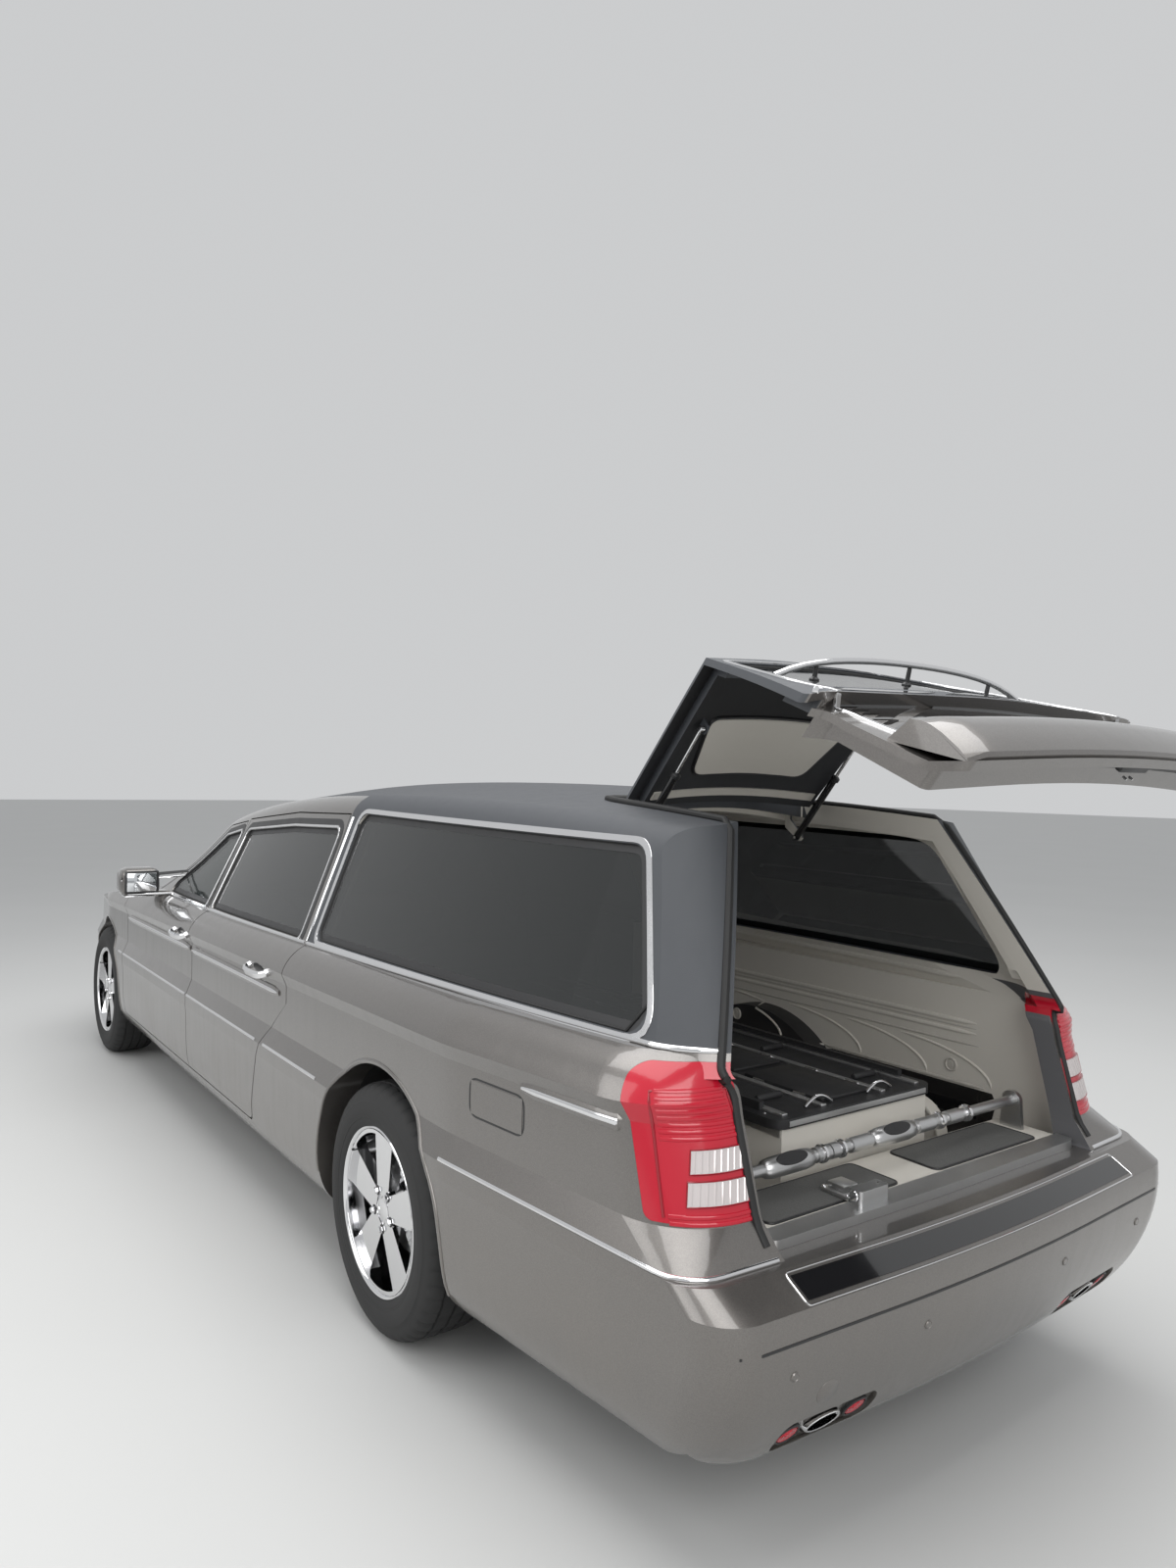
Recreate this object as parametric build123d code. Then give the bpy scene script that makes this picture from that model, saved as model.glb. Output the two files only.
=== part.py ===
from build123d import *
import math
import os

# A four-door estate stretched into a hearse. Millimetres, +X forward, +Y left, +Z up.
# While it is drawn, x = 0 is near the tail lamps; write() then centres the whole car.

# Wheels and stance
REAR_AXLE = 1370.0
WHEELBASE = 3765.0
TYRE_RADIUS = 363.5
TYRE_WIDTH = 245.0
TYRE_OUTER_SIDE = 915.0
RIM_RADIUS = 236.0
RIM_WALL = 16.0
HUB_RADIUS = 74.0
HUB_BORE = 31.0
SPOKE_COUNT = 5
SPOKE_WIDTH = 96.0
SPOKE_DEPTH = 34.0
DISC_RADIUS = 160.0
DISC_WIDTH = 26.0
ARCH_RADIUS = 422.0
ARCH_LINER = 8.0
REAR_LINER_INNER = 628.0
FRONT_LINER_INNER = 420.0
FRONT_LINER_LOW = 503.0
LINER_OUTER = 819.0
KINGPIN_INSET = 160.0
KINGPIN_RADIUS = 17.0
KNUCKLE_END = 22.0
LOWER_ARM_TOP = 262.0
ARM_THICK = 22.0
HUB_FACE = 54.0
STUB_CLEARANCE = 0.3
SEAT_GAP = 0.3

# Walls and gaps
UPPER_WALL = 45.0
HOOD_WALL = 34.0
PANEL_GAP = 5.0
TAILGATE_GAP = 10.0
GLASS_THICK = 6.0
GLASS_SET_IN = 9.0
LINING_THICK = 14.0

# Doors
DOOR_INNER = 540.0
DOOR_AXIS_Y = 936.0
DOOR_BOTTOM = 330.0
FRONT_DOOR_FRONT = 4600.0
FRONT_DOOR_LENGTH = 1250.0
REAR_DOOR_LENGTH = 1195.0
DOOR_FRAME = 46.0
SCREEN_FOOT = 4345.0
SHOULDER_INNER = 780.0
MIRROR_AT = (4075.0, 865.0, 1014.0)
MIRROR_SIZE = (140.0, 180.0, 136.0)
MIRROR_ROUND = 34.0
PILLAR_WIDTH = 130.0
PILLAR_DEPTH = 55.0

# Tailgate
TAILGATE_AXIS_X = 925.0
TAILGATE_AXIS_Z = 1600.0
TAILGATE_ANGLE = 51.0
TAILGATE_BOTTOM = 637.0
TAILGATE_LOWER_HALF = 607.0
TAILGATE_BELT_HALF = 640.0
TAILGATE_TOP_HALF = 380.0
TAILGATE_BELT = 1000.0
TAILGATE_TOP = 1573.0
TAILGATE_SKIN = 14.0
TAILGATE_STEP = 44.0
HINGE_BARREL = 6.0
HINGE_LENGTH = 42.0
HINGE_Y = 150.0

# Gas struts of the tailgate
STRUT_Y = 325.0
STRUT_PIN = (900.0, 1460.0)
STRUT_EYE_CLOSED = (609.0, 1490.0)
STRUT_ROD_LENGTH = 255.0
STRUT_TUBE_RADIUS = 11.0
STRUT_ROD_RADIUS = 5.0
STRUT_TUBE_LENGTH = 255.0
STRUT_EYE_RADIUS = 9.0
STRUT_PIN_RADIUS = 4.0
STRUT_STUD_RADIUS = 6.0

# Hood
HOOD_REAR = 4612.0
HOOD_FRONT = 5905.0
HOOD_HALF = 690.0
COWL_FRONT = 4740.0
COWL_HALF = 640.0

# Load space
DECK_TOP = 500.0
DECK_FRONT = 2230.0
DECK_REAR = 150.0
DECK_HALF = 594.0
SPACE_HALF = 700.0
THRESHOLD_TOP = 660.0
THRESHOLD_FRONT = 330.0
PLINTH_HALF = 285.0
BIER_LENGTH = 1860.0
BIER_HALF = 310.0
BIER_THICK = 24.0
BIER_UNDER = 776.0
BIER_REAR = 350.0
TUBE_AT = (262.0, 738.0)
TUBE_RADIUS = 14.0
TUBE_HALF = 560.0

# Floor and engine
FLOOR_BOTTOM = 235.0
FLOOR_TOP = 300.0
REAR_FLOOR_BOTTOM = 415.0
REAR_FLOOR_TOP = 458.0
REAR_FLOOR_FRONT = 1840.0
REAR_PANEL = 110.0
BUMPER_INNER_HALF = 800.0
BUMPER_TOP = 645.0
FIREWALL = 4540.0
FIREWALL_THICK = 40.0
FIREWALL_TOP = 920.0
FLOOR_HALF = 790.0
RAIL_Y = (330.0, 400.0)
RAIL_Z = (380.0, 480.0)
RAIL_FRONT = 5835.0
FRONT_BEAM_HALF = 640.0
PIPE_Z = 195.0
PIPE_RADIUS = 30.0
ENGINE_SIZE = (620.0, 520.0, 430.0)
ENGINE_CENTRE = (5010.0, 0.0, 640.0)
STEERING_PLACE = Pos(3905, 370, 870) * Rot(0, -62, 0)
GRIP_TURNS = [math.radians(22.5 + 45 * index) for index in range(8)]

# Body sections from the bottom up: half width, tail, nose, corner radius, height, fall per length
LOWER_ROWS = [
    (845, 60, 5900, 160, 235, 0),
    (893, 10, 5960, 160, 290, 0),
    (922, -50, 6000, 130, 420, 0),
    (930, -68, 6010, 110, 600, 0),
]
STEP_ROWS = [(930, -68, 6010, 110, 600, 0), (930, 12, 6008, 100, 645, 0)]
LEDGE_ROWS = [(930, 35, 6008, 100, 645, 0), (903, 90, 5990, 200, 715, 0)]
FLANK_ROWS = [
    (903, 90, 5990, 200, 715, 0),
    (904, 150, 5970, 200, 915, 0.0117),
    (922, 160, 5960, 200, 957, 0.0117),
]
SHOULDER_ROWS = [
    (922, 160, 5960, 200, 957, 0.0117),
    (905, 175, 5930, 200, 995, 0.011),
    (872, 185, 5900, 200, 1028, 0.010),
    (828, 190, 5860, 200, 1050, 0.0095),
]
BELT_HEIGHT = 1050.0
BELT_FALL = 0.0095
CAVITY_ROWS = [
    (820, 130, 5850, 110, 300, 0),
    (820, 142, 5850, 110, 660, 0),
    (820, 215, 5850, 110, 940, 0.0117),
    (745, 280, 5780, 110, 1056, 0.0095),
]

# Roof sections: place, half width at the belt, half width and height of the shoulder, crown height
ROOF_ROWS = [
    (-100, 680, 480, 1470, 1545),
    (400, 742, 560, 1515, 1585),
    (900, 785, 600, 1545, 1615),
    (2200, 828, 635, 1555, 1635),
    (3300, 828, 630, 1475, 1575),
    (3900, 805, 600, 1375, 1475),
    (4700, 745, 545, 1170, 1270),
]
ROOF_BASE = 1000.0
TAIL_REACH = 5200.0
TAIL_SPREAD = 0.085
ROOF_SHOULDER_RADIUS = 110.0

# Hood and fender tops: place, height at the side, height at the centre line
HOOD_ROWS = [
    (4200, 1085, 1095),
    (4560, 985, 1016),
    (5130, 915, 966),
    (5600, 818, 880),
    (5850, 722, 800),
    (6060, 560, 650),
]


STANDING = (Align.CENTER, Align.CENTER, Align.MIN)


def outline(points):
    """Closed face through (a, b, radius) points, each corner rounded as far as its sides allow."""
    ends = []
    count = len(points)
    for index, point in enumerate(points):
        corner = Vector(*point[:2])
        radius = point[2] if len(point) > 2 else 0
        if radius <= 0:
            ends.append((corner, None, corner))
            continue
        back = Vector(*points[index - 1][:2]) - corner
        ahead = Vector(*points[(index + 1) % count][:2]) - corner
        half_angle = math.radians(back.get_angle(ahead)) / 2
        reach = min(radius / math.tan(half_angle), 0.45 * back.length, 0.45 * ahead.length)
        radius = reach * math.tan(half_angle)
        middle = (back.normalized() + ahead.normalized()).normalized()
        centre = corner + middle * (radius / math.sin(half_angle))
        start = corner + back.normalized() * reach
        end = corner + ahead.normalized() * reach
        ends.append((start, centre - middle * radius, end))
    edges = []
    for index, (start, middle, end) in enumerate(ends):
        if middle is not None:
            edges.append(ThreePointArc(start, middle, end))
        following = ends[(index + 1) % count][0]
        if (following - end).length > 1e-6:
            edges.append(Line(end, following))
    return Face(Wire(edges))


def along_y(points, low, high):
    """Side-view outline in x and z, extruded from y = low to y = high."""
    plane = Plane(origin=(0, high, 0), x_dir=(1, 0, 0), z_dir=(0, -1, 0))
    return extrude(plane * outline(points), high - low, dir=(0, -1, 0))


def along_x(points, low, high):
    """End-view outline in y and z, extruded from x = low to x = high."""
    plane = Plane(origin=(low, 0, 0), x_dir=(0, 1, 0), z_dir=(1, 0, 0))
    return extrude(plane * outline(points), high - low, dir=(1, 0, 0))


def along_z(points, low, high):
    """Plan outline in x and y, extruded from z = low to z = high."""
    return extrude(Plane(origin=(0, 0, low)) * outline(points), high - low, dir=(0, 0, 1))


def block(x, y, z):
    """Box between three (low, high) pairs."""
    size = (x[1] - x[0], y[1] - y[0], z[1] - z[0])
    return Pos((x[0] + x[1]) / 2, (y[0] + y[1]) / 2, (z[0] + z[1]) / 2) * Box(*size)


def across_cylinder(x, z, radius, low, high):
    """Cylinder along Y."""
    return Pos(x, (low + high) / 2, z) * Rot(90, 0, 0) * Cylinder(radius, high - low)


def rod(start, end, radius):
    """Round bar between two points."""
    axis = Vector(*end) - Vector(*start)
    return Plane(origin=start, z_dir=axis) * Cylinder(radius, axis.length, align=STANDING)


def mirrored(shape):
    return mirror(shape, about=Plane.XZ)


def both_sides(shape):
    return Part() + shape.solids() + mirrored(shape).solids()


def group(*shapes):
    return Part() + [solid for shape in shapes for solid in shape.solids()]


def place_x(shape, x):
    return Pos(x, 0, 0) * shape


# Outer and inner forms of the body


def plan_section(half_width, tail, nose, corner, height, fall):
    """Plan of the car at one height, falling towards the nose."""
    side = [
        (nose - 40, 420, 900),
        (nose - 230, half_width - 90, 300),
        (nose - 900, half_width, 900),
        (950, half_width, 900),
        (tail + 30, half_width - 80, corner),
    ]
    other_side = [(x, -y, radius) for x, y, radius in reversed(side)]
    face = outline([(nose, 0, 9000)] + side + [(tail - 20, 0, 9000)] + other_side)
    tilt = math.atan(fall)
    x_dir = (math.cos(tilt), 0, -math.sin(tilt))
    z_dir = (math.sin(tilt), 0, math.cos(tilt))
    return Plane(origin=(0, 0, height), x_dir=x_dir, z_dir=z_dir) * face


def nose_envelope(lowered):
    """Everything under the hood and fender tops, lowered by a wall."""
    sections = []
    for x, side, centre in HOOD_ROWS:
        top = ThreePointArc((-1000, side - lowered), (0, centre - lowered), (1000, side - lowered))
        rest = Polyline((1000, side - lowered), (1000, 100), (-1000, 100), (-1000, side - lowered))
        face = Face(Wire([top] + rest.edges()))
        sections.append(Plane(origin=(x, 0, 0), x_dir=(0, 1, 0), z_dir=(1, 0, 0)) * face)
    first = HOOD_ROWS[0][0]
    rear = block((-500, first), (-1000, 1000), (100, 1400))
    return rear + loft(sections)


def lower_form():
    """Body below the belt, from the outside."""
    form = loft([plan_section(*row) for row in LOWER_ROWS])
    form += loft([plan_section(*row) for row in STEP_ROWS], ruled=True)
    form += loft([plan_section(*row) for row in LEDGE_ROWS], ruled=True)
    form += loft([plan_section(*row) for row in FLANK_ROWS], ruled=True)
    form += loft([plan_section(*row) for row in SHOULDER_ROWS])
    return form & nose_envelope(0)


def narrowed_cavity(inset):
    """Room below the belt, its sides moved in by inset."""
    return loft([plan_section(row[0] - inset, *row[1:]) for row in CAVITY_ROWS], ruled=True)


def lower_cavity():
    """Room below the belt: load space, cabin and engine bay."""
    return narrowed_cavity(0) & nose_envelope(HOOD_WALL)


def tail_envelope(inset):
    """Everything ahead of the sloping tail, with rounded corners."""
    sections = []
    for height, x, half_width in [(900, 110, 770), (1700, 510, 534)]:
        wide = half_width - inset
        spread = TAIL_REACH * TAIL_SPREAD
        points = [(x + inset - 30, 0, 4000), (x + inset, wide, 200), (TAIL_REACH, wide + spread)]
        points += [(TAIL_REACH, -wide - spread), (x + inset, -wide, 200)]
        sections.append(Plane(origin=(0, 0, height)) * outline(points))
    return loft(sections, ruled=True)


def screen_envelope(inset):
    """Everything behind the sloping, curved windscreen."""
    sections = []
    for height, x in [(900, 4693), (1700, 3307)]:
        side = x - 160 - inset
        points = [(x - inset, 0, 2600), (side, 900), (-300, 900), (-300, -900), (side, -900)]
        sections.append(Plane(origin=(0, 0, height)) * outline(points))
    return loft(sections, ruled=True)


def upper_form(inset):
    """Greenhouse and roof, each surface moved in by inset."""
    sections = []
    for x, belt, shoulder, shoulder_z, crown in ROOF_ROWS:
        lean = (belt - shoulder) / (shoulder_z - BELT_HEIGHT)
        base = belt + lean * (BELT_HEIGHT - ROOF_BASE) - inset
        points = [
            (-base, ROOF_BASE),
            (base, ROOF_BASE),
            (shoulder - inset, shoulder_z - inset, ROOF_SHOULDER_RADIUS),
            (0, crown - inset, 2400),
            (inset - shoulder, shoulder_z - inset, ROOF_SHOULDER_RADIUS),
        ]
        sections.append(Plane(origin=(x, 0, 0), x_dir=(0, 1, 0), z_dir=(1, 0, 0)) * outline(points))
    return loft(sections) & tail_envelope(inset) & screen_envelope(inset * 1.8)


def above_belt(raise_by=0.0):
    """Half space above the belt line, falling towards the nose."""
    rear_x = -1200
    front_x = 7000
    rear_z = BELT_HEIGHT - BELT_FALL * rear_x + raise_by
    front_z = BELT_HEIGHT - BELT_FALL * front_x + raise_by
    return along_y([(rear_x, rear_z), (front_x, front_z), (front_x, 2400), (rear_x, 2400)], -1100, 1100)


def wheel_places():
    """Wheel name, axle place and side."""
    front = REAR_AXLE + WHEELBASE
    return [
        ("front_left", front, 1),
        ("front_right", front, -1),
        ("rear_left", REAR_AXLE, 1),
        ("rear_right", REAR_AXLE, -1),
    ]


def arches():
    """Wheel spaces cut through the sides."""
    cuts = []
    for x, inner in [(REAR_AXLE, REAR_LINER_INNER), (REAR_AXLE + WHEELBASE, FRONT_LINER_INNER)]:
        cuts.append(across_cylinder(x, TYRE_RADIUS, ARCH_RADIUS, inner, 1000))
        cuts.append(block((x - ARCH_RADIUS, x + ARCH_RADIUS), (inner, 1000), (100, TYRE_RADIUS)))
    return both_sides(group(*cuts))


# Regions that split the shell into its panels, all for the left side


def door_region(hinge_x, length, points, grow):
    """One door's outline, its free edge an arc about the hinge."""
    swing = Pos(hinge_x, DOOR_AXIS_Y, 1000) * Cylinder(length + grow, 1800)
    shoulder = block((SCREEN_FOOT + grow, 4800), (0, SHOULDER_INNER - grow), (800, 1200))
    return (along_y(points, DOOR_INNER - grow, 1000) & swing) - shoulder


def front_door_region(grow=0.0):
    """Front door from sill to roof rail, its shoulder running ahead beside the screen's foot."""
    rear = FRONT_DOOR_FRONT - FRONT_DOOR_LENGTH
    points = [
        (FRONT_DOOR_FRONT + grow, DOOR_BOTTOM - grow, 30),
        (FRONT_DOOR_FRONT + grow, 1100),
        (SCREEN_FOOT - grow, 1100),
        (SCREEN_FOOT - grow, 1001 + 2 * grow),
        (3680 + grow, 1380 + grow, 60),
        (rear - 60, 1424 + grow),
        (rear - 60, DOOR_BOTTOM - grow),
    ]
    return door_region(FRONT_DOOR_FRONT, FRONT_DOOR_LENGTH, points, grow)


def rear_door_front():
    return FRONT_DOOR_FRONT - FRONT_DOOR_LENGTH - PANEL_GAP


def rear_door_region(grow=0.0):
    """Rear door, its lower rear corner curved round the wheel arch."""
    front = rear_door_front()
    points = [
        (front + grow, DOOR_BOTTOM - grow),
        (front + grow, 1424 + grow),
        (2700, 1478 + grow),
        (2100, 1492 + grow),
        (2100, 860, 60),
        (2380 - grow, 660, 500),
        (2475 - grow, DOOR_BOTTOM - grow, 40),
    ]
    return door_region(front, REAR_DOOR_LENGTH, points, grow)


def front_window_region(grow=0.0):
    """Window of the front door."""
    rear = FRONT_DOOR_FRONT - FRONT_DOOR_LENGTH + DOOR_FRAME
    points = [
        (4205 + grow, 1030 - grow, 30),
        (3655 + grow, 1380 - DOOR_FRAME + grow, 50),
        (rear - grow, 1418 - DOOR_FRAME + grow, 30),
        (rear - grow, 1034 - grow, 20),
    ]
    return along_y(points, 420, 1000)


def rear_window_region(grow=0.0):
    """Window of the rear door."""
    front = rear_door_front() - DOOR_FRAME
    points = [
        (front + grow, 1034 - grow, 20),
        (front + grow, 1424 - DOOR_FRAME + grow, 30),
        (2700, 1470 - DOOR_FRAME + grow, 1500),
        (2225 - grow, 1484 - DOOR_FRAME + grow, 40),
        (2225 - grow, 1042 - grow, 30),
    ]
    return along_y(points, 420, 1000)


def cargo_window_region(grow=0.0):
    """Long side window of the load space."""
    points = [
        (345 - grow, 1062 - grow, 50),
        (2085 + grow, 1054 - grow, 40),
        (2085 + grow, 1498 + grow, 50),
        (535 - grow, 1478 + grow, 70),
    ]
    return along_y(points, 300, 1000)


def tailgate_region(shrink=0.0):
    """Tailgate seen from behind, ahead to its hinge line."""
    lower = TAILGATE_LOWER_HALF - shrink
    belt = TAILGATE_BELT_HALF - shrink
    top = TAILGATE_TOP_HALF - shrink
    bottom = TAILGATE_BOTTOM + shrink * 1.4
    half = [(lower - 12, bottom, 20), (lower, 720, 300), (lower, 975, 20), (belt, TAILGATE_BELT + 8, 20)]
    half += [(top, TAILGATE_TOP, 60), (top, 1760)]
    other = [(-y, z, *radius) for y, z, *radius in reversed(half)]
    return along_x(half + other, -500, TAILGATE_AXIS_X - shrink * 0.1)


def rear_glass_region(grow=0.0):
    """Rear window seen from behind."""
    half = [(552 + grow, 1078 - grow, 40), (392 + grow, 1452 + grow, 50)]
    other = [(-y, z, radius) for y, z, radius in reversed(half)]
    return along_x(half + other, -500, 700)


def lamp_region(grow=0.0):
    """Tall tail lamp round the corner."""
    points = [
        (-200, 722 - grow),
        (232 + grow, 722 - grow, 25),
        (318 + grow, 1032 + grow, 25),
        (-200, 1032 + grow),
    ]
    return along_y(points, TAILGATE_LOWER_HALF + 10 - grow, 1000)


def bumper_region(grow=0.0):
    """Rear bumper cover, below the chrome line and behind the arch."""
    return block((-500, REAR_AXLE - 200), (-1100, 1100), (0, BUMPER_TOP + grow))


def front_bumper_region(grow=0.0):
    """Front bumper cover, ahead of the front arch."""
    front_axle = REAR_AXLE + WHEELBASE
    return block((front_axle + 200, 6500), (-1100, 1100), (0, 600 + grow))


def hood_region(grow=0.0):
    """Hood seen from above."""
    points = [
        (HOOD_REAR - grow, -HOOD_HALF - grow, 120),
        (HOOD_FRONT + grow, -HOOD_HALF * 0.80 - grow, 160),
        (HOOD_FRONT + 40 + grow, 0, 3000),
        (HOOD_FRONT + grow, HOOD_HALF * 0.80 + grow, 160),
        (HOOD_REAR - grow, HOOD_HALF + grow, 120),
        (HOOD_REAR + 24 - grow, 0, 3000),
    ]
    return along_z(points, 640, 1200)


def grille_region(grow=0.0):
    """Upright grille between the lamps."""
    half = [(330 + grow, 610 - grow, 30), (375 + grow, 752 + grow, 40)]
    other = [(-y, z, radius) for y, z, radius in reversed(half)]
    return along_x(half + other, 5700, 6200)


def headlamp_region(grow=0.0):
    """Swept headlamp at the corner of the nose."""
    points = [(430 - grow, 612 - grow, 40), (1000, 630 - grow)]
    points += [(1000, 752 + grow), (440 - grow, 742 + grow, 40)]
    return along_x(points, 5640 - grow, 6200)


def roof_panel_region():
    """Vinyl-covered part of the top: the roof and everything behind the rear doors."""
    points = [(-500, -1000), (2168, -1000), (2168, -590, 20), (3560, -545, 160), (3600, 0, 3000)]
    points += [(3560, 545, 160), (2168, 590, 20), (2168, 1000), (-500, 1000)]
    return along_z(points, 900, 1800)


# Shell and its panels


def windscreen_region(grow=0.0):
    """Windscreen seen from the front."""
    half = [(640 + grow, 1022 - grow, 60), (495 + grow, 1392 + grow, 70)]
    other = [(-y, z, radius) for y, z, radius in reversed(half)]
    return along_x(half + other, 3600, 5000)


def window_regions():
    """Every opening that takes glass in the body itself."""
    return group(cargo_window_region(), mirrored(cargo_window_region()), windscreen_region())


def door_shapes(shell):
    """Left doors with their windows cut, the mirror on the front one."""
    front = (shell & front_door_region()) - front_window_region()
    rear = (shell & rear_door_region()) - rear_window_region()
    return front + door_mirror(), rear


def door_mirror():
    """Mirror head on a short foot at the front corner of the window."""
    x, y, z = [(start, start + size) for start, size in zip(MIRROR_AT, MIRROR_SIZE)]
    foot = block((x[0] + 65, x[1] + 25), (755, y[0] + 75), (z[0] - 10, z[0] + 16))
    return foot + fillet(block(x, y, z).edges(), MIRROR_ROUND)


def glass_layer():
    """Thin skin just inside the upper surface."""
    return upper_form(GLASS_SET_IN) - upper_form(GLASS_SET_IN + GLASS_THICK)


def body_sides(shell):
    """Left quarter panel, sill and front door post, with the post between the doors."""
    side = shell & block((-500, FRONT_DOOR_FRONT + PANEL_GAP), (0, 1100), (0, 1100))
    side -= above_belt()
    side -= block((0, 6000), (-10, 790), (0, FLOOR_TOP + 0.01))
    side -= front_door_region(PANEL_GAP)
    side -= rear_door_region(PANEL_GAP)
    side -= tailgate_region()
    side -= lamp_region(SEAT_GAP)
    side -= bumper_region(SEAT_GAP)
    side -= hood_region(PANEL_GAP)
    side -= block((-500, REAR_AXLE), (-10, 560), (0, 1100))
    side -= block((SCREEN_FOOT, COWL_FRONT), (-10, 1100), (800, 1100))
    side -= block((SCREEN_FOOT - 200, SCREEN_FOOT + 1), (-10, 600), (800, 1100))
    return side


def centre_post():
    """Post between the doors, its face against their inner sides."""
    middle = rear_door_front() + PANEL_GAP / 2
    window = block((middle - PILLAR_WIDTH / 2, middle + PILLAR_WIDTH / 2), (0, 1000), (FLOOR_TOP, 1560))
    low = (narrowed_cavity(SEAT_GAP) - narrowed_cavity(PILLAR_DEPTH)) & window
    reach = (middle - PILLAR_WIDTH / 2, middle + PILLAR_WIDTH / 2)
    low += block(reach, (FLOOR_HALF, FLOOR_HALF + 50), (FLOOR_TOP, DOOR_BOTTOM - PANEL_GAP))
    high = (upper_form(UPPER_WALL + SEAT_GAP) - upper_form(UPPER_WALL + PILLAR_DEPTH)) & window
    return low + (high & above_belt())


def top_panels(shell):
    """Vinyl roof with its rear pillars, and the painted screen frame with the door rails."""
    top = shell & above_belt()
    top -= group(front_door_region(PANEL_GAP), mirrored(front_door_region(PANEL_GAP)))
    top -= group(rear_door_region(PANEL_GAP), mirrored(rear_door_region(PANEL_GAP)))
    top -= tailgate_region() & block((-500, TAILGATE_AXIS_X + 8), (-1000, 1000), (0, 2000))
    across = (-TAILGATE_TOP_HALF, TAILGATE_TOP_HALF)
    top -= block((TAILGATE_AXIS_X - 20, TAILGATE_AXIS_X + 8), across, (1400, 1700))
    top -= window_regions()
    roof = top & roof_panel_region()
    frame = top - roof_panel_region()
    return roof, frame


def tailgate(shell, outside):
    """Tailgate closed: a full skin over a smaller inner panel, its window cut, with hinge barrels."""
    whole = shell & tailgate_region(TAILGATE_GAP)
    deep = Pos(TAILGATE_SKIN + 2, 0, -TAILGATE_SKIN * 0.7) * outside
    panel = (whole - deep) + (whole & deep & tailgate_region(TAILGATE_GAP + TAILGATE_STEP))
    return (panel - rear_glass_region() - barrel_notches()) + hinge_leaves(-1)


def barrel_notches():
    """Room in the tailgate's edge for the roof's hinge barrels."""
    reach = HINGE_LENGTH + 4
    rows = [(middle, middle + reach) for middle in (-HINGE_Y, HINGE_Y)]
    return group(*[across_cylinder(TAILGATE_AXIS_X, TAILGATE_AXIS_Z, HINGE_BARREL + 4, *row) for row in rows])


def hinge_leaves(side):
    """Hinge barrels on the tailgate's axis, each on a leaf to its own panel."""
    leaves = []
    for middle in (-HINGE_Y, HINGE_Y):
        start = middle + (SEAT_GAP / 2 if side > 0 else -HINGE_LENGTH - SEAT_GAP / 2)
        barrel = across_cylinder(TAILGATE_AXIS_X, TAILGATE_AXIS_Z, HINGE_BARREL, start, start + HINGE_LENGTH)
        near = TAILGATE_AXIS_X if side > 0 else TAILGATE_AXIS_X - 34
        z = (TAILGATE_AXIS_Z - 16, TAILGATE_AXIS_Z - 2)
        leaves.append(barrel + block((near, near + 34), (start, start + HINGE_LENGTH), z))
    return leaves[0] + leaves[1]


def opened(shape):
    """Tailgate pieces swung up to where they rest."""
    axis = Pos(TAILGATE_AXIS_X, 0, TAILGATE_AXIS_Z)
    return axis * Rot(0, TAILGATE_ANGLE, 0) * Pos(-TAILGATE_AXIS_X, 0, -TAILGATE_AXIS_Z) * shape


def opened_point(x, z):
    """Where a point of the closed tailgate lies when it is open."""
    angle = math.radians(TAILGATE_ANGLE)
    across = x - TAILGATE_AXIS_X
    up = z - TAILGATE_AXIS_Z
    return (
        TAILGATE_AXIS_X + across * math.cos(angle) + up * math.sin(angle),
        TAILGATE_AXIS_Z - across * math.sin(angle) + up * math.cos(angle),
    )


def eye_bracket():
    """Ears on the closed tailgate with the stud beside each strut's rod end."""
    x, z = STRUT_EYE_CLOSED
    ear = along_y([(x - 14, z - 11, 6), (x + 14, z - 11, 6), (x + 24, z + 44), (x - 24, z + 44)], 0, 5)
    inner_face = STRUT_Y - STRUT_EYE_RADIUS - 8
    bracket = Pos(0, inner_face, 0) * ear
    return bracket + across_cylinder(x, z, STRUT_STUD_RADIUS, inner_face, STRUT_Y - 6 - SEAT_GAP)


def strut_axis():
    """Lower pin, rod eye and unit direction of a strut with the tailgate open."""
    eye = opened_point(*STRUT_EYE_CLOSED)
    run = Vector(eye[0] - STRUT_PIN[0], 0, eye[1] - STRUT_PIN[1])
    return Vector(STRUT_PIN[0], STRUT_Y, STRUT_PIN[1]), Vector(eye[0], STRUT_Y, eye[1]), run.normalized()


def strut_tube():
    """Pressure tube with the eye at its lower end."""
    pin, _, way = strut_axis()
    bore = STRUT_PIN_RADIUS + SEAT_GAP
    tube = rod(pin + way * 8, pin + way * STRUT_TUBE_LENGTH, STRUT_TUBE_RADIUS)
    tube += across_cylinder(pin.X, pin.Z, STRUT_EYE_RADIUS, STRUT_Y - 7, STRUT_Y + 7)
    tube -= rod(pin + way * 24, pin + way * (STRUT_TUBE_LENGTH + 1), STRUT_ROD_RADIUS + SEAT_GAP)
    return tube - across_cylinder(pin.X, pin.Z, bore, STRUT_Y - 20, STRUT_Y + 20)


def strut_rod():
    """Polished rod with the socket of the ball stud at its upper end."""
    _, eye, way = strut_axis()
    bar = rod(eye - way * STRUT_ROD_LENGTH, eye - way * 6, STRUT_ROD_RADIUS)
    return bar + across_cylinder(eye.X, eye.Z, STRUT_EYE_RADIUS, STRUT_Y - 6, STRUT_Y + 6)


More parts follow.
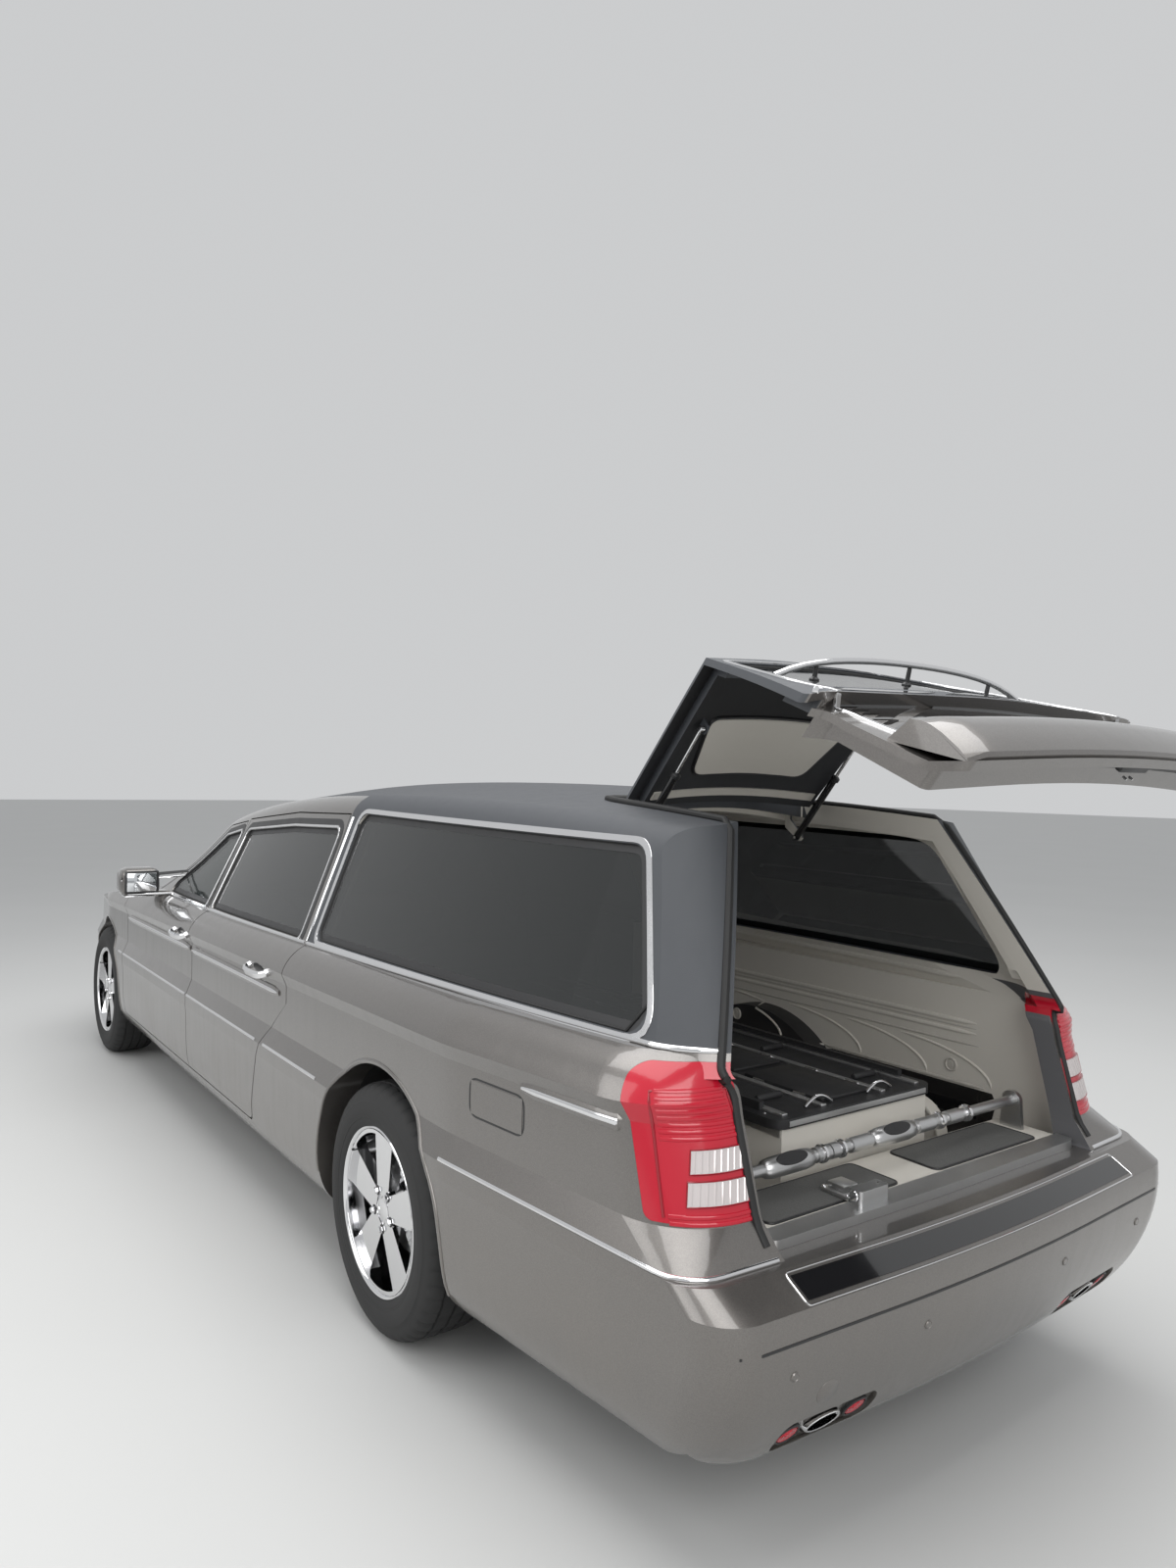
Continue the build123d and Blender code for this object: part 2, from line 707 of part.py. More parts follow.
def roof_strut_lug():
    """Plate under the front of the roof opening with the strut's lower pin."""
    x, z = STRUT_PIN
    front = TAILGATE_AXIS_X + 38
    points = [(x - 14, z, 8), (x, z - 14, 8), (front, z + 30), (front, z + 98), (front - 22, z + 98)]
    points += [(front - 22, z + 56), (x - 4, z + 14, 8)]
    inner = STRUT_Y + STRUT_TUBE_RADIUS + 3
    plate = along_y(points, inner, inner + 8)
    return plate + across_cylinder(x, z, STRUT_PIN_RADIUS, STRUT_Y - 9, inner + 4)


def lamps(shell):
    """Tail lamp housings in the rear corners and round reflectors low in the bumper."""
    lamp = (shell & lamp_region()) - above_belt(-6) - tailgate_region()
    reflectors = [across_x_disc(66, y, 299, 27, 9) for y in (412, 592)]
    return both_sides(group(lamp, *reflectors))


def across_x_disc(x, y, z, radius, thick):
    """Disc facing the rear, its back at x + thick."""
    return Pos(x + thick / 2, y, z) * Rot(0, 90, 0) * Cylinder(radius, thick)


def exhaust_recess():
    """Long rounded pocket low in each end of the bumper."""
    half = [(362, 258, 34), (644, 258, 34), (644, 342, 34), (362, 342, 34)]
    return both_sides(along_x(half, -300, 75))


def tip_hole(grow):
    """Oval of a tail pipe's tip."""
    return Pos(0, 505, 297) * Rot(0, 90, 0) * extrude(Ellipse(27 + grow, 46 + grow), 400, both=True)


def rear_bumper(shell):
    """Rear bumper cover with its step, open behind and with the exhaust pockets."""
    cover = shell & bumper_region()
    cover -= block((REAR_PANEL, 1300), (-BUMPER_INNER_HALF, BUMPER_INNER_HALF), (0, 700))
    radius = ARCH_RADIUS + ARCH_LINER + SEAT_GAP
    cover -= both_sides(across_cylinder(REAR_AXLE, TYRE_RADIUS, radius, 700, LINER_OUTER + SEAT_GAP))
    cover -= exhaust_recess()
    return cover - both_sides(tip_hole(2) & block((0, 300), (0, 900), (0, 900)))


def front_bumper(shell):
    """Front bumper cover with a wide lower intake."""
    cover = shell & front_bumper_region()
    half = [(0, LINER_OUTER + 1), (5600, LINER_OUTER + 1), (5850, 560)]
    cover -= along_z(half + [(x, -y) for x, y in reversed(half)], 0, 601)
    intake = [(-520, 330, 40), (520, 330, 40), (470, 450, 40), (-470, 450, 40)]
    return cover - along_x(intake, 5700, 6200)


def hood_underline(lower=0.0):
    """Room for the hood and its front lip, seen from the side."""
    low = [(4400, 960), (5200, 850), (5600, 770), (5850, 700), (6030, 640)]
    points = [(x, z - lower) for x, z in low] + [(6030, 1300), (4400, 1300)]
    return along_y(points, -1000, 1000)


def hood(shell):
    """Hood panel."""
    panel = shell & hood_region() & hood_underline()
    return panel - grille_region(PANEL_GAP) - both_sides(headlamp_region(PANEL_GAP))


def fenders(shell):
    """Front wings joined by the nose panel round lamps and grille."""
    wings = shell & block((FRONT_DOOR_FRONT + PANEL_GAP, 6500), (-1100, 1100), (0, 1200))
    wings -= hood_region(PANEL_GAP) & hood_underline(PANEL_GAP)
    wings -= front_bumper_region(SEAT_GAP)
    wings -= grille_region(SEAT_GAP)
    wings -= both_sides(headlamp_region(SEAT_GAP))
    wings -= block((0, 5700), (-790, 790), (0, FLOOR_TOP + 1))
    wings -= block((4000, COWL_FRONT), (-COWL_HALF, COWL_HALF), (0, 1200))
    return wings - block((4000, 5600), (-600, 600), (0, 1200))


def cowl(shell):
    """Strip between the hood and the windscreen."""
    step = FRONT_DOOR_FRONT + PANEL_GAP
    reach = block((SCREEN_FOOT, step), (-SHOULDER_INNER, SHOULDER_INNER), (880, 1100))
    reach += block((step, COWL_FRONT), (-COWL_HALF, COWL_HALF), (880, 1100))
    strip = shell & reach
    strip -= above_belt() + hood_region(PANEL_GAP)
    return strip - both_sides(front_door_region(PANEL_GAP))


def grille(shell):
    """Surround with level bars between its sides."""
    whole = shell & grille_region()
    surround = whole - grille_region(-26) & block((5700, 6200), (-1000, 1000), (0, 1000))
    bars = []
    for index in range(4):
        z = 642 + index * 27
        bars.append(whole & block((5880, 6100), (-400, 400), (z, z + 11)))
    back = whole & block((5850, 5885), (-400, 400), (600, 760))
    return (surround & block((5850, 6200), (-400, 400), (600, 800))) + back + group(*bars)


def headlamps(shell):
    """Headlamp housings."""
    return both_sides(shell & headlamp_region())


def liners():
    """Wheel housings inside the rear and front arches."""
    front = REAR_AXLE + WHEELBASE
    rings = []
    rows = [(REAR_AXLE, REAR_LINER_INNER, REAR_FLOOR_BOTTOM), (front, FRONT_LINER_INNER, FRONT_LINER_LOW)]
    for x, inner, low in rows:
        drum = across_cylinder(x, TYRE_RADIUS, ARCH_RADIUS + ARCH_LINER, inner - ARCH_LINER, LINER_OUTER)
        drum -= across_cylinder(x, TYRE_RADIUS, ARCH_RADIUS, inner, 1000)
        rings.append(drum - block((x - 600, x + 600), (0, 1000), (-200, low)))
    tie = (RAIL_Y[1] - 5, FRONT_LINER_INNER), (RAIL_Z[1] - 20, FRONT_LINER_LOW + 20)
    for x in (front - 250, front + 130):
        rings.append(block((x, x + 120), *tie))
    return both_sides(group(*rings) & narrowed_cavity(SEAT_GAP))


def floor_pan():
    """Floor, rear floor over the axle, firewall, wheel housings and front rails."""
    pan = block((REAR_FLOOR_FRONT, FIREWALL), (-FLOOR_HALF, FLOOR_HALF), (FLOOR_BOTTOM, FLOOR_TOP))
    across = (-FLOOR_HALF, FLOOR_HALF)
    pan += block((REAR_FLOOR_FRONT - 40, REAR_FLOOR_FRONT), across, (FLOOR_BOTTOM, REAR_FLOOR_TOP))
    pan += block((FIREWALL, FIREWALL + FIREWALL_THICK), across, (FLOOR_BOTTOM, FIREWALL_TOP))
    rear_half = BUMPER_INNER_HALF - SEAT_GAP
    rear_z = (REAR_FLOOR_BOTTOM, REAR_FLOOR_TOP)
    rear = REAR_PANEL + SEAT_GAP
    pan += block((REAR_PANEL + 90, REAR_FLOOR_FRONT), (-rear_half, rear_half), rear_z)
    pan += block((rear, REAR_PANEL + 90), (-700, 700), rear_z)
    pan += block((rear, REAR_PANEL + 32), (-600, 600), (REAR_FLOOR_BOTTOM, TAILGATE_BOTTOM + 6))
    pan += both_sides(block((FIREWALL, RAIL_FRONT), RAIL_Y, RAIL_Z))
    pan += block((5700, 5760), (-FRONT_BEAM_HALF, FRONT_BEAM_HALF), (RAIL_Z[1], RAIL_Z[1] + 80))
    pan -= arches()
    pan += liners()
    stops = Pos(5730, 370, 700) * Cylinder(14, 500)
    stops &= nose_envelope(HOOD_WALL + SEAT_GAP) & block((5600, 5900), (0, 500), (RAIL_Z[1] + 20, 1000))
    return pan + both_sides(stops)


def cargo_lining(inside):
    """Panels and headlining of the load space, its window frames cut."""
    room = inside & block((140, 2215), (-1000, 1000), (REAR_FLOOR_TOP + SEAT_GAP, 1620))
    low = block((100, 2300), (-SPACE_HALF, SPACE_HALF), (400, 1070))
    lining = room - low - upper_form(UPPER_WALL + LINING_THICK)
    lining -= group(cargo_window_region(), mirrored(cargo_window_region()))
    lining -= tailgate_region() & block((-500, TAILGATE_AXIS_X + 8), (-1000, 1000), (0, 2000))
    lining -= block((0, TAILGATE_AXIS_X + 60), (-390, 390), (1300, 1700))
    lining -= tailgate_region(-20) & block((-500, 330), (-1000, 1000), (0, 1100))
    housing = ARCH_RADIUS + ARCH_LINER + SEAT_GAP
    return lining - both_sides(across_cylinder(REAR_AXLE, TYRE_RADIUS, housing, 600, 900))


def load_deck():
    """Deck with its plinth for the bier and the carpeted threshold box."""
    bottom = REAR_FLOOR_TOP + SEAT_GAP
    half = SPACE_HALF - SEAT_GAP
    deck = block((DECK_REAR + 110, DECK_FRONT), (-half, half), (bottom, DECK_TOP))
    deck += block((DECK_REAR, DECK_REAR + 110), (-DECK_HALF, DECK_HALF), (bottom, DECK_TOP))
    reach = ARCH_RADIUS + ARCH_LINER + 4
    inner = REAR_LINER_INNER - ARCH_LINER - 4
    deck -= both_sides(block((REAR_AXLE - reach, REAR_AXLE + reach), (inner, 1000), (0, 1000)))
    plinth_z = (DECK_TOP, BIER_UNDER - SEAT_GAP)
    deck += block((BIER_REAR + 10, DECK_FRONT), (-PLINTH_HALF, PLINTH_HALF), plinth_z)
    deck += block((DECK_REAR, THRESHOLD_FRONT), (-DECK_HALF, DECK_HALF), (DECK_TOP, THRESHOLD_TOP))
    return deck + both_sides(arch_bracket())


def arch_bracket():
    """Half-round upright on the deck beside the plinth."""
    round_top = across_cylinder(520, 600, 105, 430, 470) & block((300, 800), (0, 900), (600, 800))
    return round_top + block((415, 625), (430, 470), (DECK_TOP, 600))


def threshold():
    """Sill moulding with its stop block, and the loading tube on its end plates."""
    top = TAILGATE_BOTTOM + 30
    edge = [(92, -590, 30), (148, -590), (148, 590), (92, 590, 30), (82, 0, 6000)]
    sill = along_z(edge, BUMPER_TOP + SEAT_GAP, top)
    sill += fillet(block((106, 144), (190, 290), (top, top + 36)).edges().filter_by(Axis.Z), 8)
    x, z = TUBE_AT
    tube = across_cylinder(x, z, TUBE_RADIUS, -TUBE_HALF, TUBE_HALF)
    for y in (-210, 0, 210):
        tube += across_cylinder(x, z, TUBE_RADIUS + 5, y - 14, y + 14)
    low = THRESHOLD_TOP + SEAT_GAP
    plate = [(x - 34, low), (x + 34, low), (x + 26, z + 26, 24), (x - 26, z + 26, 24)]
    for y in (-TUBE_HALF, TUBE_HALF - 14):
        tube += along_y(plate, y, y + 14)
    return group(sill, tube)


def bier():
    """Sliding bier board with low side rails and an end stop."""
    front = BIER_REAR + BIER_LENGTH
    top = BIER_UNDER + BIER_THICK
    board = block((BIER_REAR, front), (-BIER_HALF, BIER_HALF), (BIER_UNDER, top))
    board = fillet(board.edges().filter_by(Axis.Z), 40)
    rail = block((BIER_REAR + 90, front - 90), (BIER_HALF - 42, BIER_HALF - 26), (top, top + 22))
    return board + both_sides(rail)


def engine():
    x, y, z = ENGINE_CENTRE
    return Pos(x, y, z) * Box(*ENGINE_SIZE)


def exhaust():
    """Down pipe, long pipe, silencer and the two oval tips."""
    y = -150
    start = (4900, y, 330)
    path = Polyline(start, (4640, y, PIPE_Z), (1150, y, PIPE_Z), (800, y, 320))
    section = Plane(origin=start, z_dir=path % 0) * Circle(PIPE_RADIUS)
    pipe = sweep(section, path, transition=Transition.RIGHT)
    for x in (2500, 3700):
        pipe += block((x, x + 30), (y - 12, y + 12), (PIPE_Z + PIPE_RADIUS - 6, FLOOR_BOTTOM - SEAT_GAP))
    silencer = fillet(block((330, 830), (-330, 330), (262, 402)).edges().filter_by(Axis.Y), 40)
    silencer += block((560, 600), (-40, 40), (398, REAR_FLOOR_BOTTOM - SEAT_GAP))
    tip = (tip_hole(0) - tip_hole(-4)) & block((62, 330), (0, 900), (0, 900))
    collar = block((326, 366), (462, 548), (273, 321))
    elbow = rod((352, 505, 297), (430, 300, 320), 22)
    return silencer + pipe + both_sides(tip + collar + elbow)


def front_axle():
    """Front cross member with its towers, and two arms a side."""
    x = REAR_AXLE + WHEELBASE
    beam = block((x - 60, x + 60), (-400, 400), (225, 300))
    half = block((x - 60, x + 60), (RAIL_Y[0] + 5, RAIL_Y[1]), (300, RAIL_Z[0] - SEAT_GAP))
    arm_x = (x - 28, x + 28)
    arm_y = (RAIL_Y[0] + 5, kingpin_y() + KNUCKLE_END)
    top = RAIL_Z[1] + SEAT_GAP
    half += block(arm_x, arm_y, (LOWER_ARM_TOP - ARM_THICK, LOWER_ARM_TOP))
    half += block(arm_x, arm_y, (top, top + ARM_THICK))
    half += block(arm_x, (RAIL_Y[1] + SEAT_GAP, RAIL_Y[1] + 18), (LOWER_ARM_TOP - ARM_THICK, top + ARM_THICK))
    half += block((x - 40, x + 40), (180, 240), (300, ENGINE_CENTRE[2] - ENGINE_SIZE[2] / 2 - SEAT_GAP))
    return beam + both_sides(half)


def kingpin_y():
    return TYRE_OUTER_SIDE - KINGPIN_INSET


def stub_end():
    """Outer end of a stub axle, just inside the hub's closed face."""
    return TYRE_OUTER_SIDE - HUB_FACE - SEAT_GAP


def knuckle():
    """Left front upright between its arms, with the wheel's stub."""
    x = REAR_AXLE + WHEELBASE
    y = kingpin_y()
    low = LOWER_ARM_TOP + SEAT_GAP
    upright = Pos(x, y, low) * Cylinder(KINGPIN_RADIUS, RAIL_Z[1] - low, align=STANDING)
    upright += across_cylinder(x, TYRE_RADIUS, 48, y - 20, y + 12)
    return upright + across_cylinder(x, TYRE_RADIUS, HUB_BORE - STUB_CLEARANCE, y, stub_end())


def rear_axle():
    """Rear cross member, differential, half shafts and the stubs of the rear wheels."""
    x = REAR_AXLE
    z = TYRE_RADIUS
    beam = block((x - 150, x + 150), (-480, 480), (300, 340))
    beam += block((x - 120, x + 120), (-110, 110), (285, 400))
    shaft = across_cylinder(x, z, 17, 100, 700)
    carrier = across_cylinder(x, z, 60, 640, 700)
    arm = block((x - 60, x + 60), (470, 660), (310, 345))
    arm += block((x - 60, x + 60), (400, 475), (310, REAR_FLOOR_BOTTOM - SEAT_GAP))
    stub = across_cylinder(x, z, HUB_BORE - STUB_CLEARANCE, 690, stub_end())
    return beam + both_sides(shaft + carrier + arm + stub)


def wheel_at(shape, x, side):
    """Left-hand wheel piece moved to an axle, turned round for the right side."""
    placed = Pos(x, 0, TYRE_RADIUS) * shape
    return placed if side > 0 else mirrored(placed)


def tyre():
    """Tyre with full side walls, its axis along Y."""
    outer = TYRE_OUTER_SIDE
    inner = outer - TYRE_WIDTH
    half = [(16, RIM_RADIUS), (3, RIM_RADIUS + 28), (0, RIM_RADIUS + 58), (7, TYRE_RADIUS - 38)]
    half += [(19, TYRE_RADIUS - 16), (40, TYRE_RADIUS - 4), (62, TYRE_RADIUS)]
    points = [(inner + inset, radius) for inset, radius in half]
    points += [(outer - inset, radius) for inset, radius in reversed(half)]
    section = Plane(origin=(0, 0, 0), x_dir=(0, 1, 0), z_dir=(1, 0, 0)) * outline(points)
    return revolve(section, Axis.Y)


def rim():
    """Wheel with a dished barrel, hub, broad spokes and its brake disc."""
    outer = TYRE_OUTER_SIDE - 16
    inner = outer - TYRE_WIDTH + 32
    barrel = across_cylinder(0, 0, RIM_RADIUS, inner, outer)
    barrel -= across_cylinder(0, 0, RIM_RADIUS - RIM_WALL, inner - 1, outer + 1)
    face = outer - 14
    disc = inner + 112
    hub = across_cylinder(0, 0, HUB_RADIUS, disc, face - 4)
    wheel = barrel + hub + across_cylinder(0, 0, DISC_RADIUS, disc, disc + DISC_WIDTH)
    for index in range(SPOKE_COUNT):
        turn = Rot(0, index * 360 / SPOKE_COUNT, 0)
        points = [(-SPOKE_WIDTH * 0.36, 40), (SPOKE_WIDTH * 0.36, 40), (SPOKE_WIDTH * 0.62, RIM_RADIUS - 10)]
        points += [(-SPOKE_WIDTH * 0.62, RIM_RADIUS - 10)]
        wheel += turn * along_y(points, face - SPOKE_DEPTH, face)
    return wheel - across_cylinder(0, 0, HUB_BORE, inner, TYRE_OUTER_SIDE - HUB_FACE)


def dashboard():
    """Dashboard across the cabin."""
    front = FIREWALL - SEAT_GAP
    points = [(front, 915), (4300, 940, 100), (4080, 935, 60), (4010, 860, 50)]
    points += [(4080, 700, 60), (4300, 600, 60), (front, 590)]
    return along_y(points, -700, 700) - steering_column(SEAT_GAP)


def steering_column(grow=0.0):
    """Column from the boss into the dashboard."""
    return STEERING_PLACE * Pos(0, 0, -90) * Cylinder(24 + grow, 180 + 2 * grow)


def steering_wheel():
    """Rim, boss and column on the driver's side."""
    grip = [(180 + 15 * math.cos(turn), 15 * math.sin(turn)) for turn in GRIP_TURNS]
    wheel = revolve(Plane.XZ * outline(grip), Axis.Z) + Cylinder(50, 40) + Box(330, 46, 18)
    return STEERING_PLACE * wheel + steering_column()


def seats():
    """Two front seats and the rear bench, each a padded body on its base."""
    front = [
        (3150, 300.3),
        (3560, 300.3),
        (3640, 520, 50),
        (3600, 590, 60),
        (3190, 560, 60),
        (3010, 1130, 60),
        (2910, 1110, 60),
        (3080, 470, 60),
    ]
    front_seat = along_y(front, 140, 640)
    rear = [(2330, 300.3), (2780, 300.3), (2850, 520, 50), (2810, 590, 60), (2440, 560, 60), (2340, 1010, 60)]
    rear += [(2242, 1000, 50), (2250, 520)]
    bench = along_y(rear, -640, 640)
    return group(both_sides(front_seat), bench)


def build():
    """Every node of the car by name."""
    outside = lower_form() + upper_form(0)
    inside = lower_cavity() + upper_form(UPPER_WALL)
    shell = outside - inside - arches()
    glass = glass_layer()
    front_door, rear_door = door_shapes(shell)
    side = body_sides(shell) + centre_post()
    roof, frame = top_panels(shell)
    roof += both_sides(roof_strut_lug()) + hinge_leaves(1)
    closed = tailgate(shell, outside) + both_sides(eye_bracket())
    rear_glass = glass & rear_glass_region(-SEAT_GAP)
    front_glass = glass & front_window_region(-SEAT_GAP)
    back_glass = glass & rear_window_region(-SEAT_GAP)
    parts = {
        "body_side_left": side,
        "body_side_right": mirrored(side),
        "floor_pan": floor_pan(),
        "roof": roof,
        "screen_frame": frame,
        "cowl": cowl(shell),
        "fenders": fenders(shell),
        "front_bumper": front_bumper(shell),
        "rear_bumper": rear_bumper(shell),
        "grille": grille(shell),
        "headlamps": headlamps(shell),
        "tail_lamps": lamps(shell),
        "windscreen": glass & windscreen_region(-SEAT_GAP),
        "side_glass": both_sides(glass & cargo_window_region(-SEAT_GAP)),
        "hood": hood(shell),
        "door_front_left": front_door,
        "door_front_right": mirrored(front_door),
        "door_rear_left": rear_door,
        "door_rear_right": mirrored(rear_door),
        "door_glass_front_left": front_glass,
        "door_glass_front_right": mirrored(front_glass),
        "door_glass_rear_left": back_glass,
        "door_glass_rear_right": mirrored(back_glass),
        "tailgate": opened(closed),
        "tailgate_glass": opened(rear_glass),
        "strut_tubes": both_sides(strut_tube()),
        "strut_rods": both_sides(strut_rod()),
        "cargo_lining": cargo_lining(inside),
        "load_deck": load_deck(),
        "threshold": threshold(),
        "bier": bier(),
        "dashboard": dashboard(),
        "steering_wheel": steering_wheel(),
        "seats": seats(),
        "engine": engine(),
        "exhaust": exhaust(),
        "front_axle": front_axle(),
        "rear_axle": rear_axle(),
        "knuckle_left": knuckle(),
        "knuckle_right": mirrored(knuckle()),
    }
    one_tyre = tyre()
    one_rim = rim()
    for name, x, side_sign in wheel_places():
        parts[f"tyre_{name}"] = wheel_at(one_tyre, x, side_sign)
        parts[f"rim_{name}"] = wheel_at(one_rim, x, side_sign)
    return parts


def middle_of(parts):
    """Place of the middle of the whole car's box along X."""
    boxes = [shape.bounding_box() for shape in parts.values()]
    return (min(box.min.X for box in boxes) + max(box.max.X for box in boxes)) / 2


def write(parts):
    """One file a node, with the car centred over its own box."""
    middle = middle_of(parts)
    os.makedirs("parts", exist_ok=True)
    for name, shape in parts.items():
        export_step(place_x(shape, -middle), f"parts/{name}.step")
    print(f"{len(parts)} nodes, moved {-middle:.2f} mm along X")


if __name__ == "__main__":
    write(build())
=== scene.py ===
import logging
import math
from dataclasses import dataclass
from enum import Enum
from typing import Callable, Iterable, Optional, Sequence

import bmesh
import bpy
from mathutils import Matrix, Vector
from mathutils.bvhtree import BVHTree


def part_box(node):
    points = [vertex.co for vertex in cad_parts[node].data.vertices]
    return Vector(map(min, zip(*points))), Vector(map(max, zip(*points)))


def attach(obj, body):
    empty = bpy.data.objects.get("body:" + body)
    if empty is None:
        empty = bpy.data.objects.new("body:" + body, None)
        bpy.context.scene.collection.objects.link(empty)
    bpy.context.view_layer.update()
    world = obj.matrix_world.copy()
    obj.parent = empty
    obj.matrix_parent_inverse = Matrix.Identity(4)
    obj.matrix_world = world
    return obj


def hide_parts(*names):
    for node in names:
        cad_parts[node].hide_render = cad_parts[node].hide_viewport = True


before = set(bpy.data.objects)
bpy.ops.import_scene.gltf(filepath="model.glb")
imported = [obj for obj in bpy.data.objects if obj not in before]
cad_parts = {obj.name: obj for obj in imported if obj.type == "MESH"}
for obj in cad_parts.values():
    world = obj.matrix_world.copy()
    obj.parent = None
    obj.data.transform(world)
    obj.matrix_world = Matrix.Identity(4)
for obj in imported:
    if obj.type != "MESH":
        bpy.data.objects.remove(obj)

LOG = logging.getLogger("hearse")

# Places are given as u forward from near the tail lamps, y to the left and z up, in metres.
# The bier board starts at u = 0.350, which fixes the origin of the frame.
ORIGIN = 0.350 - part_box("bier")[0].x

# Centre that the tail's corners are drawn round, and how far out their rays start
CORNER_U = 0.9
CORNER_REACH = 2.7

# Distance of the tyres' centres from the car's middle plane, and their radius
TYRE_Y = 0.7925
TYRE_RADIUS = 0.3635

# Hinge line and rest angle of the tailgate
TAILGATE_U = 0.925
TAILGATE_Z = 1.600
TAILGATE_TURN = math.radians(51.0)

Path = list[Vector]
Pair = tuple[float, float]
Color = tuple[float, float, float]
Faces = list[tuple[int, ...]]
Hit = Optional[tuple[Vector, Vector]]


def at(u: float, y: float, z: float) -> Vector:
    """Point in the frame from a place on the car."""
    return Vector((u - ORIGIN, y, z))


def tailgate_matrix() -> Matrix:
    """Turn of the tailgate from closed to where it rests."""
    hinge = Matrix.Translation(at(TAILGATE_U, 0, TAILGATE_Z))
    return hinge @ Matrix.Rotation(TAILGATE_TURN, 4, "Y") @ hinge.inverted()


# Node groups shared by the materials


def set_inputs(node: bpy.types.Node, values: dict[str, object]) -> None:
    """Set plain values or links of a node.

    Args:
        node: Shader node.
        values: Numbers, colours or sockets by input name or number.
    """
    for key, value in values.items():
        if isinstance(value, bpy.types.NodeSocket):
            node.id_data.links.new(value, node.inputs[key])
        else:
            node.inputs[key].default_value = value


class NodeKit:
    """Small helper that adds and links shader nodes in one tree."""

    def __init__(self, tree: bpy.types.NodeTree) -> None:
        """Keep the tree."""
        self.tree = tree

    def add(self, kind: str, inputs: Optional[dict] = None, **settings: object) -> bpy.types.Node:
        """Add one node.

        Args:
            kind: Node type without the ShaderNode prefix.
            inputs: Values or sockets by input name or number.
            **settings: Properties of the node.

        Returns:
            The new node.
        """
        node = self.tree.nodes.new("ShaderNode" + kind)
        for key, value in settings.items():
            setattr(node, key, value)
        set_inputs(node, inputs or {})
        return node

    def math(self, operation: str, *values: object) -> bpy.types.NodeSocket:
        """Add a math node."""
        return self.add("Math", dict(enumerate(values)), operation=operation).outputs[0]

    def ramp(self, value: object, low: float, high: float) -> bpy.types.NodeSocket:
        """Map a value from low..high to 0..1, clamped."""
        node = self.add("MapRange", {"Value": value, "From Min": low, "From Max": high})
        return node.outputs[0]

    def mix(self, factor: object, first: object, second: object) -> bpy.types.NodeSocket:
        """Mix two colours."""
        colors = [value if isinstance(value, bpy.types.NodeSocket) else (*value, 1.0)
                  for value in (first, second)]
        return self.add("Mix", {0: factor, 6: colors[0], 7: colors[1]}, data_type="RGBA").outputs[2]


def new_group(name: str, inputs: dict[str, float], outputs: dict[str, str]) -> tuple[NodeKit, dict, dict]:
    """Make an empty shader node group.

    Args:
        name: Name of the group.
        inputs: Float inputs with their values.
        outputs: Output names with their socket types.
    """
    tree = bpy.data.node_groups.new(name, "ShaderNodeTree")
    for key, value in inputs.items():
        socket = tree.interface.new_socket(key, in_out="INPUT", socket_type="NodeSocketFloat")
        socket.default_value = value
    for key, kind in outputs.items():
        tree.interface.new_socket(key, in_out="OUTPUT", socket_type=kind)
    source = tree.nodes.new("NodeGroupInput")
    sink = tree.nodes.new("NodeGroupOutput")
    return NodeKit(tree), source.outputs, sink.inputs


def wear_group() -> bpy.types.NodeTree:
    """Blotches and fine streaks that vary a finish over the whole car.

    Returns:
        Group with the outputs Blotch and Streak.
    """
    kit, source, sink = new_group(
        "SurfaceWear", {"Scale": 3.0, "Detail": 6.0},
        {"Blotch": "NodeSocketFloat", "Streak": "NodeSocketFloat"})
    place = kit.add("TexCoord").outputs["Object"]
    cloud = kit.add("TexNoise", {"Vector": place, "Scale": source["Scale"], "Detail": source["Detail"]})
    stretched = kit.add("Mapping", {"Vector": place, "Scale": (9.0, 9.0, 0.8)})
    rain = kit.add("TexNoise", {"Vector": stretched.outputs[0], "Scale": source["Scale"], "Detail": 4.0})
    kit.tree.links.new(kit.ramp(cloud.outputs["Fac"], 0.32, 0.68), sink["Blotch"])
    kit.tree.links.new(kit.ramp(rain.outputs["Fac"], 0.45, 0.72), sink["Streak"])
    return kit.tree


def grain_group() -> bpy.types.NodeTree:
    """Fine relief of leather, vinyl, cast plastic or carpet.

    Returns:
        Group with the outputs Height and Normal.
    """
    kit, source, sink = new_group(
        "Grain", {"Scale": 400.0, "Strength": 0.2, "Distance": 0.001, "Cells": 0.5},
        {"Height": "NodeSocketFloat", "Normal": "NodeSocketVector"})
    place = kit.add("TexCoord").outputs["Object"]
    cells = kit.add("TexVoronoi", {"Vector": place, "Scale": source["Scale"]})
    cloud = kit.add("TexNoise", {"Vector": place, "Scale": source["Scale"], "Detail": 3.0})
    part = kit.math("MULTIPLY", cells.outputs["Distance"], source["Cells"])
    height = kit.math("ADD", part, cloud.outputs["Fac"])
    bump = kit.add("Bump", {"Height": height, "Strength": source["Strength"],
                            "Distance": source["Distance"]})
    kit.tree.links.new(height, sink["Height"])
    kit.tree.links.new(bump.outputs[0], sink["Normal"])
    return kit.tree


